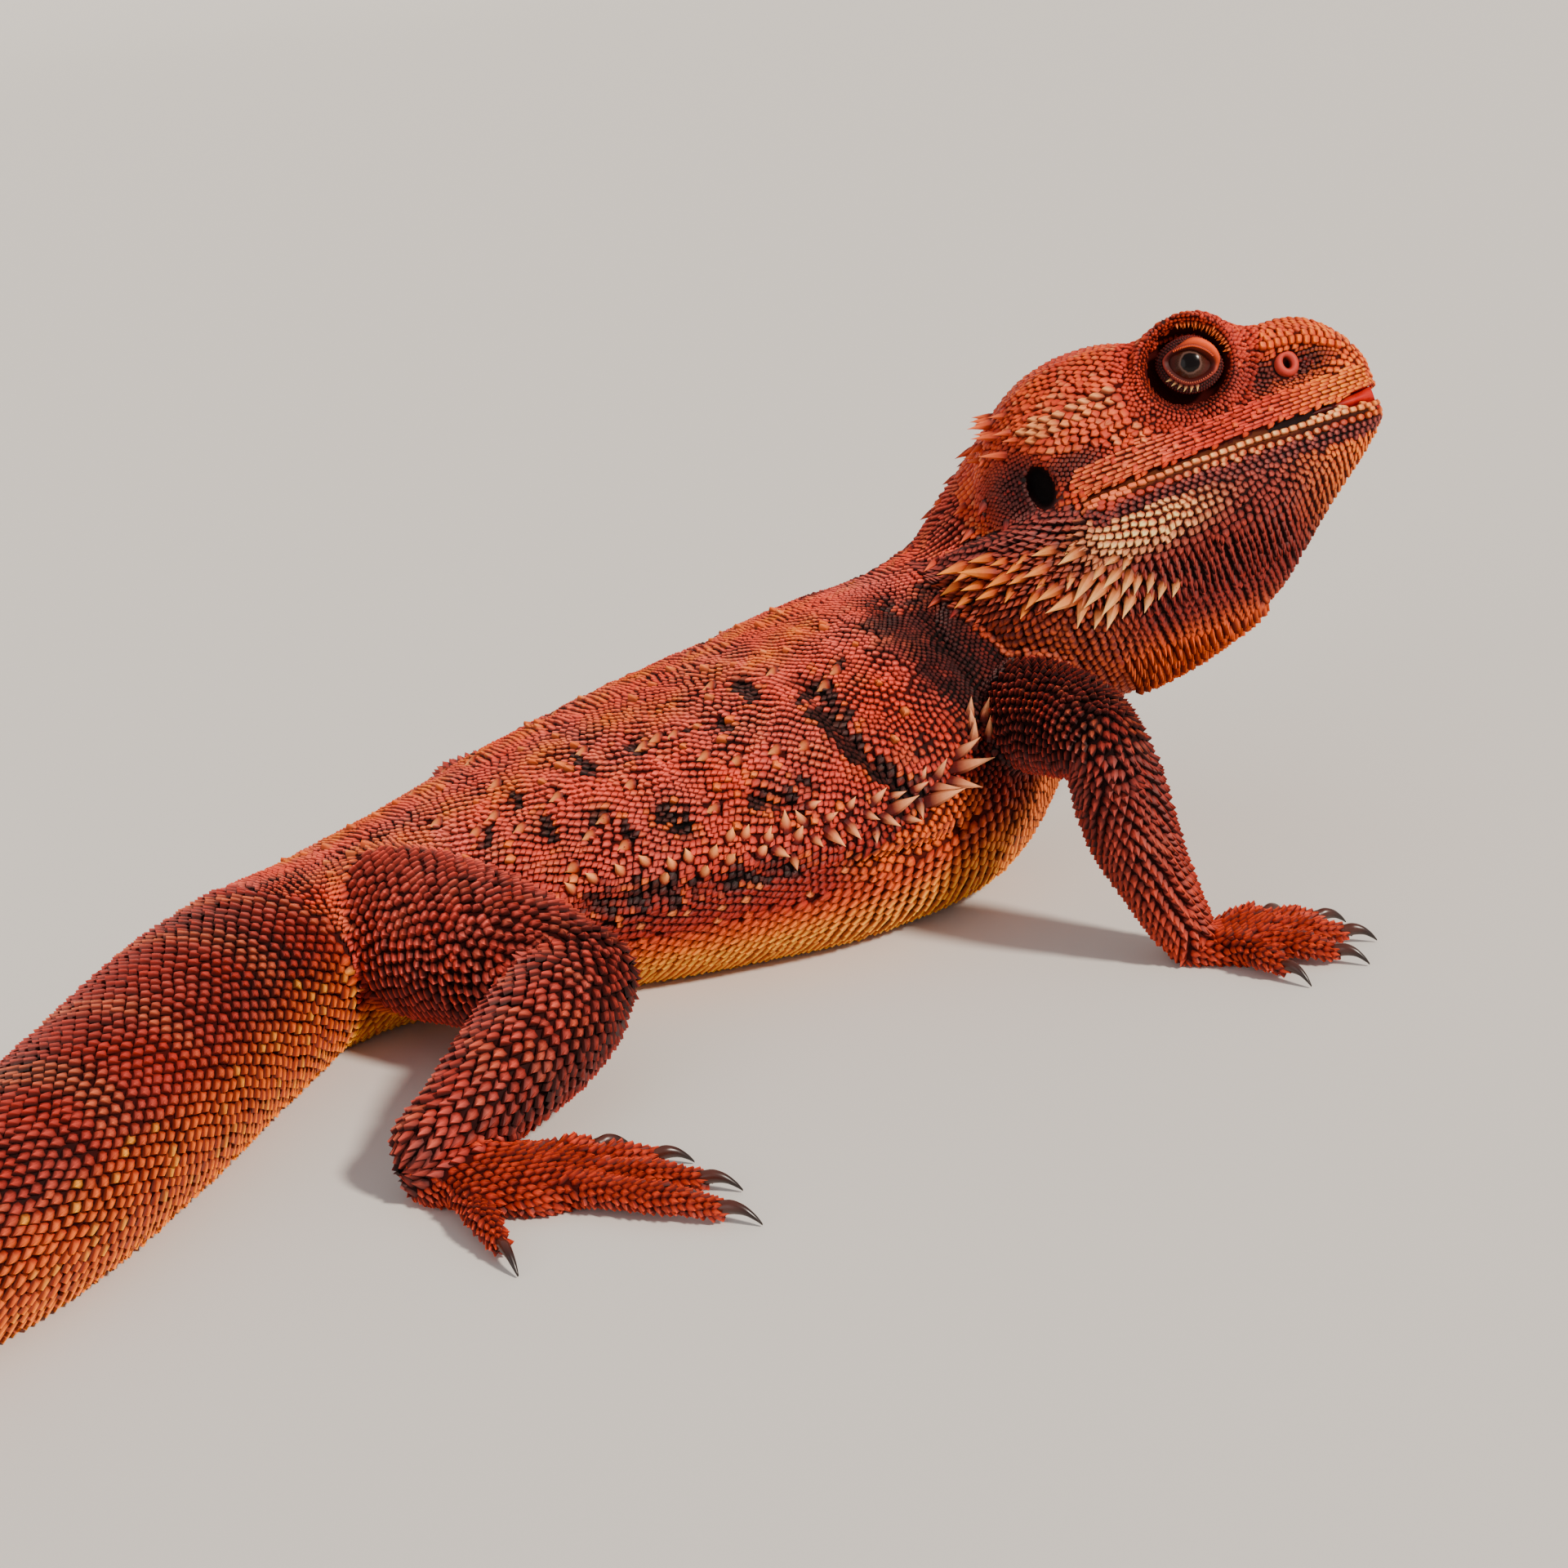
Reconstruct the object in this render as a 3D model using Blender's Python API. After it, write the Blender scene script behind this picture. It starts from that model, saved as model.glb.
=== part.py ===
"""A bearded dragon (Pogona vitticeps), life size, lying on its belly with the chest and head raised.

+X is the way it faces, +Y its left and +Z up. The origin is on the floor under the belly. All tables are
in millimetres, and make_object turns them into metres. Each node is modelled as its own closed form. Where
two would meet, the later one is cut back by a slightly grown copy of the earlier one, which leaves GAP.
"""

import math

import bmesh
import bpy
import numpy as np
from mathutils import Matrix, Vector
from mathutils.bvhtree import BVHTree

MM = 0.001
GAP = 0.3
FLOOR = 0.0

# The trunk from the pelvis to the nape: x, y, z of the widest line, half width, height above, depth below.
TRUNK = [
    (-66, -30, 12.4, 14.2, 11.0, 13.0),
    (-60, -23, 12.3, 15.0, 11.4, 13.3),
    (-54, -18, 12.5, 16.6, 12.2, 14.0),
    (-45, -13, 13.0, 19.6, 13.8, 15.0),
    (-33, -8.5, 14.2, 24.5, 16.4, 17.0),
    (-20, -5, 15.8, 28.5, 18.6, 19.0),
    (-6, -1.5, 17.4, 31.0, 20.4, 20.5),
    (8, 1.5, 19.4, 31.0, 22.2, 22.5),
    (20, 5, 24.0, 27.0, 21.4, 26.0),
    (29, 8.5, 30.0, 21.4, 19.0, 23.0),
    (37, 11.5, 39.0, 16.6, 13.6, 17.0),
    (43, 13.5, 49.0, 14.2, 11.2, 14.0),
    (49, 15, 58.0, 12.6, 10.2, 12.0),
]
NECK_FROM = 9.45  # the trunk row, counted from 0, where the torso ends and the neck begins
NECK_END = 12
NECK_STEP = 0.025  # the share of a row that makes the gap between the two

# The tail: x, y, radius. It lies on the floor, so its centre is one radius up.
TAIL = [
    (-66, -30, 14.0),
    (-73, -47, 13.9),
    (-79.5, -66, 13.4),
    (-88, -85, 12.4),
    (-102, -101, 10.6),
    (-122, -111, 8.8),
    (-149, -115, 7.0),
    (-178, -111, 5.5),
    (-206, -102, 4.2),
    (-233, -91, 3.1),
    (-258, -81, 2.2),
    (-281, -74, 1.2),
]
TAIL_STEP = 0.015  # the share of a row that makes the gap between two lengths of tail
TAIL_NODES = [
    ("tail_base", 0, 2),
    ("tail_front", 2, 4),
    ("tail_middle", 4, 6),
    ("tail_rear", 6, 8.5),
    ("tail_tip", 8.5, 11),
]

# The head's own frame: the tip of the upper jaw, its pitch above level, its turn to the animal's right, and
# its roll, which lifts its right side.
SNOUT = Vector((94.0, 6.5, 64.4))
HEAD_PITCH = math.radians(16.8)
HEAD_TURN = math.radians(9)
HEAD_ROLL = math.radians(13)

# The skull and upper jaw, from the snout back: distance back, height of the midline, half width and height of
# the brow, half width and height of the cheek, half width of the lip. Heights are above the mouth line.
SKULL = [
    (0.0, 4.0, 1.4, 3.3, 2.4, 1.5, 2.4),
    (1.0, 7.0, 2.9, 5.8, 4.1, 2.4, 4.4),
    (3.0, 10.0, 4.2, 8.2, 5.7, 3.4, 6.1),
    (6.0, 12.8, 5.2, 10.4, 7.1, 4.2, 7.8),
    (10.5, 14.6, 6.4, 12.0, 8.8, 5.0, 9.9),
    (14.5, 14.9, 8.2, 13.8, 10.4, 6.0, 12.0),
    (18.5, 15.4, 11.0, 17.4, 11.8, 7.0, 14.0),
    (23.2, 16.2, 12.4, 18.2, 12.8, 7.5, 15.8),
    (28.0, 17.6, 12.4, 17.0, 15.2, 8.0, 17.6),
    (34.0, 19.8, 12.0, 17.6, 18.4, 8.0, 19.6),
    (40.0, 20.4, 12.0, 17.8, 19.8, 8.0, 20.5),
    (46.0, 19.4, 11.5, 16.6, 19.8, 7.6, 20.2),
    (51.0, 16.8, 10.0, 14.2, 18.2, 6.8, 18.6),
    (55.0, 13.2, 8.0, 11.0, 15.2, 5.4, 15.4),
    (58.0, 8.4, 5.6, 7.0, 11.0, 3.6, 11.2),
    (60.0, 4.0, 3.0, 3.4, 6.0, 1.8, 6.2),
]

# The lower jaw and throat pouch: distance back, height of the lip, half width of the lip, half width and
# height of the widest line, height of the underside.
THROAT = [
    (0.0, -1.9, 1.9, 1.8, -2.7, -3.5),
    (0.9, -1.8, 4.0, 4.0, -3.5, -5.1),
    (3.2, -1.55, 5.8, 5.9, -4.5, -7.2),
    (7.0, -1.25, 8.0, 8.4, -5.8, -10.2),
    (11.0, -0.95, 10.0, 11.0, -7.0, -13.2),
    (16.0, -0.6, 12.4, 14.0, -8.6, -17.4),
    (21.0, -0.35, 14.6, 16.8, -10.0, -21.4),
    (27.0, -0.2, 17.0, 19.4, -11.0, -24.6),
    (33.0, -0.2, 19.0, 21.4, -11.0, -26.4),
    (39.0, -0.2, 20.2, 22.6, -10.5, -27.6),
    (46.0, -0.2, 20.4, 23.4, -10.5, -28.2),
    (53.0, -0.2, 19.6, 23.0, -10.5, -27.6),
    (59.0, -0.2, 17.6, 21.0, -10.5, -25.6),
    (64.0, -0.3, 14.6, 18.0, -10.5, -22.0),
    (68.0, -1.2, 10.5, 13.4, -10.0, -17.0),
    (70.5, -3.0, 6.0, 7.4, -9.0, -12.5),
]
JAW_DEPTH, JAW_LENGTH = 6.8, 43.0  # the jaw ends this far under the mouth line and this far back

EYE_BACK, EYE_UP, EYE_OUT = 23.0, 11.9, 9.0
EYE_R = 4.7
LID_R = 6.1
LID_LONG, LID_TALL = 3.9, 2.7  # half sizes of the opening between the lids
EAR_BACK, EAR_UP = 47.0, 3.4
EAR_LONG, EAR_TALL, EAR_DEEP, EAR_OUT = 2.0, 3.2, 3.0, 19.2
NOSTRIL_BACK, NOSTRIL_UP, NOSTRIL_OUT = 10.6, 7.3, 7.8
NOSTRIL_R, NOSTRIL_HOLE_R = 1.9, 0.95

# Spines along each flank: the trunk rows they run between, their angle above the widest line, their number,
# and their lengths at the hip and at the shoulder.
FRINGE_FROM, FRINGE_TO, FRINGE_ANGLE = 4.7, 8.35, 0.2
FRINGE_COUNT, FRINGE_SHORT, FRINGE_LONG = 21, 2.4, 4.2

# Rows of spines on each side of the beard: back and up of the row's rear end, middle and front end in the
# head's frame, number of spines, and lengths at the rear and at the front.
BEARD_ROWS = [
    ((61.5, -6.0), (56.0, -12.8), (44.0, -18.8), 10, 4.8, 5.0),
    ((60.0, -3.4), (53.5, -9.6), (41.0, -15.8), 10, 4.0, 3.8),
    ((57.0, -2.2), (50.0, -7.4), (38.5, -12.6), 9, 3.0, 2.8),
    ((60.0, -11.0), (53.5, -17.0), (38.0, -21.2), 10, 3.6, 3.8),
    ((57.0, -17.0), (49.5, -21.6), (34.0, -22.6), 9, 2.6, 2.8),
]
BEARD_REAR_LEAN, BEARD_FRONT_LEAN = (0.7, 0.75, -0.2), (0.4, 0.6, -0.7)

# Spines over the back of the head: back, left and up of each root; their lean is back and up.
OCCIPUT = [
    (52.0, 1.8, 16.0),
    (51.6, 5.4, 15.2),
    (51.0, 8.8, 14.0),
    (50.4, 12.0, 12.0),
    (50.2, 15.0, 9.2),
    (50.8, 17.0, 6.0),
]
OCCIPUT_LENGTH = 3.4
# Spines on the nape: trunk row, and angle above the widest line.
NAPE = [(11.5, 0.5), (11.5, 0.85), (11.5, 1.2), (10.9, 0.65), (10.9, 1.0), (10.3, 0.85)]
NAPE_LENGTH = 2.8
SPINE_SUNK, SPINE_SLIM = 1.0, 0.26  # how deep a root goes, and a root's half width as a share of the length
SPINE_CORNERS = (0, math.pi / 2, math.pi, 3 * math.pi / 2)

# How finely the smooth forms are faceted: rows along each and points round it.
SKULL_ROWS, THROAT_ROWS, HEAD_HALF_SIDES = 24, 20, 10
TRUNK_ROWS, NECK_ROWS, TRUNK_SIDES = 22, 7, 22
TAIL_SIDES, TAIL_ROWS_PER_KEY = 14, 3
LIMB_ROWS, LIMB_SIDES = 7, 12
BALL_SEGMENTS, BALL_RINGS = 14, 9
COARSE = (10, 6)
PALM_ROWS, PALM_SIDES = 7, 10
DIGIT_ROWS, DIGIT_SIDES = 6, 7
CLAW_ROWS, CLAW_SIDES = 5, 6
TONGUE_ROWS, TONGUE_SIDES = 5, 10

# Limbs: joint points, each with the radius of the flesh there.
UPPER_ARM_R = [
    (37, -4, 27, 8.5),
    (41.5, -16, 29, 7.6),
    (45, -26, 30, 6.6),
    (47, -32, 29, 5.4),
]
FOREARM_R = [
    (46.8, -31.5, 31, 4.6),
    (47.8, -32.5, 25, 5.8),
    (49.6, -33.5, 17, 5.6),
    (52.4, -34.8, 9.5, 4.6),
    (54.3, -35.5, 5.2, 4.0),
]
UPPER_ARM_L = [(31, 17, 27, 8.5), (27, 27, 26, 7.4), (22.5, 35, 23.5, 6.4), (20.5, 40, 22, 5.4)]
FOREARM_L = [
    (20.6, 39, 23, 4.8),
    (21.5, 42, 19, 5.8),
    (23.5, 45, 14, 5.6),
    (26, 47.5, 8.5, 4.6),
    (28, 48.5, 5.2, 4.0),
]
THIGH_R = [(-51, -24, 14, 11.5), (-42, -33, 14.5, 10.8), (-32, -43, 14.5, 9.2), (-25, -50, 13.5, 7.4)]
SHANK_R = [
    (-24, -49.5, 13.5, 7.2),
    (-27, -56.5, 12, 8.0),
    (-32, -64.5, 10, 7.2),
    (-37.5, -71, 7.6, 5.6),
    (-41, -74, 6.2, 4.8),
]
THIGH_L = [(-53, -7, 12.5, 10.6), (-46, 5, 11, 9.6), (-38, 18, 9.6, 8.4), (-32, 28, 8.8, 7.2)]
SHANK_L = [
    (-31.5, 27.5, 8.8, 7.0),
    (-34.5, 34, 8.4, 7.6),
    (-40, 41.5, 7.8, 7.0),
    (-46, 47.5, 6.8, 5.6),
    (-49, 50.5, 6.0, 4.8),
]

# Palms and soles: where they start and end on the floor, half width and height, then for each digit where it
# leaves the palm (share of the palm's length and of its half width, positive to the animal's left on a
# heading of 0), its heading away from the palm's in degrees, and its length.
HAND_R = dict(start=(54.5, -35.5), end=(65.5, -37.0), width=5.2, height=3.4, left=False)
HAND_L = dict(start=(27.8, 48.5), end=(37.5, 52.0), width=5.2, height=3.4, left=True)
FOOT_R = dict(start=(-42.0, -74.5), end=(-25.0, -80.0), width=6.0, height=5.0, left=False)
FOOT_L = dict(start=(-50.0, 50.5), end=(-33.5, 58.0), width=6.0, height=5.0, left=True)
HAND_DIGITS = [
    (0.62, 0.62, 46, 6.5),
    (0.86, 0.46, 21, 9.0),
    (0.93, 0.05, 2, 10.5),
    (0.88, -0.42, -17, 9.8),
    (0.62, -0.66, -44, 7.5),
]
FOOT_DIGITS = [
    (0.66, 0.60, 42, 7.5),
    (0.84, 0.46, 22, 11.0),
    (0.95, 0.10, 6, 15.5),
    (0.93, -0.36, -5, 20.0),
    (0.30, -0.62, -48, 13.0),
]

# Palms and soles: share of the length, of the half width and of the height.
PALM_PROFILE = [
    (-0.16, 0.42, 0.8),
    (0.0, 0.72, 1.0),
    (0.35, 0.9, 0.95),
    (0.7, 1.0, 0.8),
    (0.95, 0.85, 0.68),
    (1.1, 0.45, 0.5),
]
# Digits: share of the length, height of the centre and radius, over the knuckles and down to the tip.
DIGIT_PROFILE = [
    (-0.22, 2.4, 2.1),
    (0.15, 2.7, 2.0),
    (0.4, 2.5, 1.75),
    (0.62, 2.5, 1.85),
    (0.8, 2.2, 1.5),
    (1.0, 1.7, 1.25),
]
# Claws: share of the length, rise over the digit's tip and radius.
CLAW_PROFILE = [
    (0.0, 0.25, 0.95),
    (0.3, 0.5, 0.85),
    (0.6, 0.2, 0.62),
    (0.85, -0.6, 0.38),
    (1.0, -1.35, 0.14),
]
CLAW_LENGTH, CLAW_GAIN = 3.9, 0.046  # a claw's length on the shortest digit, and its gain per mm of digit

# The edge of the tongue in the head's frame: distance back, height, half width and half thickness.
TONGUE = [
    (3.4, -0.72, 2.2, 0.42),
    (5.5, -0.6, 3.6, 0.42),
    (8.0, -0.5, 4.6, 0.32),
    (10.0, -0.4, 4.4, 0.28),
]

# Each material's colour and roughness.
LOOKS = {
    "skin": ((0.42, 0.09, 0.045), 0.7),
    "belly": ((0.62, 0.25, 0.08), 0.7),
    "head": ((0.50, 0.13, 0.06), 0.7),
    "eye": ((0.05, 0.02, 0.012), 0.2),
    "claw": ((0.035, 0.018, 0.014), 0.3),
    "mouth": ((0.62, 0.06, 0.05), 0.3),
}


def clear_scene():
    for obj in list(bpy.data.objects):
        bpy.data.objects.remove(obj)


def material(name, colour, roughness):
    made = bpy.data.materials.new(name)
    made.use_nodes = True
    shader = made.node_tree.nodes["Principled BSDF"]
    shader.inputs["Base Color"].default_value = (*colour, 1)
    shader.inputs["Roughness"].default_value = roughness
    return made


def through(keys, start, end, count):
    """Rows on a smooth curve through the keys, from key number start to key number end."""
    keys = np.array(keys, float)
    slopes = np.gradient(keys, axis=0)
    rows = []
    for t in np.linspace(start, end, count):
        i = min(int(t), len(keys) - 2)
        u = t - i
        h = np.array([2 * u**3 - 3 * u**2 + 1, u**3 - 2 * u**2 + u, -2 * u**3 + 3 * u**2, u**3 - u**2])
        rows.append(h[0] * keys[i] + h[1] * slopes[i] + h[2] * keys[i + 1] + h[3] * slopes[i + 1])
    return np.array(rows)


def shapes_collection():
    return bpy.data.collections["bearded_dragon"]


def make_object(name, points, faces, collection=None):
    """A mesh object of points in millimetres."""
    mesh = bpy.data.meshes.new(name)
    mesh.from_pydata([tuple(float(v) * MM for v in p) for p in points], [], faces)
    made = bpy.data.objects.new(name, mesh)
    (collection or shapes_collection()).objects.link(made)
    tidy = bmesh.new()
    tidy.from_mesh(mesh)
    bmesh.ops.triangulate(tidy, faces=tidy.faces)
    bmesh.ops.recalc_face_normals(tidy, faces=tidy.faces)
    tidy.to_mesh(mesh)
    tidy.free()
    return made


def loft(name, rings):
    """A closed form through rings of equal count, capped at both ends."""
    rings = np.array(rings)
    count, sides = rings.shape[:2]
    points = list(rings.reshape(-1, 3)) + [rings[0].mean(0), rings[-1].mean(0)]
    faces = []
    for i in range(count - 1):
        for j in range(sides):
            k = (j + 1) % sides
            faces.append((i * sides + j, i * sides + k, (i + 1) * sides + k, (i + 1) * sides + j))
    first, last = len(points) - 2, len(points) - 1
    for j in range(sides):
        k = (j + 1) % sides
        faces.append((first, k, j))
        faces.append((last, (count - 1) * sides + j, (count - 1) * sides + k))
    return make_object(name, points, faces)


def headings(keys, start, end, count):
    """Unit directions of the smooth curve through the keys, at the places that through gives."""
    step, last = 0.02, len(keys) - 1
    ahead = []
    for t in np.linspace(start, end, count):
        low, high = max(t - step, 0), min(t + step, last)
        ends = through(keys, low, high, 2)[:, :3]
        ahead.append((ends[1] - ends[0]) / np.linalg.norm(ends[1] - ends[0]))
    return np.array(ahead)


def sides_and_ups(along, hint=(0, 0, 1)):
    """Side and up directions for each direction along a path."""
    side = np.cross(np.array(hint, float), along)
    side /= np.linalg.norm(side, axis=1)[:, None]
    return side, np.cross(along, side)


def on_floor(rings):
    rings = np.array(rings)
    rings[..., 2] = np.maximum(rings[..., 2], FLOOR)
    return rings


def body_rings(keys, start, end, count, sides, grow=0.0):
    """Rings round a trunk: a dome above the widest line, and a flatter belly under it."""
    rows = through(keys, start, end, count)
    side, up = sides_and_ups(headings(keys, start, end, count))
    rings = []
    for row, s, u in zip(rows, side, up):
        ring = []
        for j in range(sides):
            a = 2 * math.pi * j / sides
            c, h = math.cos(a), math.sin(a)
            wide = math.copysign(abs(c) ** (1.0 if h > 0 else 0.78), c) * (row[3] + grow)
            tall = h * (row[4] + grow) if h > 0 else h * (row[5] + grow)
            ring.append(row[:3] + s * wide + u * tall)
        rings.append(ring)
    return on_floor(rings)


def tail_keys():
    return [(x, y, radius * 0.9, radius, radius * 0.9, radius) for x, y, radius in TAIL]


def limb_rings(keys, grow=0.0, hint=(0, 0, 1)):
    """Rings round a limb that runs through its keys, with rounded ends."""
    last = len(keys) - 1
    rows = through(keys, 0, last, LIMB_ROWS)
    along = headings(keys, 0, last, LIMB_ROWS)
    side, up = sides_and_ups(along, hint)
    angles = np.arange(LIMB_SIDES) * 2 * math.pi / LIMB_SIDES

    def ring(centre, radius, i):
        return centre + radius * (np.cos(angles)[:, None] * side[i] + np.sin(angles)[:, None] * up[i])

    rings = []
    steps = (0.9, 0.55)
    for share in steps:
        centre = rows[0, :3] - along[0] * rows[0, 3] * share
        rings.append(ring(centre, (rows[0, 3] + grow) * math.sqrt(1 - share**2), 0))
    for i, row in enumerate(rows):
        rings.append(ring(row[:3], row[3] + grow, i))
    for share in reversed(steps):
        centre = rows[-1, :3] + along[-1] * rows[-1, 3] * share
        rings.append(ring(centre, (rows[-1, 3] + grow) * math.sqrt(1 - share**2), -1))
    return on_floor(rings)


def head_frame():
    """Back, left and up directions of the head."""
    level = math.cos(HEAD_PITCH)
    ahead = Vector((level * math.cos(HEAD_TURN), -level * math.sin(HEAD_TURN), math.sin(HEAD_PITCH)))
    level_left = Vector((0, 0, 1)).cross(ahead).normalized()
    level_up = ahead.cross(level_left)
    left = level_left * math.cos(HEAD_ROLL) - level_up * math.sin(HEAD_ROLL)
    return -ahead, left, ahead.cross(left)


def head_point(back, left, up):
    a, c, b = head_frame()
    return np.array(SNOUT + a * back + c * left + b * up)


def head_matrix(back, left, up):
    """Places an object at a point of the head, its X back, Y left and Z up."""
    a, c, b = head_frame()
    turn = Matrix((a, -c, b)).transposed().to_4x4()
    return Matrix.Translation(Vector(head_point(back, left, up)) * MM) @ turn


def half_curve(points):
    return through(points, 0, len(points) - 1, HEAD_HALF_SIDES)


def skull_rings(grow=0.0):
    rings = []
    for a, top, brow_w, brow_h, cheek_w, cheek_h, lip_w in through(SKULL, 0, len(SKULL) - 1, SKULL_ROWS):
        bottom = GAP / 2 - grow
        keys = [
            (0, top + grow),
            (brow_w * 0.55, (top + brow_h) / 2 + 0.15 + grow),
            (brow_w + grow * 0.7, brow_h + grow * 0.7),
            (cheek_w + grow, cheek_h),
            (lip_w + grow, bottom + 0.4),
            (lip_w * 0.94 + grow, bottom),
        ]
        side = [(w, max(b, bottom)) for w, b in half_curve(keys)]
        ring = [head_point(a, w, b) for w, b in side]
        ring += [head_point(a, 0, bottom)]
        ring += [head_point(a, -w, b) for w, b in side[:0:-1]]
        rings.append(ring)
    return np.array(rings)


def throat_rings(grow=0.0):
    rings = []
    for a, lip_b, lip_w, mid_w, mid_b, bottom in through(THROAT, 0, len(THROAT) - 1, THROAT_ROWS):
        keys = [
            (0, bottom - grow),
            (mid_w * 0.5, bottom * 0.96 - grow),
            (mid_w * 0.86 + grow * 0.7, (bottom + mid_b) / 2 - grow * 0.5),
            (mid_w + grow, mid_b),
            (lip_w + grow, lip_b - 0.6),
            (lip_w * 0.93 + grow, lip_b + grow),
        ]
        side = [(w, min(b, lip_b + grow)) for w, b in half_curve(keys)]
        ring = [head_point(a, w, b) for w, b in side]
        ring += [head_point(a, 0, lip_b + grow)]
        ring += [head_point(a, -w, b) for w, b in side[:0:-1]]
        rings.append(ring)
    return np.array(rings)


def use_result(target):
    """Replaces a node's mesh by what its modifiers make of it."""
    graph = bpy.context.evaluated_depsgraph_get()
    mesh = bpy.data.meshes.new_from_object(target.evaluated_get(graph))
    target.modifiers.clear()
    target.data = mesh


def apply_boolean(target, other, operation):
    """Runs one Boolean on target, then removes the other object."""
    change = target.modifiers.new("change", "BOOLEAN")
    change.operation = operation
    change.object = other
    use_result(target)
    bpy.data.objects.remove(other)


def keep_largest(obj):
    """Leaves only the largest closed surface of a mesh."""
    work = bmesh.new()
    work.from_mesh(obj.data)
    work.verts.ensure_lookup_table()
    seen, islands = set(), []
    for vert in work.verts:
        if vert.index in seen:
            continue
        island, todo = [], [vert]
        seen.add(vert.index)
        while todo:
            at = todo.pop()
            island.append(at)
            for edge in at.link_edges:
                nearby = edge.other_vert(at)
                if nearby.index not in seen:
                    seen.add(nearby.index)
                    todo.append(nearby)
        islands.append(island)
    islands.sort(key=len)
    bmesh.ops.delete(work, geom=[v for island in islands[:-1] for v in island], context="VERTS")
    bmesh.ops.triangulate(work, faces=work.faces)
    work.to_mesh(obj.data)
    work.free()


def unit(vector):
    return np.array(vector, float) / np.linalg.norm(vector)


def flank_place(t, angle, sign, lean, length):
    """A spine's root, direction and length on the trunk, at row t and an angle above the widest line."""
    row = through(TRUNK, t, t, 1)[0]
    along = headings(TRUNK, t, t, 1)
    side, up = sides_and_ups(along)
    out = side[0] * math.cos(angle) * sign + up[0] * math.sin(angle)
    root = row[:3] + side[0] * sign * row[3] * math.cos(angle) + up[0] * row[4] * math.sin(angle)
    return root, unit(out + along[0] * lean), length


def fringe_places(sign):
    places = []
    for i in range(FRINGE_COUNT):
        share = i / (FRINGE_COUNT - 1)
        t = FRINGE_FROM + (FRINGE_TO - FRINGE_FROM) * share
        length = FRINGE_SHORT + (FRINGE_LONG - FRINGE_SHORT) * share
        places.append(flank_place(t, FRINGE_ANGLE, sign, 0.9 * share - 0.6, length))
    return places


def nape_places(sign):
    return [flank_place(t, angle, sign, -0.5, NAPE_LENGTH) for t, angle in NAPE]


def surface_of(obj):
    points = [v.co / MM for v in obj.data.vertices]
    return BVHTree.FromPolygons(points, [tuple(f.vertices) for f in obj.data.polygons])


def head_way(back, left, up):
    """A direction given in the head's frame."""
    a, c, b = head_frame()
    return unit(a * back + c * left + b * up)


def beard_places(beard, sign):
    """Rows of spines, each root found by looking at the beard from its side."""
    surface = surface_of(beard)
    places = []
    for rear, middle, front, count, rear_length, front_length in BEARD_ROWS:
        for i in range(count):
            share = i / (count - 1)
            back, up = through([rear, middle, front], 2 * share, 2 * share, 1)[0]
            seen = surface.ray_cast(Vector(head_point(back, 45 * sign, up)), Vector(head_way(0, -sign, 0)))
            lean = [r + (f - r) * share for r, f in zip(BEARD_REAR_LEAN, BEARD_FRONT_LEAN)]
            way = head_way(lean[0], lean[1] * sign, lean[2])
            places.append((np.array(seen[0]), way, rear_length + (front_length - rear_length) * share))
    return places


def occiput_places(head, sign):
    surface = surface_of(head)
    places = []
    for back, left, up in OCCIPUT:
        root = surface.find_nearest(Vector(head_point(back, left * sign, up)))[0]
        places.append((np.array(root), head_way(0.7, 0.03 * left * sign, 0.7), OCCIPUT_LENGTH))
    return places


def spine(place, collection, grow):
    """A four-sided spine on a sunken root."""
    root, way, length = place
    side = unit(np.cross(way, (0.3, 0.2, 1.0)))
    half = SPINE_SLIM * length + grow
    foot = root - way * (SPINE_SUNK + grow)
    corners = [foot + half * (side * math.cos(a) + np.cross(way, side) * math.sin(a)) for a in SPINE_CORNERS]
    tip = root + way * (length + 2 * grow)
    faces = [(0, 1, 2, 3), (0, 4, 1), (1, 4, 2), (2, 4, 3), (3, 4, 0)]
    make_object("spine", corners + [tip], faces, collection)


def with_spines(node, places, operation="UNION", grow=0.0):
    """Fuses spines to a node, or cuts room for a neighbour's spines out of it."""
    pieces = bpy.data.collections.new("pieces")
    bpy.context.scene.collection.children.link(pieces)
    for place in places:
        spine(place, pieces, grow)
    change = node.modifiers.new("change", "BOOLEAN")
    change.operation = operation
    change.operand_type = "COLLECTION"
    change.collection = pieces
    use_result(node)
    for piece in list(pieces.objects):
        bpy.data.objects.remove(piece)
    bpy.data.collections.remove(pieces)
    keep_largest(node)


def carve(obj, *grown):
    """Cuts grown neighbours out of a node."""
    for other in grown:
        apply_boolean(obj, other, "DIFFERENCE")
    keep_largest(obj)
    return obj


def ellipsoid(name, matrix, sizes, segments=BALL_SEGMENTS, rings=BALL_RINGS):
    """An ellipsoid with these half sizes, in millimetres."""
    work = bmesh.new()
    bmesh.ops.create_uvsphere(work, u_segments=segments, v_segments=rings, radius=1.0)
    bmesh.ops.transform(work, matrix=Matrix.Diagonal((*(s * MM for s in sizes), 1)), verts=work.verts)
    bmesh.ops.transform(work, matrix=matrix, verts=work.verts)
    mesh = bpy.data.meshes.new(name)
    work.to_mesh(mesh)
    work.free()
    made = bpy.data.objects.new(name, mesh)
    shapes_collection().objects.link(made)
    return made


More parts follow.
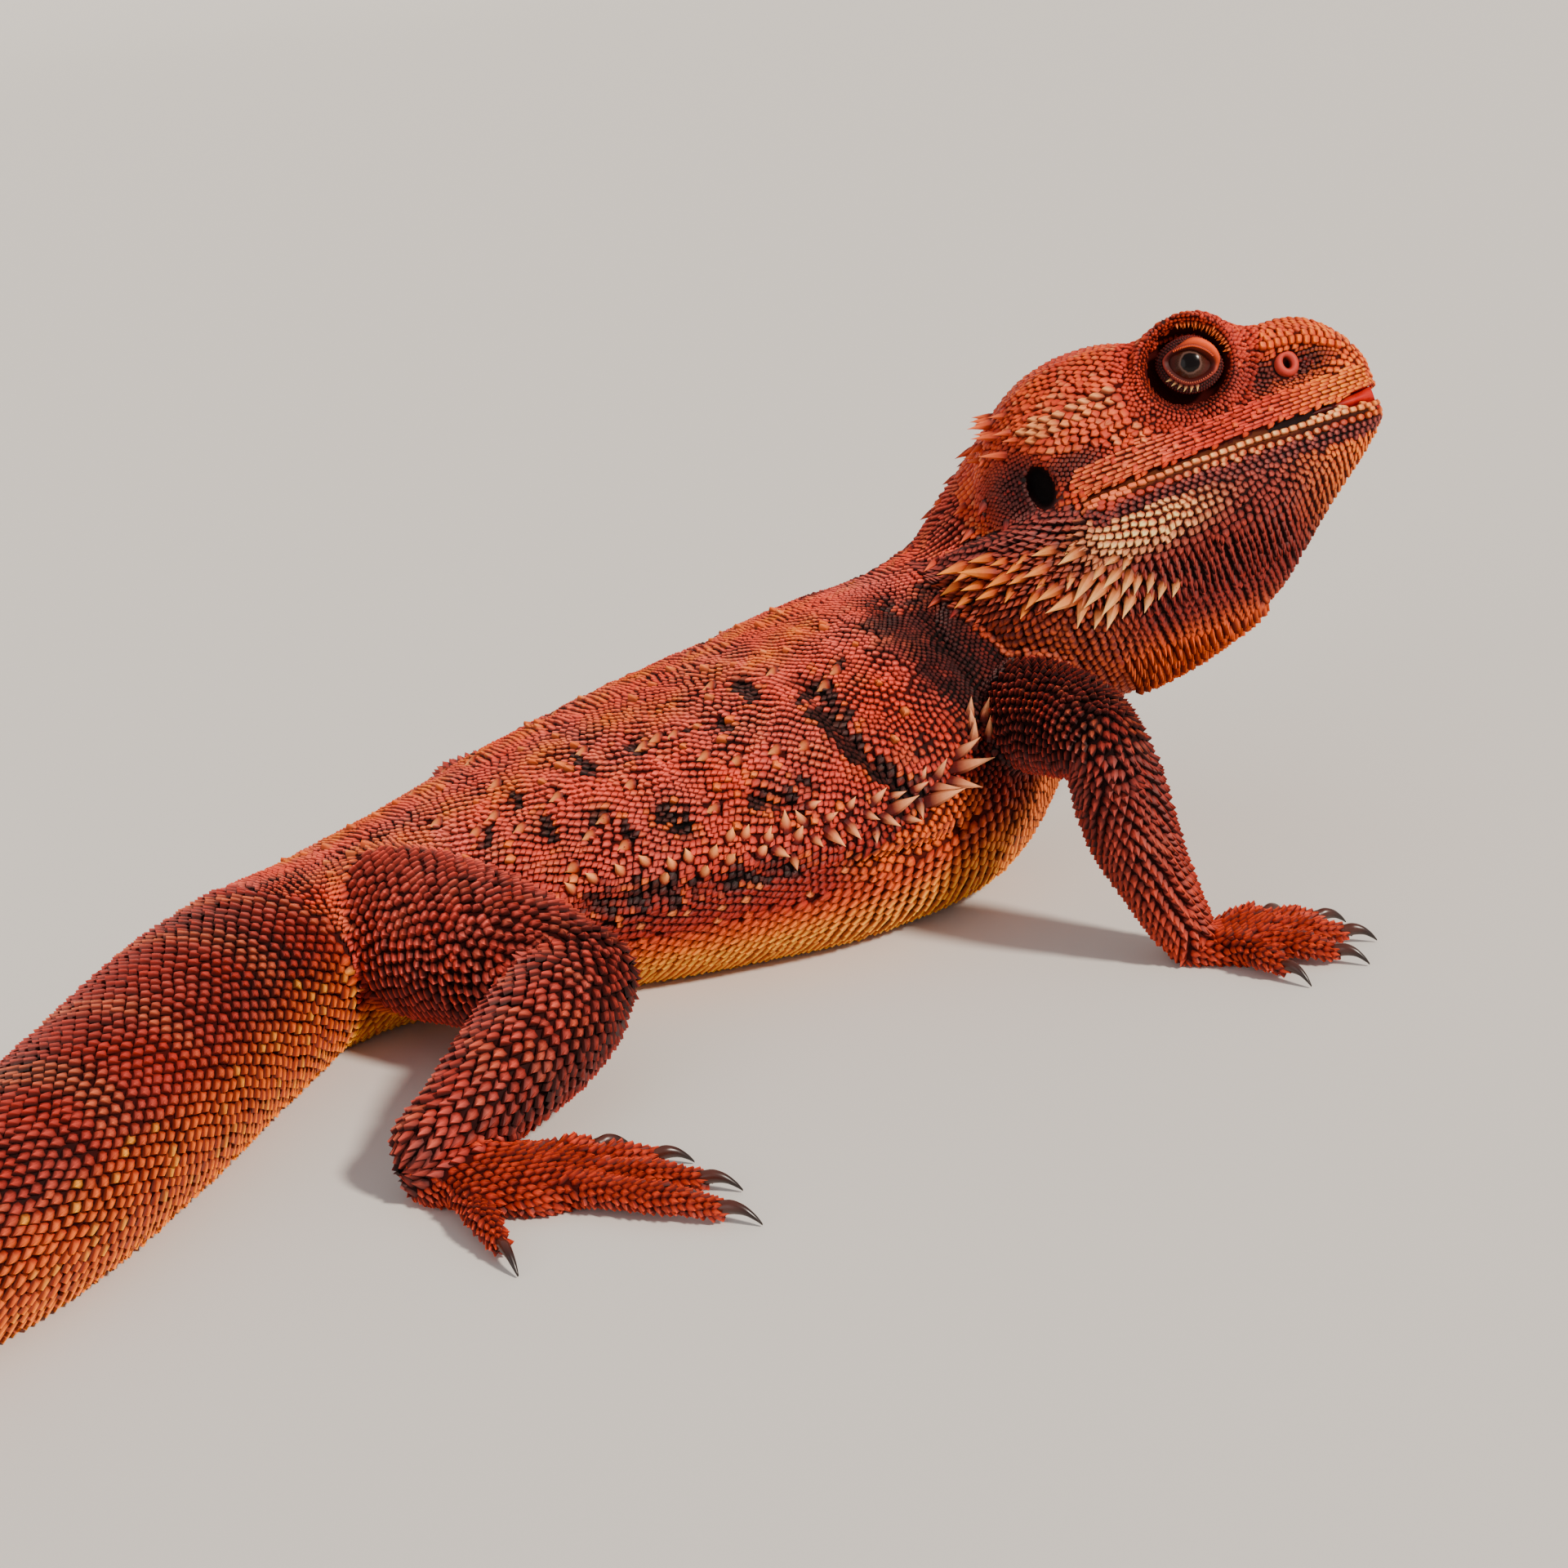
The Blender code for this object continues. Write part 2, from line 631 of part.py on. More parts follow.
def head_box(name, back, up):
    """A box in the head's own frame, between two distances back and two heights."""
    work = bmesh.new()
    bmesh.ops.create_cube(work, size=MM)
    sizes = (back[1] - back[0], 80, up[1] - up[0])
    bmesh.ops.transform(work, matrix=Matrix.Diagonal((*sizes, 1)), verts=work.verts)
    centre = head_matrix(sum(back) / 2, 0, sum(up) / 2)
    bmesh.ops.transform(work, matrix=centre, verts=work.verts)
    mesh = bpy.data.meshes.new(name)
    work.to_mesh(mesh)
    work.free()
    made = bpy.data.objects.new(name, mesh)
    shapes_collection().objects.link(made)
    return made


def on_head(name, back, left, up, sizes, detail=(BALL_SEGMENTS, BALL_RINGS)):
    """An ellipsoid at a point of the head; its sizes are half extents back, left and up."""
    return ellipsoid(name, head_matrix(back, left, up), sizes, *detail)


def make_head():
    """The skull and upper jaw, with lids, nostrils and ear cups. It returns its spines' places."""
    head = loft("head", skull_rings())
    for sign in (1, -1):
        lids = on_head("lids", EYE_BACK, sign * EYE_OUT, EYE_UP, (LID_R, LID_R - 0.5, LID_R))
        apply_boolean(head, lids, "UNION")
        rim_out = sign * NOSTRIL_OUT
        rim = on_head("rim", NOSTRIL_BACK, rim_out, NOSTRIL_UP, (NOSTRIL_R, NOSTRIL_R, NOSTRIL_R), COARSE)
        apply_boolean(head, rim, "UNION")
        socket = on_head("socket", EYE_BACK, sign * EYE_OUT, EYE_UP, (EYE_R + GAP,) * 3)
        apply_boolean(head, socket, "DIFFERENCE")
        slit_out = sign * (EYE_OUT + EYE_R)
        slit = on_head("slit", EYE_BACK, slit_out, EYE_UP, (LID_LONG, EYE_R, LID_TALL), COARSE)
        apply_boolean(head, slit, "DIFFERENCE")
        hole_out = sign * (NOSTRIL_OUT + NOSTRIL_R)
        hole = on_head("hole", NOSTRIL_BACK, hole_out, NOSTRIL_UP, (NOSTRIL_HOLE_R,) * 3, COARSE)
        apply_boolean(head, hole, "DIFFERENCE")
        cup = on_head("cup", EAR_BACK, sign * EAR_OUT, EAR_UP, (EAR_LONG, EAR_DEEP, EAR_TALL), COARSE)
        apply_boolean(head, cup, "DIFFERENCE")
    keep_largest(head)
    places = occiput_places(head, 1) + occiput_places(head, -1)
    with_spines(head, places)
    return places


def make_eye(name, sign):
    return on_head(name, EYE_BACK, sign * EYE_OUT, EYE_UP, (EYE_R,) * 3)


def make_jaw_and_beard():
    """The jaw is the front of the throat's upper part, and the beard is all the rest of the throat."""
    jaw = loft("lower_jaw", throat_rings())
    jaw_box = head_box("jaw_box", (-10, JAW_LENGTH), (-JAW_DEPTH, 10))
    apply_boolean(jaw, jaw_box, "INTERSECT")
    keep_largest(jaw)
    beard = loft("beard", throat_rings())
    jaw_box = head_box("jaw_box", (-10, JAW_LENGTH + GAP), (-JAW_DEPTH - GAP, 10))
    apply_boolean(beard, jaw_box, "DIFFERENCE")
    places = beard_places(beard, 1) + beard_places(beard, -1)
    with_spines(beard, places)
    return places


def make_torso_and_neck(head_spines):
    torso = loft("torso", body_rings(TRUNK, 0, NECK_FROM, TRUNK_ROWS, TRUNK_SIDES))
    neck = loft("neck", body_rings(TRUNK, NECK_FROM + NECK_STEP, NECK_END, NECK_ROWS, TRUNK_SIDES))
    for node in (torso, neck):
        carve(node, grown_throat(), loft("grown", skull_rings(GAP)))
        with_spines(node, head_spines, "DIFFERENCE", GAP)
    flank_spines = fringe_places(1) + fringe_places(-1)
    with_spines(torso, flank_spines)
    with_spines(neck, nape_places(1) + nape_places(-1))
    return flank_spines


def make_tail():
    for name, start, end in TAIL_NODES:
        step = 0.0 if name == "tail_base" else TAIL_STEP
        rows = 1 + round((end - start) * TAIL_ROWS_PER_KEY)
        length = loft(name, body_rings(tail_keys(), start + step, end, rows, TAIL_SIDES))
        if name == "tail_base":
            carve(length, grown_trunk())


def grown_trunk():
    return loft("grown", body_rings(TRUNK, 0, NECK_FROM + NECK_STEP, TRUNK_ROWS, TRUNK_SIDES, GAP))


def grown_neck():
    return loft("grown", body_rings(TRUNK, NECK_FROM - NECK_STEP, NECK_END, NECK_ROWS, TRUNK_SIDES, GAP))


def grown_throat():
    return loft("grown", throat_rings(GAP))


def make_arm(side, upper, lower, hand, spines):
    """An upper arm, forearm and hand, each cut back by what it grows from and by nearby spines."""
    hint = (1, 0, 0)
    first = loft(f"upper_arm_{side}", limb_rings(upper, hint=hint))
    carve(first, grown_trunk(), grown_neck(), grown_throat())
    with_spines(first, spines, "DIFFERENCE", GAP)
    second = loft(f"forearm_{side}", limb_rings(lower, hint=hint))
    carve(second, loft("grown", limb_rings(upper, GAP, hint)), grown_trunk(), grown_throat())
    third = make_foot(f"hand_{side}", hand)
    carve(third, loft("grown", limb_rings(lower, GAP, hint)))
    make_claws(f"hand_{side}", hand)


def make_leg(side, upper, lower, foot):
    """A thigh, shank and foot, each cut back by what it grows from."""
    first = loft(f"thigh_{side}", limb_rings(upper))
    rows = 1 + 2 * TAIL_ROWS_PER_KEY
    carve(first, grown_trunk(), loft("grown", body_rings(tail_keys(), 0, 2, rows, TAIL_SIDES, GAP)))
    second = loft(f"shank_{side}", limb_rings(lower))
    carve(second, loft("grown", limb_rings(upper, GAP)), grown_trunk())
    third = make_foot(f"foot_{side}", foot)
    carve(third, loft("grown", limb_rings(lower, GAP)))
    make_claws(f"foot_{side}", foot)


def level_rings(rows, way, sides):
    """Upright rings along a digit or claw that runs along way on the floor plan."""
    across = np.array((-way[1], way[0], 0))
    angles = np.arange(sides) * 2 * math.pi / sides
    rings = []
    for x, y, z, radius in rows:
        circle = np.cos(angles)[:, None] * across + np.sin(angles)[:, None] * np.array((0, 0, 1))
        rings.append(np.array((x, y, z)) + radius * circle)
    return on_floor(rings)


def heading_of(foot):
    start, end = np.array(foot["start"]), np.array(foot["end"])
    ahead = (end - start) / np.linalg.norm(end - start)
    return start, end, ahead, np.array((-ahead[1], ahead[0]))


def digit_line(foot, digit):
    """Root and direction of a digit on the floor plan, and its length."""
    start, end, ahead, left = heading_of(foot)
    mirror = -1 if foot["left"] else 1
    along, across, turn, length = digit
    root = start + (end - start) * along + left * (across * foot["width"] * mirror)
    angle = math.radians(turn * mirror)
    way = ahead * math.cos(angle) + left * math.sin(angle)
    return root, way, length


def digit_rows(foot, digit):
    """A digit's path: it rises a little over its knuckles and comes down to the tip."""
    root, way, length = digit_line(foot, digit)
    rows = []
    for share, height, radius in DIGIT_PROFILE:
        at = root + way * (length * share)
        rows.append((at[0], at[1], height, radius))
    return rows


def make_foot(name, foot):
    """A palm or sole with its five digits, flat underneath."""
    start, end = heading_of(foot)[:2]
    keys = []
    for share, wide, tall in PALM_PROFILE:
        at = start + (end - start) * share
        height = foot["height"] * tall
        keys.append((at[0], at[1], height * 0.62, foot["width"] * wide, height * 0.75, height))
    palm = loft(name, body_rings(keys, 0, len(keys) - 1, PALM_ROWS, PALM_SIDES))
    for digit in digits_of(name):
        rows = digit_rows(foot, digit)
        rows = through(rows, 0, len(rows) - 1, DIGIT_ROWS)
        rings = level_rings(rows, digit_line(foot, digit)[1], DIGIT_SIDES)
        apply_boolean(palm, loft("digit", rings), "UNION")
    return palm


def digits_of(name):
    return HAND_DIGITS if name.startswith("hand") else FOOT_DIGITS


def make_claws(foot_name, foot):
    """Curved claws, each set against the end of its digit."""
    for number, digit in enumerate(digits_of(foot_name), 1):
        root, way, length = digit_line(foot, digit)
        size = CLAW_LENGTH + CLAW_GAIN * length
        tip_height = DIGIT_PROFILE[-1][1]
        keys = []
        for share, rise, radius in CLAW_PROFILE:
            at = root + way * (length + GAP + size * share)
            keys.append((at[0], at[1], max(tip_height + rise, radius), radius))
        rows = through(keys, 0, len(keys) - 1, CLAW_ROWS)
        loft(f"{foot_name}_claw_{number}", level_rings(rows, way, CLAW_SIDES))


def make_tongue():
    """The tongue's edge, which shows between the lips at the front of the open mouth."""
    rings = []
    for back, height, wide, thick in through(TONGUE, 0, len(TONGUE) - 1, TONGUE_ROWS):
        ring = []
        for j in range(TONGUE_SIDES):
            a = 2 * math.pi * j / TONGUE_SIDES
            ring.append(head_point(back, math.cos(a) * wide, height + math.sin(a) * thick))
        rings.append(ring)
    return loft("tongue", rings)


def kind_of(name):
    """The name of the material that a node has."""
    if name.startswith("eye"):
        return "eye"
    if "claw" in name:
        return "claw"
    if name == "tongue":
        return "mouth"
    if name in ("head", "lower_jaw"):
        return "head"
    return "belly" if name == "beard" else "skin"


def paint():
    """Gives each node the material of what it is."""
    made = {}
    for kind, (colour, roughness) in LOOKS.items():
        made[kind] = material(kind, colour, roughness)
    for obj in shapes_collection().objects:
        obj.data.materials.clear()
        obj.data.materials.append(made[kind_of(obj.name)])
        obj.data.shade_smooth()
        obj.data.set_sharp_from_angle(angle=math.radians(50))


def main():
    clear_scene()
    collection = bpy.data.collections.new("bearded_dragon")
    bpy.context.scene.collection.children.link(collection)
    spines = make_head()
    make_eye("eye_left", 1)
    make_eye("eye_right", -1)
    spines += make_jaw_and_beard()
    make_tongue()
    spines += make_torso_and_neck(spines)
    make_tail()
    make_arm("right", UPPER_ARM_R, FOREARM_R, HAND_R, spines)
    make_arm("left", UPPER_ARM_L, FOREARM_L, HAND_L, spines)
    make_leg("right", THIGH_R, SHANK_R, FOOT_R)
    make_leg("left", THIGH_L, SHANK_L, FOOT_L)
    paint()


main()
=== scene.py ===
"""The bearded dragon's looks: one skin over all the flesh, and scales, spines, lids, eyes and claws on it.

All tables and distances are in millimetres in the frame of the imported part, and new_mesh and put_points turn
them into metres. +X is the way the animal faces, +Y its left and +Z up.
"""

import math

import bmesh
import bpy
import numpy as np
from mathutils import Matrix, Vector
from mathutils.bvhtree import BVHTree
from mathutils.kdtree import KDTree

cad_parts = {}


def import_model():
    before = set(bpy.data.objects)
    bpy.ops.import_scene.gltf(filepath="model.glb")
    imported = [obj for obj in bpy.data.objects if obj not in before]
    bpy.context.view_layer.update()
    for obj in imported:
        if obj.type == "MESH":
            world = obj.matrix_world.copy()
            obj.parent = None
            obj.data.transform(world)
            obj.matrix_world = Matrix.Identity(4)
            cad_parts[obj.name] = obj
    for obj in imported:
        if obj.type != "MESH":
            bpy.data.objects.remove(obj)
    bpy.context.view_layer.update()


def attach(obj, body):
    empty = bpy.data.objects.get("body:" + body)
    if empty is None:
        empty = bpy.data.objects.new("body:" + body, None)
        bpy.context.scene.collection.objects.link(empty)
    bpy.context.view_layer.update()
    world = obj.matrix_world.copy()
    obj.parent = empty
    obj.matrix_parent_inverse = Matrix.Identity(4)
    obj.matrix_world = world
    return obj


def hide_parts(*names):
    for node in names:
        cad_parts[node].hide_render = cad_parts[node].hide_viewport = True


MM = 0.001
FLOOR = 0.0
IMAGE_SIZE = 1920

# The trunk from the pelvis to the nape: x, y, z of the widest line, half width, height above, depth below.
TRUNK = [(-66, -30, 12.4, 14.2, 11.0, 13.0), (-60, -23, 12.3, 15.0, 11.4, 13.3),
    (-54, -18, 12.5, 16.6, 12.2, 14.0), (-45, -13, 13.0, 19.6, 13.8, 15.0),
    (-33, -8.5, 14.2, 24.5, 16.4, 17.0), (-20, -5, 15.8, 28.5, 18.6, 19.0),
    (-6, -1.5, 17.4, 31.0, 20.4, 20.5), (8, 1.5, 19.4, 31.0, 22.2, 22.5), (20, 5, 24.0, 27.0, 21.4, 26.0),
    (29, 8.5, 30.0, 21.4, 19.0, 23.0), (37, 11.5, 39.0, 16.6, 13.6, 17.0),
    (43, 13.5, 49.0, 14.2, 11.2, 14.0), (49, 15, 58.0, 12.6, 10.2, 12.0)]
# The tail: x, y, radius. It lies on the floor, so its centre is one radius up.
TAIL = [(-66, -30, 14.0), (-73, -47, 13.9), (-79.5, -66, 13.4), (-88, -85, 12.4), (-102, -101, 10.6),
    (-122, -111, 8.8), (-149, -115, 7.0), (-178, -111, 5.5), (-206, -102, 4.2), (-233, -91, 3.1),
    (-258, -81, 2.2), (-281, -74, 1.2)]

# The head's own frame: the tip of the upper jaw, its pitch above level, its turn to the animal's right, and
# its roll, which lifts its right side.
SNOUT = np.array((94.0, 6.5, 64.4))
HEAD_PITCH = math.radians(16.8)
HEAD_TURN = math.radians(9)
HEAD_ROLL = math.radians(13)

# The skull and upper jaw, from the snout back: distance back, height of the midline, half width and height of
# the brow, half width and height of the cheek, half width of the lip. Heights are above the mouth line.
SKULL = [(0.0, 4.0, 1.4, 3.3, 2.4, 1.5, 2.4), (1.0, 7.0, 2.9, 5.8, 4.1, 2.4, 4.4),
    (3.0, 10.0, 4.2, 8.2, 5.7, 3.4, 6.1), (6.0, 12.8, 5.2, 10.4, 7.1, 4.2, 7.8),
    (10.5, 14.6, 6.4, 12.0, 8.8, 5.0, 9.9), (14.5, 14.9, 8.2, 13.8, 10.4, 6.0, 12.0),
    (18.5, 15.4, 11.0, 17.4, 11.8, 7.0, 14.0), (23.2, 16.2, 12.4, 18.2, 12.8, 7.5, 15.8),
    (28.0, 17.6, 12.4, 17.0, 15.2, 8.0, 17.6), (34.0, 19.8, 12.0, 17.6, 18.4, 8.0, 19.6),
    (40.0, 20.4, 12.0, 17.8, 19.8, 8.0, 20.5), (46.0, 19.4, 11.5, 16.6, 19.8, 7.6, 20.2),
    (51.0, 16.8, 10.0, 14.2, 18.2, 6.8, 18.6), (55.0, 13.2, 8.0, 11.0, 15.2, 5.4, 15.4),
    (58.0, 8.4, 5.6, 7.0, 11.0, 3.6, 11.2), (60.0, 4.0, 3.0, 3.4, 6.0, 1.8, 6.2)]
# The lower jaw and throat pouch: distance back, height of the lip, half width of the lip, half width and
# height of the widest line, height of the underside.
THROAT = [(0.0, -1.9, 1.9, 1.8, -2.7, -3.5), (0.9, -1.8, 4.0, 4.0, -3.5, -5.1),
    (3.2, -1.55, 5.8, 5.9, -4.5, -7.2), (7.0, -1.25, 8.0, 8.4, -5.8, -10.2),
    (11.0, -0.95, 10.0, 11.0, -7.0, -13.2), (16.0, -0.6, 12.4, 14.0, -8.6, -17.4),
    (21.0, -0.35, 14.6, 16.8, -10.0, -21.4), (27.0, -0.2, 17.0, 19.4, -11.0, -24.6),
    (33.0, -0.2, 19.0, 21.4, -11.0, -26.4), (39.0, -0.2, 20.2, 22.6, -10.5, -27.6),
    (46.0, -0.2, 20.4, 23.4, -10.5, -28.2), (53.0, -0.2, 19.6, 23.0, -10.5, -27.6),
    (59.0, -0.2, 17.6, 21.0, -10.5, -25.6), (64.0, -0.3, 14.6, 18.0, -10.5, -22.0),
    (68.0, -1.2, 10.5, 13.4, -10.0, -17.0), (70.5, -3.0, 6.0, 7.4, -9.0, -12.5)]
LIP_GAP, LIP_THICK = 0.15, 0.8
# Columns of these two tables.
CHEEK_WIDTH, CHEEK_HEIGHT, UPPER_LIP_WIDTH = 4, 5, 6
LOWER_LIP_HEIGHT, LOWER_LIP_WIDTH, JAW_WIDTH, JAW_HEIGHT = 1, 2, 3, 4
UPPER_LIP_ENDS, LOWER_LIP_ENDS = (0.4, 42.5), (0.3, 41.5)

EYE = (23.0, 9.0, 11.9)
EYE_R = 4.7
EAR = (47.0, 19.2, 3.4)
EAR_LONG, EAR_TALL, EAR_DEEP = 2.0, 3.2, 2.6
NOSTRIL = (10.6, 8.4, 7.3)

# Limbs: joint points, each with the radius of the flesh there.
UPPER_ARM_R = [(37, -4, 27, 8.5), (41.5, -16, 29, 7.6), (45, -26, 30, 6.6), (47, -32, 29, 5.4)]
FOREARM_R = [(46.8, -31.5, 31, 4.6), (47.8, -32.5, 25, 5.8), (49.6, -33.5, 17, 5.6),
    (52.4, -34.8, 9.5, 4.6), (54.3, -35.5, 5.2, 4.0)]
UPPER_ARM_L = [(31, 17, 27, 8.5), (27, 27, 26, 7.4), (22.5, 35, 23.5, 6.4), (20.5, 40, 22, 5.4)]
FOREARM_L = [(20.6, 39, 23, 4.8), (21.5, 42, 19, 5.8), (23.5, 45, 14, 5.6), (26, 47.5, 8.5, 4.6),
    (28, 48.5, 5.2, 4.0)]
THIGH_R = [(-51, -24, 14, 11.5), (-42, -33, 14.5, 10.8), (-32, -43, 14.5, 9.2), (-25, -50, 13.5, 7.4)]
SHANK_R = [(-24, -49.5, 13.5, 7.2), (-27, -56.5, 12, 8.0), (-32, -64.5, 10, 7.2), (-37.5, -71, 7.6, 5.6),
    (-41, -74, 6.2, 4.8)]
THIGH_L = [(-53, -7, 12.5, 10.6), (-46, 5, 11, 9.6), (-38, 18, 9.6, 8.4), (-32, 28, 8.8, 7.2)]
SHANK_L = [(-31.5, 27.5, 8.8, 7.0), (-34.5, 34, 8.4, 7.6), (-40, 41.5, 7.8, 7.0), (-46, 47.5, 6.8, 5.6),
    (-49, 50.5, 6.0, 4.8)]
ARM_HINT, LEG_HINT = (1, 0, 0), (0, 0, 1)
# Where the rings of a limb's rounded ends lie, as shares of its radius beyond the last joint point.
CAP_SHARES = (0.3, 0.6, 0.85, 0.97)

# Palms and soles: where they start and end on the floor, half width and height, then for each digit where it
# leaves the palm, its heading away from the palm's in degrees, and its length.
HAND_R = dict(start=(54.5, -35.5), end=(65.5, -37.0), width=5.2, height=3.4, left=False)
HAND_L = dict(start=(27.8, 48.5), end=(37.5, 52.0), width=5.2, height=3.4, left=True)
FOOT_R = dict(start=(-42.0, -74.5), end=(-25.0, -80.0), width=6.0, height=5.0, left=False)
FOOT_L = dict(start=(-50.0, 50.5), end=(-33.5, 58.0), width=6.0, height=5.0, left=True)
HAND_DIGITS = [(0.62, 0.62, 46, 6.5), (0.86, 0.46, 21, 9.0), (0.93, 0.05, 2, 10.5), (0.88, -0.42, -17, 9.8),
    (0.62, -0.66, -44, 7.5)]
FOOT_DIGITS = [(0.66, 0.60, 42, 7.5), (0.84, 0.46, 22, 11.0), (0.95, 0.10, 6, 15.5),
    (0.93, -0.36, -5, 20.0), (0.30, -0.62, -48, 13.0)]
FEET = {"hand_right": (HAND_R, HAND_DIGITS), "hand_left": (HAND_L, HAND_DIGITS),
    "foot_right": (FOOT_R, FOOT_DIGITS), "foot_left": (FOOT_L, FOOT_DIGITS)}
PALM_PROFILE = [(-0.16, 0.42, 0.8), (0.0, 0.72, 1.0), (0.35, 0.9, 0.95), (0.7, 1.0, 0.8),
    (0.95, 0.85, 0.68), (1.1, 0.45, 0.5)]
DIGIT_PROFILE = [(-0.22, 2.4, 2.1), (0.15, 2.7, 2.0), (0.4, 2.5, 1.75), (0.62, 2.5, 1.85), (0.8, 2.2, 1.5),
    (1.0, 1.7, 1.25)]
CLAW_PROFILE = [(0.0, 0.25, 0.95), (0.3, 0.5, 0.85), (0.6, 0.2, 0.62), (0.85, -0.6, 0.38),
    (1.0, -1.35, 0.14)]
CLAW_LENGTH, CLAW_GAIN, CLAW_GAP = 3.9, 0.046, 0.3
TONGUE = [(0.8, -0.85, 2.5, 1.1), (2.0, -0.8, 4.0, 1.3), (3.6, -0.75, 5.1, 1.2), (6.0, -0.65, 6.6, 1.4),
    (9.0, -0.5, 8.1, 1.25), (12.5, -0.4, 9.4, 1.1)]

FLESH = (
    "head lower_jaw beard neck torso tail_base tail_front tail_middle tail_rear tail_tip "
    "upper_arm_right upper_arm_left forearm_right forearm_left hand_right hand_left "
    "thigh_right thigh_left shank_right shank_left foot_right foot_left"
).split()


def srgb(red, green, blue):
    """A linear colour from one written as 0 to 255."""
    value = np.array((red, green, blue)) / 255.0
    return np.where(value <= 0.04045, value / 12.92, ((value + 0.055) / 1.055) ** 2.4)


BRICK, SALMON, MAROON = srgb(168, 26, 13), srgb(220, 62, 30), srgb(84, 13, 11)
# The near-black colour that starts the next row is the dark bars' own colour and also painted shade in folds,
# lip creases and the back of the mouth.
SHADE_AND_BAR_DARK, PLUM, RUST = srgb(22, 4, 4), srgb(62, 20, 22), srgb(192, 48, 9)
ORANGE, AMBER, YELLOW = srgb(246, 102, 12), srgb(252, 136, 16), srgb(255, 176, 44)
TAN, PINK, CREAM = srgb(240, 140, 72), srgb(208, 82, 68), srgb(250, 202, 130)
RED, WET_RED, BLACK = srgb(204, 38, 12), srgb(178, 8, 4), srgb(10, 4, 4)


def smooth(low, high, value):
    """An even rise from 0 at the low value to 1 at the high one."""
    share = np.clip((value - low) / (high - low), 0, 1)
    return share * share * (3 - 2 * share)


def bell(value, half):
    """A bump of height 1 at value 0, which falls to about a third at this half width."""
    return np.exp(-((value / half) ** 2))


def mix(first, second, share):
    """Blends two colours, or two arrays of them, by an array of shares."""
    share = np.asarray(share)[..., None]
    return first * (1 - share) + second * share


def ripple(points, size, seed):
    """Smooth noise from -1 to 1 over points, with features of about this size."""
    draw = np.random.default_rng(seed)
    total = np.zeros(len(points))
    for _ in range(7):
        way = draw.normal(size=3)
        way *= 2 * math.pi / (size * np.linalg.norm(way)) * draw.uniform(0.6, 1.4)
        total += np.sin(points @ way + draw.uniform(0, 2 * math.pi))
    return np.clip(total / 3.2, -1, 1)


def unit(vectors):
    """Vectors made one unit long."""
    vectors = np.asarray(vectors, float)
    return vectors / np.maximum(np.linalg.norm(vectors, axis=-1, keepdims=True), 1e-9)


def through(keys, places):
    """Rows on a smooth curve through the keys, at places counted in keys."""
    keys = np.array(keys, float)
    slopes = np.gradient(keys, axis=0)
    places = np.atleast_1d(np.asarray(places, float))
    i = np.clip(places.astype(int), 0, len(keys) - 2)
    u = (places - i)[:, None]
    start = (2 * u**3 - 3 * u**2 + 1) * keys[i] + (u**3 - 2 * u**2 + u) * slopes[i]
    return start + (-2 * u**3 + 3 * u**2) * keys[i + 1] + (u**3 - u**2) * slopes[i + 1]


def headings(keys, places):
    """Directions at places of the curve through the keys."""
    places = np.atleast_1d(np.asarray(places, float))
    low, high = np.maximum(places - 0.02, 0), np.minimum(places + 0.02, len(keys) - 1)
    return unit(through(keys, high)[:, :3] - through(keys, low)[:, :3])


def sides_and_ups(along, hint=(0, 0, 1)):
    """Directions across each heading: level, and up from it."""
    side = unit(np.cross(np.array(hint, float), along))
    return side, np.cross(along, side)


def on_floor(points):
    """Lifts points that lie below the floor onto it."""
    points[..., 2] = np.maximum(points[..., 2], FLOOR)
    return points


def body_points(keys, places, angles):
    """Points round a trunk at angles counted from its top: a dome above the widest line, flatter below it.
    Positive angles go down the animal's right side."""
    rows = through(keys, places)
    side, up = sides_and_ups(headings(keys, places))
    c, h = -np.sin(angles), np.cos(angles)
    wide = np.sign(c) * np.abs(c) ** np.where(h > 0, 1.0, 0.78) * rows[:, 3:4]
    tall = np.where(h > 0, h * rows[:, 4:5], h * rows[:, 5:6])
    points = rows[:, None, :3] + side[:, None] * wide[..., None] + up[:, None] * tall[..., None]
    return on_floor(points)


def round_rings(rows, along, hint, sides):
    """Rings round a limb with rounded ends. Rows hold x, y, z and radius."""
    side, up = sides_and_ups(along, hint)
    angles = np.arange(sides) * 2 * math.pi / sides
    circle = np.cos(angles)[None, :, None] * side[:, None] + np.sin(angles)[None, :, None] * up[:, None]
    rings = list(rows[:, None, :3] + rows[:, 3:4, None] * circle)
    for share in CAP_SHARES:
        shrink = math.sqrt(1 - share**2)
        rings.insert(0, rows[0, :3] - along[0] * rows[0, 3] * share + rows[0, 3] * shrink * circle[0])
        rings.append(rows[-1, :3] + along[-1] * rows[-1, 3] * share + rows[-1, 3] * shrink * circle[-1])
    return on_floor(np.array(rings))


def limb_rings(keys, hint, count=40):
    """Rings of a limb through its joint points."""
    places = np.linspace(0, len(keys) - 1, count)
    return round_rings(through(keys, places), headings(keys, places), hint, 48)


def tail_keys():
    return [(x, y, radius * 0.9, radius, radius * 0.9, radius) for x, y, radius in TAIL]


def body_keys():
    """The tail from its tip and the trunk as one run. Trunk row 0 has place TAIL_ROWS in it."""
    joined = list(TRUNK)
    joined[0] = (-66, -30, 12.5, 14.1, 11.7, 13.4)
    return tail_keys()[:0:-1] + joined


TAIL_ROWS = len(TAIL) - 1


def head_frame():
    """Back, left and up directions of the head."""
    level = math.cos(HEAD_PITCH)
    ahead = np.array((level * math.cos(HEAD_TURN), -level * math.sin(HEAD_TURN), math.sin(HEAD_PITCH)))
    level_left = unit(np.cross((0, 0, 1), ahead))
    level_up = np.cross(ahead, level_left)
    left = level_left * math.cos(HEAD_ROLL) - level_up * math.sin(HEAD_ROLL)
    return np.array((-ahead, left, np.cross(ahead, left)))


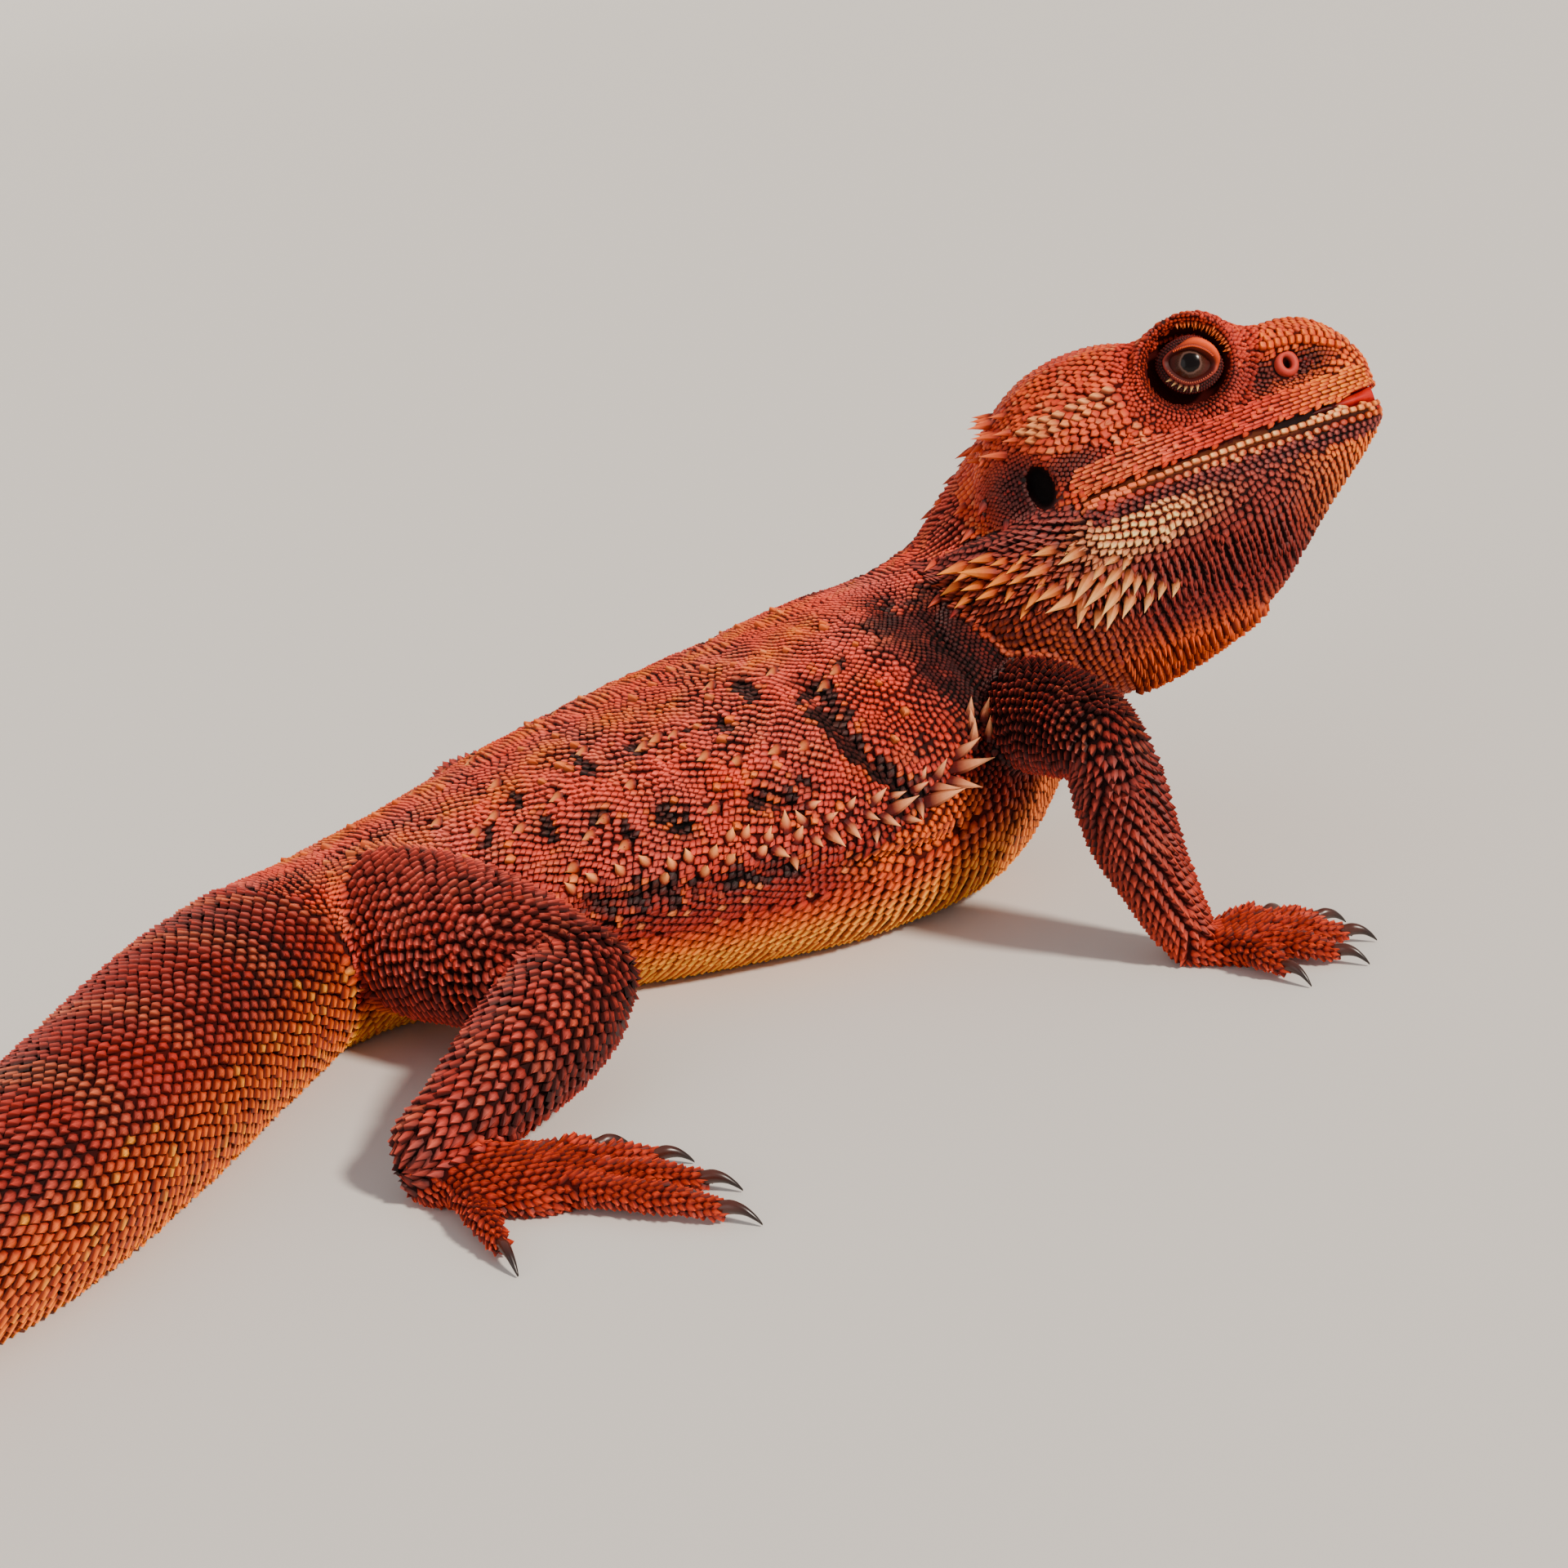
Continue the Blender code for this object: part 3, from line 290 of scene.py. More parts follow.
HEAD_AXES = head_frame()


def head_points(places):
    """World points of places given as back, left and up in the head's frame."""
    return SNOUT + np.asarray(places, float) @ HEAD_AXES


def head_places(points):
    """Places in the head's frame of points of the world."""
    return (points - SNOUT) @ HEAD_AXES.T


def head_halves(points):
    """Back, out and up of points in the head's frame, with its two sides folded onto one."""
    back, out, up = head_places(points).T
    return back, np.abs(out), up


def column(table, number, back):
    """A column of the skull's or throat's table, at distances back from the snout."""
    return np.interp(back, [row[0] for row in table], [row[number] for row in table])


def head_ways(ways):
    """World directions of ways given in the head's frame."""
    return unit(np.asarray(ways, float) @ HEAD_AXES)


def skull_half(places, count):
    """Half profiles of the skull from the midline to the lip: rows of back, out and up."""
    rows = []
    for back, top, brow_w, brow_h, cheek_w, cheek_h, lip_w in through(SKULL, places):
        keys = [(0, top), (brow_w * 0.55, (top + brow_h) / 2 + 0.15), (brow_w, brow_h), (cheek_w, cheek_h),
            (lip_w, LIP_GAP + 0.4), (lip_w * 0.94, LIP_GAP)]
        half = through(keys, np.linspace(0, 5, count))
        half[:, 1] = np.maximum(half[:, 1], LIP_GAP)
        rows.append(np.column_stack((np.full(count, back), half)))
    return np.array(rows)


def throat_half(places, count):
    """Half profiles of the jaw and throat from the lip down to the midline."""
    rows = []
    for back, lip_b, lip_w, mid_w, mid_b, bottom in through(THROAT, places):
        keys = [(lip_w * 0.93, lip_b), (lip_w, lip_b - 0.6), (mid_w, mid_b),
            (mid_w * 0.86, (bottom + mid_b) / 2), (mid_w * 0.5, bottom * 0.96), (0, bottom)]
        half = through(keys, np.linspace(0, 5, count))
        half[:, 1] = np.minimum(half[:, 1], lip_b)
        rows.append(np.column_stack((np.full(count, back), half)))
    return np.array(rows)


def closed_head_rings(halves, middle_first):
    """Closed rings of a form of the head from its half profiles."""
    rings = []
    for half in halves:
        other = half[::-1] * (1, -1, 1)
        if middle_first:
            ring = np.concatenate((half, [half[-1] * (1, 0, 1)], other[:-1]))
        else:
            ring = np.concatenate(([half[0] * (1, 0, 1)], half, other[1:]))
        rings.append(head_points(ring))
    return np.array(rings)


def heading_of(foot):
    """Start, end, heading and left of a palm or sole on the floor plan."""
    start, end = np.array(foot["start"]), np.array(foot["end"])
    ahead = unit(end - start)
    return start, end, ahead, np.array((-ahead[1], ahead[0]))


def digit_line(foot, digit):
    """Root and direction of a digit on the floor plan, and its length."""
    start, end, ahead, left = heading_of(foot)
    mirror = -1 if foot["left"] else 1
    along, across, turn, length = digit
    root = start + (end - start) * along + left * (across * foot["width"] * mirror)
    angle = math.radians(turn * mirror)
    return root, ahead * math.cos(angle) + left * math.sin(angle), length


def palm_keys(foot):
    """Rows of a palm or sole, as those of a trunk."""
    start, end = heading_of(foot)[:2]
    keys = []
    for share, wide, tall in PALM_PROFILE:
        at = start + (end - start) * share
        height = foot["height"] * tall
        keys.append((at[0], at[1], height * 0.62, foot["width"] * wide, height * 0.75, height))
    return keys


def digit_rings(foot, digit):
    """Rings of a toe from inside the palm to the claw."""
    count, sides = 26, 24
    root, way, length = digit_line(foot, digit)
    keys = [(*(root + way * length * share), height, radius) for share, height, radius in DIGIT_PROFILE]
    rows = through(keys, np.linspace(0, len(keys) - 1, count))
    along = np.tile(np.array((*way, 0.0)), (count, 1))
    return round_rings(rows, along, (0, 0, 1), sides)


# Meshes


def new_mesh(name, points, faces):
    """A mesh of points in millimetres and triangles, made in bulk."""
    faces = np.asarray(faces, np.int32)
    mesh = bpy.data.meshes.new(name)
    mesh.vertices.add(len(points))
    mesh.vertices.foreach_set("co", (np.asarray(points) * MM).astype(np.float32).ravel())
    mesh.loops.add(faces.size)
    mesh.loops.foreach_set("vertex_index", faces.ravel())
    mesh.polygons.add(len(faces))
    mesh.polygons.foreach_set("loop_start", np.arange(0, faces.size, 3, dtype=np.int32))
    mesh.update(calc_edges=True)
    mesh.validate()
    return mesh


def new_object(name, data):
    made = bpy.data.objects.new(name, data)
    bpy.context.scene.collection.objects.link(made)
    return made


def set_tint(mesh, colours):
    """Stores a colour at each point."""
    layer = mesh.color_attributes.new("tint", "FLOAT_COLOR", "POINT")
    values = np.ones((len(colours), 4), np.float32)
    values[:, :3] = np.clip(colours, 0, 1)
    layer.data.foreach_set("color", values.ravel())
    mesh.color_attributes.active_color = layer


def grid_faces(count, sides, base=0):
    """Triangles between closed rings of equal count."""
    i, j = np.meshgrid(np.arange(count - 1), np.arange(sides), indexing="ij")
    k = (j + 1) % sides
    a, b = base + i * sides + j, base + i * sides + k
    c, d = base + (i + 1) * sides + k, base + (i + 1) * sides + j
    return np.concatenate((np.stack((a, b, c), -1).reshape(-1, 3), np.stack((a, c, d), -1).reshape(-1, 3)))


def closed_loft(rings):
    """Points and triangles of a closed form through rings, capped at both ends."""
    rings = np.asarray(rings)
    count, sides = rings.shape[:2]
    points = np.concatenate((rings.reshape(-1, 3), [rings[0].mean(0), rings[-1].mean(0)]))
    j = np.arange(sides)
    k = (j + 1) % sides
    first, last = np.full(sides, len(points) - 2), np.full(sides, len(points) - 1)
    end = (count - 1) * sides
    caps = np.concatenate((np.stack((first, k, j), -1), np.stack((last, end + j, end + k), -1)))
    return points, np.concatenate((grid_faces(count, sides), caps))


def join_forms(forms):
    """Points and triangles of several forms as one."""
    points, faces, base = [], [], 0
    for form_points, form_faces in forms:
        points.append(form_points)
        faces.append(form_faces + base)
        base += len(form_points)
    return np.concatenate(points), np.concatenate(faces)


def outward(obj):
    """Turns all faces of a closed form outward."""
    work = bmesh.new()
    work.from_mesh(obj.data)
    bmesh.ops.recalc_face_normals(work, faces=work.faces)
    work.to_mesh(obj.data)
    work.free()
    return obj


def painted(name, points, faces, colours):
    """A smooth object with a colour at each point."""
    mesh = new_mesh(name, points, faces)
    set_tint(mesh, colours)
    mesh.shade_smooth()
    return new_object(name, mesh)


def tree_of(points):
    """A search tree of points."""
    tree = KDTree(len(points))
    for i, point in enumerate(points):
        tree.insert(Vector(point), i)
    tree.balance()
    return tree


def applied(obj):
    """Replaces an object's mesh by what its modifiers make of it."""
    graph = bpy.context.evaluated_depsgraph_get()
    mesh = bpy.data.meshes.new_from_object(obj.evaluated_get(graph))
    obj.modifiers.clear()
    obj.data = mesh
    return obj


# The skin

VOXEL = 0.72
SKIN_DEPTH = 0.42
SHRINK_STEP, GROW_STEP = 0.5, -0.52
FULL_TURN = np.linspace(0, 2 * math.pi, 73)[:-1]


def flesh_forms():
    """All closed forms that the skin wraps."""
    places = np.linspace(0, TAIL_ROWS + 12, 300)
    forms = [closed_loft(body_points(body_keys(), places, FULL_TURN))]
    forms.append(closed_loft(closed_head_rings(skull_half(np.linspace(0, 15, 76), 30), True)))
    forms.append(closed_loft(closed_head_rings(throat_half(np.linspace(0, 15, 76), 30), False)))
    for keys in (UPPER_ARM_R, FOREARM_R, UPPER_ARM_L, FOREARM_L):
        forms.append(closed_loft(limb_rings(keys, ARM_HINT)))
    for keys in (THIGH_R, SHANK_R, THIGH_L, SHANK_L):
        forms.append(closed_loft(limb_rings(keys, LEG_HINT)))
    for foot, digits in FEET.values():
        keys = palm_keys(foot)
        forms.append(closed_loft(body_points(keys, np.linspace(0, 5, 24), FULL_TURN[::3])))
        for digit in digits:
            forms.append(closed_loft(digit_rings(foot, digit)))
    return forms


def relax(points, edges, turns, keep_size=True):
    """Evens out a mesh's points, in pairs of steps that shrink it and grow it back, or in shrinking ones."""
    count = np.bincount(edges.ravel(), minlength=len(points)).astype(float)[:, None]
    for turn in range(turns * 2 if keep_size else turns):
        total = np.zeros_like(points)
        for axis in range(3):
            total[:, axis] = np.bincount(edges[:, 0], points[edges[:, 1], axis], len(points))
            total[:, axis] += np.bincount(edges[:, 1], points[edges[:, 0], axis], len(points))
        step = GROW_STEP if keep_size and turn % 2 else SHRINK_STEP
        points = points + step * (total / np.maximum(count, 1) - points)
    return points


def mesh_arrays(mesh):
    points = np.zeros(len(mesh.vertices) * 3, np.float32)
    mesh.vertices.foreach_get("co", points)
    edges = np.zeros(len(mesh.edges) * 2, np.int32)
    mesh.edges.foreach_get("vertices", edges)
    return points.reshape(-1, 3).astype(float) / MM, edges.reshape(-1, 2)


def mesh_normals(mesh):
    normals = np.zeros(len(mesh.vertices) * 3, np.float32)
    mesh.vertices.foreach_get("normal", normals)
    return normals.reshape(-1, 3).astype(float)


def put_points(mesh, points):
    mesh.vertices.foreach_set("co", (points * MM).astype(np.float32).ravel())
    mesh.update()


def refine_head(mesh):
    """Splits the faces of the head once more, for lips, sockets and ears."""
    work = bmesh.new()
    work.from_mesh(mesh)
    points = np.array([v.co for v in work.verts]) / MM
    back, out, up = head_places(points).T
    fine = (back > -3) & (back < 53) & (up > -10) & (np.abs(out) < 24) & (up < 24)
    edges = [e for e in work.edges if fine[e.verts[0].index] and fine[e.verts[1].index]]
    bmesh.ops.subdivide_edges(work, edges=edges, cuts=1, use_grid_fill=True, smooth=0.0)
    bmesh.ops.triangulate(work, faces=[f for f in work.faces if len(f.verts) > 4])
    work.to_mesh(mesh)
    work.free()


def distance_to_line(points, line):
    """Distance of each point to a polyline, and how far along it the nearest place is, from 0 to 1."""
    best, share = np.full(len(points), 1e9), np.zeros(len(points))
    line = np.asarray(line, float)
    steps = np.linalg.norm(np.diff(line, axis=0), axis=1)
    run = np.concatenate(([0], np.cumsum(steps)))
    for i in range(len(line) - 1):
        way = line[i + 1] - line[i]
        t = np.clip(((points - line[i]) @ way) / max(way @ way, 1e-9), 0, 1)
        far = np.linalg.norm(points - line[i] - t[:, None] * way, axis=1)
        nearer = far < best
        best[nearer] = far[nearer]
        share[nearer] = ((run[i] + t * steps[i]) / run[-1])[nearer]
    return best, share


def trunk_line(keys, sign):
    """A line on the trunk through places given as trunk row and degrees down from the back line."""
    keys = np.array(keys, float)
    fine = through(keys, np.linspace(0, len(keys) - 1, 6 * len(keys))) if len(keys) > 2 else keys
    return on_trunk(fine, sign)


# Folds and dark bars of the skin on each flank: places as trunk row and degrees down from the back line,
# depth and half width. Those with a depth below 0 stand up as a ridge.
FOLDS = [(((7.15, 29), (7.2, 39), (7.2, 48), (7.28, 60), (7.35, 69), (7.43, 78), (7.55, 87)), 1.1, 1.25),
    (((6.05, 57), (6.22, 63), (6.38, 66), (6.48, 72)), 1.2, 1.15),
    (((5.18, 54), (5.3, 60), (5.4, 66)), 0.9, 1.0), (((6.43, 18), (6.5, 24), (6.52, 30)), 0.45, 0.9),
    (((7.75, 30), (7.82, 33)), 0.35, 0.7), (((5.25, 21), (5.25, 27), (5.25, 33)), 0.5, 0.75),
    (((6.12, 30), (6.18, 36)), 0.35, 0.65), (((4.65, 45), (4.68, 54)), 0.4, 0.7),
    (((4.75, 54), (4.82, 57), (4.93, 63)), 0.5, 0.75), (((4.12, 39), (4.15, 45), (4.12, 54)), 0.4, 0.75),
    (((6.58, 60), (6.72, 66)), 0.45, 0.65), (((4.75, 18), (4.8, 27), (4.88, 33)), 0.35, 0.7),
    (((5.82, 27), (5.82, 31)), 0.3, 0.55), (((3.9, 21), (3.98, 33)), 0.3, 0.6),
    (((3.48, 33), (3.42, 45)), 0.3, 0.65), (((9.15, 18), (8.83, 27)), 0.5, 0.9),
    (((3.9, 82), (4.8, 85), (5.7, 88), (6.5, 90)), 0.8, 1.1),
    (((6.75, 96), (7.25, 101), (7.75, 106), (8.1, 104)), 1.2, 0.9),
    (((6.85, 91), (7.3, 96), (7.75, 99)), -0.8, 1.2),
    (((9.7, 30), (9.2, 50), (8.9, 72), (8.6, 88)), 1.0, 1.3),
    (((10.3, 30), (9.9, 55), (9.5, 78)), 0.8, 1.2), (((9.4, 40), (9.05, 60), (8.75, 80)), -0.7, 1.2)]

SOCKET_LONG, SOCKET_TALL, SOCKET_FLOOR = 5.8, 5.6, 9.0

# Bumps and hollows of the head: the axis they move the skin along, 1 for outward and 2 for up, and how far,
# then their centre and radii. They are the hollow before the eye and its rear, the canthus and its top, the
# dip of the snout's bridge, the temple's ridge and the hollow under it, the ear's hollow, the jaw's bulge,
# the ridge over the mouth's corner and the dip under the lower lip.
HEAD_BUMPS = [(1, -2.3, (9.6, 8.0, 6.4), (6.0, 3.5, 2.2)), (1, -1.5, (15.2, 10.6, 7.6), (3.2, 3.5, 2.8)),
    (1, 1.1, (10.6, 7.4, 10.6), (6.5, 2.6, 1.2)), (2, 0.5, (12.5, 6.6, 12.6), (6.0, 2.0, 1.4)),
    (2, -0.8, (15.0, 0.0, 15.0), (6.0, 3.2, 3.0)), (1, 0.7, (37.0, 17.5, 12.0), (10.0, 4.0, 1.9)),
    (1, -0.9, (38.0, 19.0, 6.6), (8.0, 3.0, 1.9)), (1, -1.9, (50.0, 18.5, 4.5), (4.5, 5.0, 5.0)),
    (1, 1.2, (34.0, 20.0, -6.3), (9.0, 5.0, 2.9)), (1, 0.4, (42.0, 20.5, 1.4), (5.0, 4.0, 1.6)),
    (1, -0.7, (22.0, 14.0, -2.6), (14.0, 6.0, 0.9))]


def off_eye(back, up):
    """Squared distance of places of the head from the eye's centre, where the socket's edge is at 1."""
    return ((back - EYE[0]) / SOCKET_LONG) ** 2 + ((up - EYE[2]) / SOCKET_TALL) ** 2


def off_ear(back, up):
    """Squared distance of places of the head from the ear's centre, where its edge is at 1."""
    return ((back - EAR[0]) / EAR_LONG) ** 2 + ((up - EAR[2]) / EAR_TALL) ** 2


def in_hollows(back, out, up, eye_reach, eye_out, ear_reach):
    """Which places of the head lie in an eye socket, an ear or a nostril."""
    eye = (off_eye(back, up) < eye_reach) & (out > eye_out)
    ear = (off_ear(back, up) < ear_reach) & (out > 10)
    nostril = ((back - NOSTRIL[0]) ** 2 + (up - NOSTRIL[2]) ** 2 < 4) & (out > 4)
    return eye | ear | nostril


def sculpt_head(points):
    """Eye sockets, canthus, lips, ears and cheeks, as moves in the head's own frame."""
    place = head_places(points)
    back, out, up = place.T
    sign, out = np.sign(out), np.abs(out)
    near = (back > -4) & (back < 62) & (up > -14) & (up < 26) & (out < 26)
    ring = np.sqrt(off_eye(back, up))
    above, ahead = smooth(9.0, 16.0, up), smooth(25.0, 18.0, back)
    rim = bell(ring - 1.17, 0.14 + 0.06 * ahead) * smooth(4.5, 9.0, out)
    moved = [back, out + rim * (0.45 + 0.95 * above + 0.6 * ahead), up + rim * 0.5 * above]
    for axis, height, centre, radii in HEAD_BUMPS:
        far = sum(((v - c) / r) ** 2 for v, c, r in zip(moved, centre, radii))
        moved[axis] = moved[axis] + height * np.exp(-far)
    back, out, up = moved
    mouth = smooth(15, 7, back)
    above_lip = 0.35 * mouth * bell(up - 0.5, 0.8)
    up = up - above_lip + 0.45 * mouth * bell(up + 2.2, 1.2)
    pit = SOCKET_FLOOR + 1.7 * smooth(0.62, 0.9, ring) + 12 * smooth(0.9, 1.09, ring)
    out = np.where((ring < 1.09) & (out > 6.5), np.minimum(out, pit), out)
    ear = np.sqrt(off_ear(back, up))
    out = out - np.where(out > 10, EAR_DEEP * (1 - smooth(0.55, 1.15, ear)), 0)
    place[near] = np.column_stack((back, sign * out, up))[near]
    return head_points(place)


# The line where the lips meet, from the snout back, and the crease that it runs into.
LIP_CREASE = [(42.0, 20.6, -0.6), (44.0, 21.2, -2.4), (46.0, 21.9, -4.9), (47.6, 22.6, -7.4)]


def lip_line():
    back = np.linspace(9.0, 40.0, 24)
    out, up = column(SKULL, UPPER_LIP_WIDTH, back), column(THROAT, LOWER_LIP_HEIGHT, back)
    return np.concatenate((np.column_stack((back, out + 0.1, up / 2)), LIP_CREASE))


def crease(points, normals, line, depth, half):
    """Sinks the skin along a line, or lifts it where depth is below 0, fading to the line's ends."""
    far, share = distance_to_line(points, line)
    fade = smooth(0, 0.12, share) * smooth(0, 0.12, 1 - share) * 0.75 + 0.25
    return points - normals * (depth * fade * bell(far, half))[:, None]


def press_folds(points, normals):
    """Moves points on the trunk as the folds move the skin."""
    for sign in (1, -1):
        for keys, depth, half in FOLDS:
            points = crease(points, normals, trunk_line(keys, sign), depth, half)
    return points


def press_head(points, normals):
    return sculpt_head(points)


def make_skin():
    """The whole animal's skin, one mesh, inside the solids by the scales' depth."""
    points, faces = join_forms(flesh_forms())
    skin = new_object("skin", new_mesh("skin", points, faces))
    outward(skin)
    change = skin.modifiers.new("one", "REMESH")
    change.mode = "VOXEL"
    change.voxel_size = VOXEL * MM
    applied(skin)
    points, edges = mesh_arrays(skin.data)
    put_points(skin.data, relax(points, edges, 4))
    refine_head(skin.data)
    points, edges = mesh_arrays(skin.data)
    points = relax(points, edges, 2)
    points = sculpt_head(points)
    put_points(skin.data, points)
    normals = mesh_normals(skin.data)
    for sign in (1, -1):
        line = lip_line() * (1, sign, 1)
        points = crease(points, normals, head_points(line), 1.1, 0.42)
    points = press_folds(points, normals)
    points = points - normals * SKIN_DEPTH
    points = relax(points, edges, 1, keep_size=False)
    put_points(skin.data, on_floor(points))
    return skin


class Ground:
    """The skin as what scales stand on."""

    def __init__(self, skin):
        points, _ = mesh_arrays(skin.data)
        self.corners = [tuple(f.vertices) for f in skin.data.polygons]
        self.tree = BVHTree.FromPolygons([Vector(p) for p in points], self.corners)
        self.normals = mesh_normals(skin.data)

    def settle(self, points, reach):
        """Nearest places on the skin, their smooth normals, and which of them are within reach."""
        places, normals = np.array(points, float), np.zeros((len(points), 3))
        held = np.zeros(len(points), bool)
        for i, point in enumerate(points):
            place, _, face, _ = self.tree.find_nearest(Vector(point), reach)
            if place is not None:
                places[i] = place
                normals[i] = self.normals[list(self.corners[face])].mean(0)
                held[i] = True
        return places, unit(normals), held

    def seen(self, points, ways):
        """Places where lines from points along ways meet the skin."""
        places, held = np.array(points, float), np.zeros(len(points), bool)
        for i, (point, way) in enumerate(zip(points, ways)):
            place = self.tree.ray_cast(Vector(point), Vector(way))[0]
            if place is not None:
                places[i] = place
                held[i] = True
        return places, held


# Scales


def form_of(outline, levels, even=False):
    """One scale's shape in unit sizes. Its tip is at +X and its keel at +Z. Each level gives its shrink along
    and across, its height at the front and at the tip, its shift to the tip, its painted light and its share
    of the tip's colour. The painted light is painted shade near the base, where the grooves between scales
    lie, and a painted highlight above 1 at the top."""
    outline = np.array(outline, float)
    sides = len(outline)
    points, light, tip = [], [], []
    for long, wide, front, rear, shift, painted_light, tipped in levels:
        slope = (outline[:, 0] + 0.5) / 1.1
        height = front + (rear - front) * slope
        points.append(np.column_stack((outline[:, 0] * long + shift, outline[:, 1] * wide, height)))
        light.append(np.full(sides, painted_light))
        tip.append(np.full(sides, tipped) if even else tipped * np.clip(slope * 1.3, 0, 1))
    faces = grid_faces(len(levels), sides)
    top = (len(levels) - 1) * sides
    fan = [(top, top + j, top + j + 1) for j in range(1, sides - 1)]
    base = [(0, j + 1, j) for j in range(1, sides - 1)]
    return dict(points=np.concatenate(points), light=np.concatenate(light), tip=np.concatenate(tip),
        faces=np.concatenate((faces, fan, base)))


def oval(sides, power=1.0):
    """An oval outline, squarer for a power below 1."""
    angles = np.arange(sides) * 2 * math.pi / sides + math.pi / sides
    c, s = np.cos(angles), np.sin(angles)
    return np.column_stack((np.sign(c) * np.abs(c) ** power, np.sign(s) * np.abs(s) ** power)) * 0.5


RHOMB = [(-0.5, 0), (-0.2, 0.46), (0.18, 0.44), (0.62, 0), (0.18, -0.44), (-0.2, -0.46)]
BROAD = [(-0.5, 0), (-0.32, 0.45), (0.24, 0.46), (0.68, 0), (0.24, -0.46), (-0.32, -0.45)]
SHARP = [(-0.5, 0), (-0.26, 0.45), (0.18, 0.42), (0.86, 0), (0.18, -0.42), (-0.26, -0.45)]
# In each level the sixth number is painted light: low at the base as painted shade and above 1 at the top as a
# painted highlight.
FORMS = {
    "plate": form_of(RHOMB, [(1.03, 1.03, -0.5, -0.2, 0, 0.06, 0), (0.98, 0.96, -0.1, 0.72, 0, 0.6, 0.3),
        (0.66, 0.34, 0.45, 1.1, 0.09, 1.1, 0.95)]),
    "shield": form_of(BROAD, [(1.03, 1.03, -0.5, -0.25, 0, 0.06, 0), (0.98, 0.96, 0.0, 0.66, 0, 0.62, 0.3),
        (0.7, 0.4, 0.42, 1.03, 0.09, 1.1, 1.0)]),
    "keel": form_of(SHARP, [(1.03, 1.03, -0.5, -0.1, 0, 0.06, 0), (0.98, 0.96, 0.0, 0.66, 0, 0.5, 0.2),
        (0.8, 0.12, 0.6, 1.18, 0.09, 1.15, 1.0)]),
    "grain": form_of(RHOMB, [(1.02, 1.02, -0.5, -0.4, 0, 0.1, 0), (0.94, 0.94, 0.25, 0.62, 0, 0.7, 0.2),
        (0.5, 0.42, 0.8, 1.0, 0.05, 1.12, 0.8)]),
    "bead": form_of(oval(8), [(1, 1, -0.5, -0.5, 0, 0.1, 0), (0.97, 0.97, 0.15, 0.3, 0, 0.62, 0.1),
        (0.74, 0.74, 0.68, 0.9, 0.02, 1.0, 0.5), (0.3, 0.3, 0.92, 1.08, 0.06, 1.12, 0.9)]),
    "block": form_of(oval(8, 0.55), [(1, 1, -0.5, -0.5, 0, 0.08, 0), (0.96, 0.96, 0.25, 0.62, 0, 0.68, 0.2),
        (0.68, 0.56, 0.72, 1.03, 0.04, 1.1, 0.85)]),
    "spine": form_of(oval(8, 1.2), [(1.12, 1.12, -0.2, -0.2, 0.0, 0.12, 0.0),
        (1.03, 1.03, 0.08, 0.08, 0.0, 0.45, 0.0), (0.9, 0.92, 0.24, 0.24, 0.02, 0.8, 0.25),
        (0.68, 0.72, 0.42, 0.42, 0.08, 0.95, 0.55), (0.42, 0.46, 0.62, 0.62, 0.18, 1.05, 0.85),
        (0.19, 0.21, 0.82, 0.82, 0.29, 1.12, 1.0), (0.02, 0.02, 1.0, 1.0, 0.4, 1.15, 1.0)], even=True),
    "strip": form_of(oval(8, 0.6), [(1, 1, -0.5, -0.5, 0, 0.06, 0), (0.99, 0.96, 0.1, 0.2, 0, 0.5, 0.3),
        (0.94, 0.42, 0.85, 1.0, 0.02, 1.12, 0.95)]),
}
SHARP_EDGE = math.radians(40)
# The size of one scale's patch on the map.
UV_PATCH = 0.003


class Sheet:
    """A patch of surface as rows of points, each row evened out. Channels past the third go along."""

    def __init__(self, rows):
        rows = np.asarray(rows, float)
        step = np.linalg.norm(np.diff(rows[..., :3], axis=1), axis=2)
        run = np.concatenate((np.zeros((len(rows), 1)), np.cumsum(step, axis=1)), axis=1)
        self.wide = run[:, -1]
        shares = np.linspace(0, 1, rows.shape[1])
        self.rows = np.empty_like(rows)
        for i in range(len(rows)):
            for channel in range(rows.shape[2]):
                self.rows[i, :, channel] = np.interp(shares * run[i, -1], run[i], rows[i, :, channel])
        gap = np.linalg.norm(np.diff(self.rows[..., :3], axis=0), axis=2).mean(1)
        self.run = np.concatenate(([0], np.cumsum(gap)))
        self.length = self.run[-1]

    def width_at(self, far):
        return np.interp(far, self.run, self.wide)

    def at(self, far, share):
        i = np.interp(far, self.run, np.arange(len(self.run)))
        j = np.clip(share, 0, 1) * (self.rows.shape[1] - 1)
        i0 = np.minimum(i.astype(int), len(self.run) - 2)
        j0 = np.minimum(j.astype(int), self.rows.shape[1] - 2)
        u, v = (i - i0)[:, None], (j - j0)[:, None]
        low = self.rows[i0, j0] * (1 - v) + self.rows[i0, j0 + 1] * v
        high = self.rows[i0 + 1, j0] * (1 - v) + self.rows[i0 + 1, j0 + 1] * v
        return low * (1 - u) + high * u

    def staggered(self, pitch, spacing, slant=0.0, skip_edge=False):
        """Places in staggered rows, as distance along and share across. Pitch and spacing are functions of
        the share along."""
        far, share, odd, at = [], [], 0, 0.2
        while at < self.length:
            step = spacing(at / self.length)
            wide = self.width_at(at)
            across = (np.arange(int(wide / step) + 2) + 0.5 * odd) * step
            if skip_edge and not odd:
                across = across[1:]
            across = across[across < wide]
            far.append(at + slant * across)
            share.append(across / wide)
            at += pitch(at / self.length)
            odd = 1 - odd
        far, share = np.concatenate(far), np.concatenate(share)
        inside = (far > 0) & (far < self.length)
        return far[inside], share[inside]


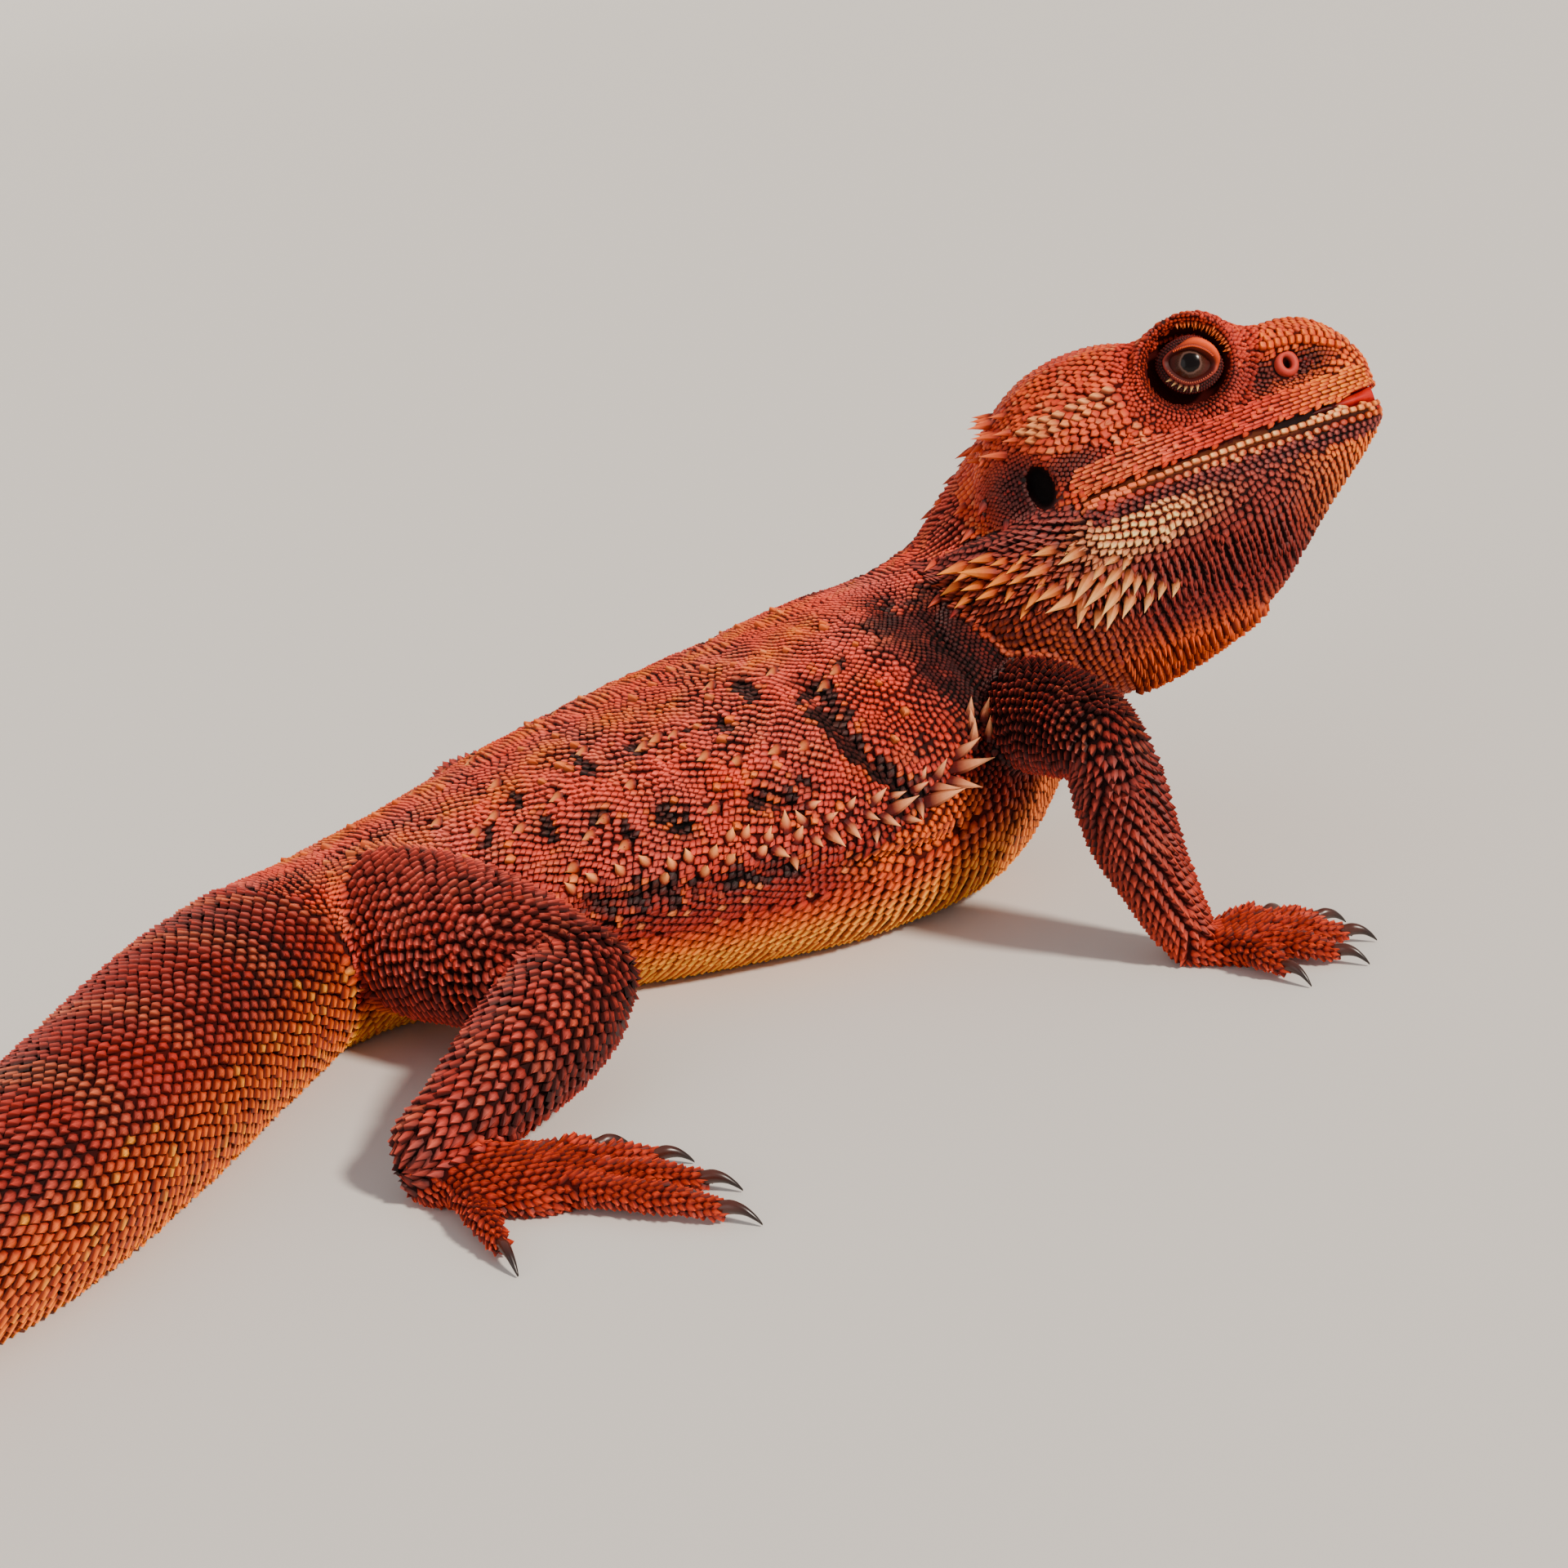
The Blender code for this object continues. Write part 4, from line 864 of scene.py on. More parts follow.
class Coat:
    """All scales that have been set, by piece, with a grid of cells to keep patches off each other."""

    CELL = 2.0
    # How close two scales may stand, as a share of their reaches: in one patch, and in two.
    OWN_GAP, OTHER_GAP = 0.34, 0.5
    REACH = 0.62

    def __init__(self, ground):
        self.ground = ground
        self.cells = {}
        self.batches = {}
        self.roots, self.tints = [], []
        self.draw = np.random.default_rng(7)

    def free(self, points, sizes, owner):
        """Which points lie clear of scales that another patch has set, and books them."""
        kept = np.zeros(len(points), bool)
        cells = np.floor(points / self.CELL).astype(int)
        for i, (point, size, cell) in enumerate(zip(points, sizes, cells)):
            x0, y0, z0 = cell
            clear = True
            for x in (x0 - 1, x0, x0 + 1):
                for y in (y0 - 1, y0, y0 + 1):
                    for z in (z0 - 1, z0, z0 + 1):
                        for other, reach, whose in self.cells.get((x, y, z), ()):
                            limit = (size + reach) * (self.OWN_GAP if whose == owner else self.OTHER_GAP)
                            if ((point - other) ** 2).sum() < limit * limit:
                                clear = False
            if clear:
                kept[i] = True
                self.cells.setdefault((x0, y0, z0), []).append((point, size, owner))
        return kept

    def put(self, piece, form, data):
        """Adds scales of one form to a piece, and their colours to those that the skin takes up."""
        self.batches.setdefault(piece, []).append((form, data))
        self.roots.append(data["roots"])
        self.tints.append(data["tints"])

    def add(self, piece, owner, form, roots, normals, ways, sizes, tilt, tints, tips, uvs):
        """Sets those scales of one form that are free. Sizes are length, width and height."""
        reach = np.minimum(sizes[:, 0], sizes[:, 1]) * self.REACH
        kept = self.free(roots, reach, owner)
        data = dict(roots=roots, normals=normals, ways=ways, sizes=sizes, tilt=tilt, tints=tints, tips=tips,
            uvs=uvs)
        self.put(piece, form, {k: v[kept] for k, v in data.items()})


def shaped(shape, data):
    """The points of scales of one form, by scale."""
    normals = data["normals"]
    ways = unit(data["ways"] - normals * (data["ways"] * normals).sum(1)[:, None])
    sides = np.cross(normals, ways)
    c, s = np.cos(data["tilt"])[:, None], np.sin(data["tilt"])[:, None]
    ahead, up = ways * c + normals * s, normals * c - ways * s
    length, width, height = (data["sizes"][:, k, None, None] for k in range(3))
    points = shape["points"][None]
    made = data["roots"][:, None] + ahead[:, None] * points[..., 0:1] * length
    made = made + sides[:, None] * points[..., 1:2] * width
    return made + up[:, None] * points[..., 2:3] * height


def shaded(shape, data):
    """The colours of these points, times each level's painted light: painted shade low on the scale and a
    painted highlight on its top.
    """
    tip = shape["tip"][None, :, None]
    colour = data["tints"][:, None] * (1 - tip) + data["tips"][:, None] * tip
    return colour * shape["light"][None, :, None]


def scale_mesh(name, batches):
    """One mesh of all scales of a piece, with their colours and small patches of the OFBake map."""
    points, faces, colours, places, base = [], [], [], [], 0
    every = np.concatenate([data["uvs"] for _, data in batches])
    low, high = every.min(0), every.max(0)
    for form, data in batches:
        shape = FORMS[form]
        count, each = len(data["roots"]), len(shape["points"])
        if not count:
            continue
        on_map = 0.004 + 0.992 * (data["uvs"] - low) / np.maximum(high - low, 0.01)
        place = on_map[:, None] + shape["points"][None, :, :2] * UV_PATCH
        points.append(shaped(shape, data).reshape(-1, 3))
        colours.append(shaded(shape, data).reshape(-1, 3))
        places.append(place.reshape(-1, 2))
        faces.append((shape["faces"][None] + (base + np.arange(count) * each)[:, None, None]).reshape(-1, 3))
        base += count * each
    points, faces = np.concatenate(points), np.concatenate(faces)
    mesh = new_mesh(name, on_floor(points), faces)
    set_tint(mesh, np.concatenate(colours))
    places = np.concatenate(places)
    layer = mesh.uv_layers.new(name="OFBake")
    corners = np.zeros(len(mesh.loops), np.int32)
    mesh.loops.foreach_get("vertex_index", corners)
    layer.uv.foreach_set("vector", places[corners].astype(np.float32).ravel())
    mesh.shade_smooth()
    mesh.set_sharp_from_angle(angle=SHARP_EDGE)
    return mesh


def swayed(sheet, far, share, sway):
    """Makes the rows of places on a sheet wavy by this many millimetres, but not at its edges."""
    points = sheet.at(far, share)[:, :3]
    edge = smooth(0, 0.06, share) * smooth(0, 0.06, 1 - share)
    far = np.clip(far + sway * ripple(points, 7.0, 91), 0.01, sheet.length - 0.01)
    return far, share + sway * edge * ripple(points, 6.0, 92) / sheet.width_at(far)


def lay(coat, piece, owner, sheet, pitch, spacing, style, slant=0.0, skip_edge=False, strip=(0, 1),
        mask=None, sway=0.0, press=None):
    """Covers a sheet with staggered scales. Style gives each scale's form, sizes, tilt and colours. Sway
    makes the rows wavy by this many millimetres."""
    far, share = sheet.staggered(pitch, spacing, slant, skip_edge)
    if sway:
        far, share = swayed(sheet, far, share, sway)
    rows = sheet.at(far, share)
    if mask is not None:
        inside = mask(rows)
        far, share, rows = far[inside], share[inside], rows[inside]
    if not len(far):
        return
    step = 0.4
    along = unit(sheet.at(far + step, share)[:, :3] - sheet.at(far - step, share)[:, :3])
    across = unit(sheet.at(far, share + 0.01)[:, :3] - sheet.at(far, share - 0.01)[:, :3])
    draw = coat.draw
    size = spacing(0.5)
    start = rows[:, :3] + (along + across) * draw.normal(0, 0.05 * size, len(far))[:, None]
    facing = np.cross(along, across)
    if press:
        normals = coat.ground.settle(start, 4.0)[1]
        facing *= np.sign((facing * normals).sum(1))[:, None]
        start = press(start, facing)
    roots, normals, held = coat.ground.settle(start, 1.8)
    facing *= np.sign((facing * normals).sum(1))[:, None]
    held &= (facing * normals).sum(1) > 0.15
    keys = dict(far=far / sheet.length, share=share, rows=rows, along=along, across=across,
        roots=roots, normals=normals)
    keys = {k: v[held] for k, v in keys.items()}
    count = len(keys["far"])
    if not count:
        return
    look = style(keys, draw)
    uvs = np.column_stack((keys["far"], strip[0] + (strip[1] - strip[0]) * keys["share"]))
    wobble = draw.normal(0, 0.07, count)[:, None]
    ways = unit(look["ways"] + keys["across"] * wobble)
    sizes = look["sizes"] * draw.uniform(0.88, 1.12, (count, 3))
    forms = np.array(look["forms"])
    for form in sorted(set(forms)):
        chosen = forms == form
        coat.add(piece, owner, form, keys["roots"][chosen], keys["normals"][chosen], ways[chosen],
            sizes[chosen], look["tilt"][chosen], look["tints"][chosen], look["tips"][chosen], uvs[chosen])


def sizes_of(count, length, width, height):
    """Rows of length, width and height."""
    return np.column_stack([np.broadcast_to(v, count) for v in (length, width, height)]).astype(float)


def varied(tints, draw, amount=0.12):
    """Colours that differ a little in light."""
    return tints * draw.uniform(1 - amount, 1 + amount, len(tints))[:, None]


# Gaps that are filled: nearest and farthest from a scale as a share of its width and in millimetres, the
# reach of a scale as a squared share of its half sizes, and the distance between two fillings.
GAP_NEAR, GAP_FAR, GAP_COVER, GAP_APART = 0.45, 4.0, 1.5, 0.7
FILL_SIZE = 0.95


def find_gaps(joined, points, chosen):
    """Points of the skin that no scale covers, each with the number of its nearest scale."""
    tree = tree_of(joined["roots"])
    ways, halves = unit(joined["ways"]), joined["sizes"][:, :2] * 0.5
    steps = [(x, y, z) for x in (-1, 0, 1) for y in (-1, 0, 1) for z in (-1, 0, 1)]
    added, found = {}, []
    for i in chosen:
        point = points[i]
        around = tree.find_n(Vector(point), 5)
        _, near, far = around[0]
        size = 2 * min(halves[near])
        if far < GAP_NEAR * size or far > GAP_FAR:
            continue
        covered = False
        for _, number, away in around:
            ahead = (point - joined["roots"][number]) @ ways[number]
            aside = away * away - ahead * ahead
            covered |= (ahead / halves[number, 0]) ** 2 + aside / halves[number, 1] ** 2 < GAP_COVER
        if covered:
            continue
        x, y, z = np.floor(point / Coat.CELL).astype(int)
        others = [other for a, b, c in steps for other in added.get((x + a, y + b, z + c), ())]
        reach = GAP_APART * size
        if any(((point - other) ** 2).sum() < reach * reach for other in others):
            continue
        added.setdefault((x, y, z), []).append(point)
        found.append((i, near))
    return np.array(found)


def fill_gaps(coat, skin):
    """Sets scales like their neighbours wherever the patches have left the skin bare."""
    every = [(piece, form, data) for piece, batches in coat.batches.items() for form, data in batches
        if piece != "spines" and len(data["roots"])]
    names = list(every[0][2])
    joined = {k: np.concatenate([data[k] for _, _, data in every]) for k in names}
    owner = np.concatenate([np.full(len(data["roots"]), i) for i, (_, _, data) in enumerate(every)])
    points, _ = mesh_arrays(skin.data)
    normals = mesh_normals(skin.data)
    chosen = np.flatnonzero(open_skin(points) & (points[:, 2] > 0.05))
    coat.draw.shuffle(chosen)
    found = find_gaps(joined, points, chosen)
    for number, (piece, form, _) in enumerate(every):
        mine = found[owner[found[:, 1]] == number]
        if not len(mine):
            continue
        data = {k: joined[k][mine[:, 1]].copy() for k in names}
        data["roots"], data["normals"] = points[mine[:, 0]], normals[mine[:, 0]]
        data["sizes"] = data["sizes"] * FILL_SIZE
        data["uvs"] = data["uvs"] + coat.draw.normal(0, 0.002, data["uvs"].shape)
        coat.put(piece, form, data)


def in_mouth(back, out, up):
    """Which places of the head lie behind the lips."""
    upper, lower = column(SKULL, UPPER_LIP_WIDTH, back), column(THROAT, LOWER_LIP_WIDTH, back)
    lip = np.where(up < -1.1, np.minimum(lower, upper), upper)
    return (back > 0) & (back < 44) & (up < 0.6) & (up > -3.0) & (out < lip - LIP_THICK)


def open_skin(points):
    """Which places of the skin carry scales: not the mouth, the eye sockets, the ears or the nostrils."""
    back, out, up = head_halves(points)
    crest = distance_to_line(np.column_stack((back, out, up)), lip_line())[0] < 0.3
    edge = column(THROAT, LOWER_LIP_HEIGHT, back)
    crest |= (np.abs(up - edge + 1.12) < 0.5) & (back > 2) & (back < 36) & (out > 2)
    return ~(in_mouth(back, out, up) | crest | in_hollows(back, out, up, 0.95, 6, 1.1))


# Styles of each part


def trunk_tints(keys):
    """The colours of the trunk: brick red with orange blotches, plum at the neck, and dark red to yellow down
    the belly, with a painted sheen along the back, painted bounce light on the belly's bottom and painted
    shadow of the beard in the neck's plum."""
    row, angle = keys["rows"][:, 3], np.degrees(keys["rows"][:, 4])
    points = keys["roots"]
    tint = mix(BRICK, MAROON, 0.5 + 0.45 * ripple(points, 9, 3))
    # Tips pinker and lighter toward the back line: painted sheen of light from above.
    tip = mix(SALMON, PINK, 0.45 + 0.5 * ripple(points, 14, 8) + 0.3 * smooth(50, 15, angle))
    tip = tip * (1.12 + 0.4 * smooth(64, 24, angle))[:, None]
    tip = mix(tip, TAN, 0.3 * smooth(0.2, 0.9, ripple(points, 5, 9)))
    tip = mix(tip, RED, 0.35 * smooth(48, 72, angle))
    low = smooth(76, 92, angle)
    tint = mix(tint, MAROON, 0.75 * low)
    tip = mix(tip, RED * 0.55, 0.95 * low)
    tint = mix(tint, BRICK, smooth(98, 108, angle))
    tip = mix(tip, ORANGE, smooth(103, 114, angle))
    tint = mix(tint, RUST, 0.9 * smooth(106, 118, angle))
    # Toward the belly's bottom the tips turn amber and yellow, their own colour, and are lifted above it as
    # painted light bounced up from the floor.
    tip = mix(tip, AMBER * 1.1, smooth(111, 119, angle))
    tip = mix(tip, mix(AMBER, YELLOW, 0.75) * 1.2, smooth(116, 126, angle))
    tint = mix(tint, ORANGE, 0.75 * smooth(114, 126, angle))
    chest = smooth(7.6, 8.6, row) * low
    tint, tip = mix(tint, MAROON, 0.6 * chest), mix(tip, RUST, 0.7 * chest)
    # The neck patch is dark plum: partly its own colour and partly painted shadow of the beard.
    ragged = 0.18 * ripple(points, 5, 10) + 0.1 * ripple(points, 2, 19)
    neck = smooth(8.15, 8.65, row + ragged) * smooth(14, 30, angle - 5 * (row - 9.5) + 40 * ragged)
    neck = neck * smooth(122, 98, angle)
    tint = mix(tint, PLUM * 0.5, 0.95 * neck)
    neck_plum_and_shadow = mix(PLUM, MAROON, 0.3 + 0.3 * ripple(points, 6, 17)) * 0.64
    tip = mix(tip, neck_plum_and_shadow, (0.9 + 0.08 * ripple(points, 3, 20)) * neck)
    return tint, tip, row, angle


BLOTCHES = [(7.6, 8), (6.9, 14), (6.3, 9), (5.7, 16), (5.2, 10), (4.5, 12), (3.9, 20), (3.3, 15), (2.6, 22),
    (2.0, 20), (1.2, 26)]


def on_trunk(places, sign):
    """World points of places given as trunk row and degrees down from the back line."""
    return np.array([body_points(TRUNK, t, np.array([math.radians(a) * sign]))[0, 0] for t, a in places])


def spots(points, places, half, sign):
    """How strongly each point belongs to one of the spots."""
    total = np.zeros(len(points))
    for centre in on_trunk(places, sign):
        total = np.maximum(total, np.exp(-(((points - centre) ** 2).sum(1) / half**2)))
    return total


def bar_dark_and_fold_shade(points):
    """How dark each point is from the folds and bars, from 0 to 1: the bars' own dark colour and painted shade
    in the folds.
    """
    dark = np.zeros(len(points))
    for sign in (1, -1):
        for keys, depth, half in FOLDS:
            if depth > 0:
                far, share = distance_to_line(points, trunk_line(keys, sign))
                ends = smooth(0, 0.15, share) * smooth(0, 0.15, 1 - share) * 0.6 + 0.4
                far = far * (1 + 0.42 * ripple(points, 2.4, 15))
                uneven = 0.72 + 0.35 * ripple(points, 5, 18) if len(keys) == 4 else 1
                strong = min(1, 0.7 + depth * 0.5) * uneven
                dark = np.maximum(dark, strong * ends * np.exp(-((far / (half * 1.5)) ** 4)))
    return dark


def back_style(keys, draw):
    tint, tip, row, angle = trunk_tints(keys)
    points, count = keys["roots"], len(keys["far"])
    sign = -1 if keys["rows"][0, 5] < 0 else 1
    glow = spots(points, BLOTCHES, 3.4, sign) * (0.65 + 0.35 * ripple(points, 3, 14))
    tint, tip = mix(tint, RUST, 0.8 * glow), mix(tip, AMBER, glow)
    # Darker in the bars and folds: the bars' own dark colour and painted shade in the folds.
    dark = bar_dark_and_fold_shade(points)
    edge = smooth(0.0, 0.08, dark) * smooth(0.3, 0.12, dark)
    tip = mix(tip, mix(ORANGE, AMBER, 0.3), 0.7 * edge * (ripple(points, 3, 16) > -0.1))
    dark = smooth(0.15, 0.6, dark)
    tint, tip = mix(tint, SHADE_AND_BAR_DARK, dark), mix(tip, SHADE_AND_BAR_DARK * 1.6, dark * 0.95)
    forms = np.full(count, "plate", dtype="<U8")
    sizes = sizes_of(count, 1.5, 1.18, 0.46)
    sizes *= (1 + 0.12 * ripple(points, 12, 12) - 0.12 * smooth(30, 8, angle))[:, None]
    big = (draw.random(count) < 0.012) & (angle < 84) & (row < 8.2) & (dark < 0.3)
    sizes[big] = np.array((1.8, 1.6, 0.85)) * draw.uniform(0.85, 1.15, big.sum())[:, None]
    tint[big], tip[big] = mix(tint[big], ORANGE, 0.4), mix(ORANGE, TAN, draw.random(big.sum()))
    ways = -keys["along"] + keys["across"] * (0.25 + 0.35 * smooth(20, 70, angle))[:, None]
    return dict(forms=forms, sizes=sizes, tilt=0.26 + 0.06 * ripple(points, 4, 13),
        tints=varied(tint, draw, 0.2), tips=varied(tip, draw, 0.2), ways=ways)


def neck_style(keys, draw):
    """Fine granules of the neck and shoulder."""
    tint, tip = trunk_tints(keys)[:2]
    count = len(keys["far"])
    # Darker in the bars and folds: the bars' own dark colour and painted shade in the folds.
    dark = bar_dark_and_fold_shade(keys["roots"])
    return dict(forms=np.full(count, "grain"), sizes=sizes_of(count, 1.0, 0.86, 0.4),
        tilt=np.full(count, 0.24), tints=varied(mix(tint, SHADE_AND_BAR_DARK, 0.6 * dark) * 0.7, draw),
        tips=varied(mix(tip, SHADE_AND_BAR_DARK, 0.5 * dark), draw, 0.35), ways=-keys["along"] + 0.4 * keys["across"])


def belly_style(keys, draw):
    tint, tip, row, angle = trunk_tints(keys)
    points, count = keys["roots"], len(keys["far"])
    # Darker in the bars and folds: the bars' own dark colour and painted shade in the folds.
    dark = bar_dark_and_fold_shade(points)
    tint, tip = mix(tint, SHADE_AND_BAR_DARK, dark), mix(tip, MAROON, dark)
    fold = smooth(6.6, 7.1, row) * smooth(8.3, 7.8, row) * smooth(112, 102, angle)
    tint, tip = mix(tint, RUST, 0.8 * fold), mix(tip, mix(ORANGE, AMBER, 0.3), fold)
    pale = (draw.random(count) < 0.08) & (angle < 106) & (row < 6.8)
    tip[pale] = mix(ORANGE, TAN, 0.7)
    grown = smooth(92, 112, angle)
    sizes = sizes_of(count, 1.55 + 0.65 * grown, 1.2 + 0.36 * grown, 0.52 + 0.06 * grown)
    sizes *= (1 - 0.3 * smooth(7.9, 8.8, row))[:, None]
    return dict(forms=np.where(angle > 104, "shield", "plate"), sizes=sizes, tilt=0.2 + 0.05 * grown,
        tints=varied(tint, draw), tips=varied(tip, draw), ways=-keys["along"] - 0.12 * keys["across"])


def tail_size(share):
    """The size of the tail's scales from its root to its tip."""
    return 0.62 + 1.08 * np.clip(1 - share, 0, 1) ** 0.8


def tail_style(keys, draw):
    count, share = len(keys["far"]), keys["far"]
    angle = np.degrees(keys["rows"][:, 4])
    points = keys["roots"]
    tint = mix(BRICK, MAROON, 0.6 + 0.4 * ripple(points, 16, 21))
    tip = mix(RED, PINK, 0.6 + 0.4 * ripple(points, 10, 22)) * 0.72
    side = smooth(58, 96, angle)
    tint, tip = mix(tint, BRICK, 0.7 * side), mix(tip, mix(ORANGE, AMBER, 0.4), side)
    pale = draw.random(count) < 0.14 * side
    tip[pale] = mix(AMBER, YELLOW, 0.6)
    under = smooth(112, 135, angle)
    tint, tip = mix(tint, RUST, under), mix(tip, AMBER, under)
    bars = 0.5 * smooth(0.5, 0.95, np.sin(keys["rows"][:, 3] * 2 * math.pi / 0.8 + ripple(points, 30, 23)))
    bars = bars * smooth(75, 45, angle)
    tip = mix(tip, mix(PINK, TAN, 0.6), bars)
    size = tail_size(share)
    return dict(forms=np.full(count, "keel"), sizes=sizes_of(count, size * 1.2, size * 1.02, size * 0.4),
        tilt=np.full(count, 0.22), tints=varied(tint, draw, 0.15), tips=varied(tip, draw, 0.15),
        ways=keys["along"])


def limb_style(size, bright, lift, height=0.42, hip=0.0):
    """A style of keeled scales that point down a limb. Hip is the share with the trunk's colours."""

    def style(keys, draw):
        count, points = len(keys["far"]), keys["roots"]
        top = smooth(-0.2, 0.8, keys["normals"][:, 2])
        tint = mix(MAROON * 0.4, BRICK, 0.08 + 0.08 * ripple(points, 9, 31) + 0.08 * top)
        tip = mix(PINK, RED, (0.25 if hip else 0.45) + 0.3 * ripple(points, 7, 32))
        strong = 1.05 + 0.5 * top if hip else 0.78
        tip = tip * (strong - (0.72 if hip else 0.3) * smooth(0.42, 0.58, keys["far"]))[:, None]
        tip = mix(tip, TAN, 0.16 * smooth(0.1, 0.9, ripple(points, 4, 33)) * top)
        under = smooth(0.3, 0.9, -keys["normals"][:, 2])
        tint, tip = mix(tint, RUST, 0.4 * under), mix(tip, RED, 0.5 * under)
        light = bright * (smooth(0.62, 1.0, keys["far"]) if bright < 0.7 else 1.0)
        tint, tip = mix(tint, BRICK, light), mix(tip, mix(RED, ORANGE, 0.3), light)
        if hip:
            near = smooth(hip, hip * 0.3, keys["far"] + 0.03 * ripple(points, 5, 35))
            tint = mix(mix(tint, mix(BRICK, MAROON, 0.6), 0.5 * top), mix(BRICK, MAROON, 0.5), near)
            tip = mix(tip, mix(SALMON, PINK, 0.6) * 1.15, near)
        forms = np.where(keys["normals"][:, 2] < -0.35, "plate", "keel")
        forms = np.where(keys["far"] < hip * (1 + 0.25 * ripple(points, 4, 36)), "shield", forms)
        return dict(forms=forms, sizes=sizes_of(count, size * 1.14, size * 1.04, size * height),
            tilt=lift + 0.06 * ripple(points, 5, 34), tints=varied(tint, draw, 0.25),
            tips=varied(tip, draw, 0.28), ways=keys["along"])

    return style


def head_tints(points):
    """The colours of the head's upper half."""
    back, out, up = head_halves(points)
    tint = mix(BRICK, RUST, 0.35 + 0.35 * ripple(points, 12, 41))
    tip = mix(SALMON, ORANGE, 0.5 + 0.4 * ripple(points, 8, 42))
    front = smooth(16, 3, back)
    tint, tip = mix(tint, RUST, 0.8 * front), mix(tip, mix(ORANGE, AMBER, 0.6) * 1.42, 0.85 * front)
    temple = np.exp(-(((back - 36) / 10) ** 2 + ((up - 10) / 5) ** 2)) * (out > 10)
    tint, tip = mix(tint, BRICK, 0.5 * temple), mix(tip, mix(SALMON, TAN, 0.4) * 0.86, 0.75 * temple)
    # Darker in the hollows round the ear and before the eye: the skin's own dark colour there and painted
    # shade in the hollows.
    dark = np.maximum(ear_hollow(back, out, up), lore_hollow(back, out, up))
    tint, tip = mix(tint, MAROON * 0.45, dark), mix(tip, mix(PLUM, MAROON, 0.5) * 0.9, dark)
    bare = np.exp(-(((back - 50.5) / 4.0) ** 2 + ((up + 0.6) / 2.2) ** 2)) * (out > 12)
    tint, tip = mix(tint, PLUM * 1.3, 0.8 * bare), mix(tip, srgb(150, 96, 90), 0.8 * bare)
    return tint, tip


def ear_hollow(back, out, up):
    """How far inside the dark hollow round the ear a place of the head lies."""
    hollow = np.exp(-((((back - 50) / 6.0) ** 2 + ((up - 4.0) / 5.5) ** 2) ** 2)) * (out > 9)
    trough = 0.9 * np.exp(-((((back - 42) / 5.5) ** 2 + ((up - 4.6) / 2.4) ** 2) ** 2)) * (out > 12)
    return np.maximum(hollow, trough)


def lore_hollow(back, out, up):
    """How far inside the dark hollow in front of the eye a place of the head lies."""
    lore = np.exp(-((((back - 9.5) / 6.2) ** 2 + ((up - 6.6) / 2.3) ** 2) ** 2)) * (out > 4)
    rear = np.exp(-((((back - 14.4) / 2.6) ** 2 + ((up - 6.8) / 3.0) ** 2) ** 2)) * (out > 6)
    return np.maximum(lore, 0.95 * rear)


def fine_zone(points):
    """Which places of the head carry the finest scales."""
    back, out, up = head_halves(points)
    corner = (back > 45.5) & (out > 12) & (np.abs(up + 0.5) < 2.8)
    return (ear_hollow(back, out, up) > 0.3) | (lore_hollow(back, out, up) > 0.35) | corner


def skull_style(keys, draw):
    points, count = keys["roots"], len(keys["far"])
    back, out, up = head_halves(points)
    tint, tip = head_tints(points)
    pale = (draw.random(count) < 0.22) & (out > 9) & (back > 27) & (ear_hollow(back, out, up) < 0.15)
    tip[pale] = mix(tip[pale], CREAM, 0.28)
    ruddy = draw.random(count) < 0.25
    tip[ruddy] = mix(tip[ruddy], BRICK, 0.5)
    forms = np.full(count, "grain", dtype="<U8")
    sizes = sizes_of(count, 1.3, 1.12, 0.4)
    crown = (out < 10) & (back > 16)
    forms[crown] = "block"
    sizes[crown] = sizes_of(crown.sum(), 1.4, 1.16, 0.42)
    down = -0.25 - 0.5 * smooth(8, 3, up)
    ways = head_ways(np.column_stack((np.ones(count), np.zeros(count), down)))
    return dict(forms=forms, sizes=sizes, tilt=0.12 + 0.05 * ripple(points, 3, 44),
        tints=varied(tint, draw, 0.18), tips=varied(tip, draw, 0.18), ways=ways)


def temple_style(keys, draw):
    """The large rough scales between eye and ear."""
    look = skull_style(keys, draw)
    count = len(keys["far"])
    grown = draw.uniform(0.85, 1.15, count)
    look["forms"] = np.where(draw.random(count) < 0.75, "shield", "block")
    look["sizes"] = sizes_of(count, 1.66 * grown, 1.36, 0.5)
    look["tilt"] = draw.uniform(0.1, 0.26, count)
    return look


def fine_style(keys, draw):
    look = skull_style(keys, draw)
    count = len(keys["far"])
    look["forms"] = np.full(count, "grain")
    look["sizes"] = sizes_of(count, 0.82, 0.72, 0.26)
    return look


def throat_tints(points):
    """The colours of the jaw, cheek and beard."""
    back, _, up = head_places(points).T
    tint = mix(PLUM, MAROON, smooth(-2, -7, up))
    tip = mix(mix(PINK, PLUM, 0.4), mix(RUST, MAROON, 0.5), smooth(-6, -13, up)) * 0.86
    bulge = np.exp(-((((back - 36) / 9.5) ** 2 + ((up + 6.3) / 2.7) ** 2) ** 1.5))
    tint, tip = mix(tint, RUST, 0.8 * bulge), mix(tip, mix(TAN, CREAM, 0.75) * 1.5, bulge)
    chin = smooth(18, 4, back)
    tint, tip = mix(tint, RUST, 0.9 * chin), mix(tip, AMBER, 0.9 * chin)
    deep = smooth(-10, -18, up) * smooth(8, 22, back)
    tint, tip = mix(tint, MAROON * 0.8, 0.9 * deep), mix(tip, mix(RUST, BRICK, 0.7) * 0.48, 0.94 * deep)
    fringe = smooth(-19, -26, up) * smooth(12, 20, back)
    tint, tip = mix(tint, RUST, fringe), mix(tip, ORANGE, fringe)
    rear = smooth(38, 50, back) * smooth(-2, -5, up)
    tint, tip = mix(tint, MAROON, 0.85 * rear), mix(tip, mix(RUST, AMBER, 0.1) * 0.6, 0.88 * rear)
    low_rear = rear * smooth(-12, -16, up)
    tint, tip = mix(tint, MAROON, 0.5 * low_rear), mix(tip, mix(RUST, TAN, 0.3), 0.7 * low_rear)
    return tint, tip


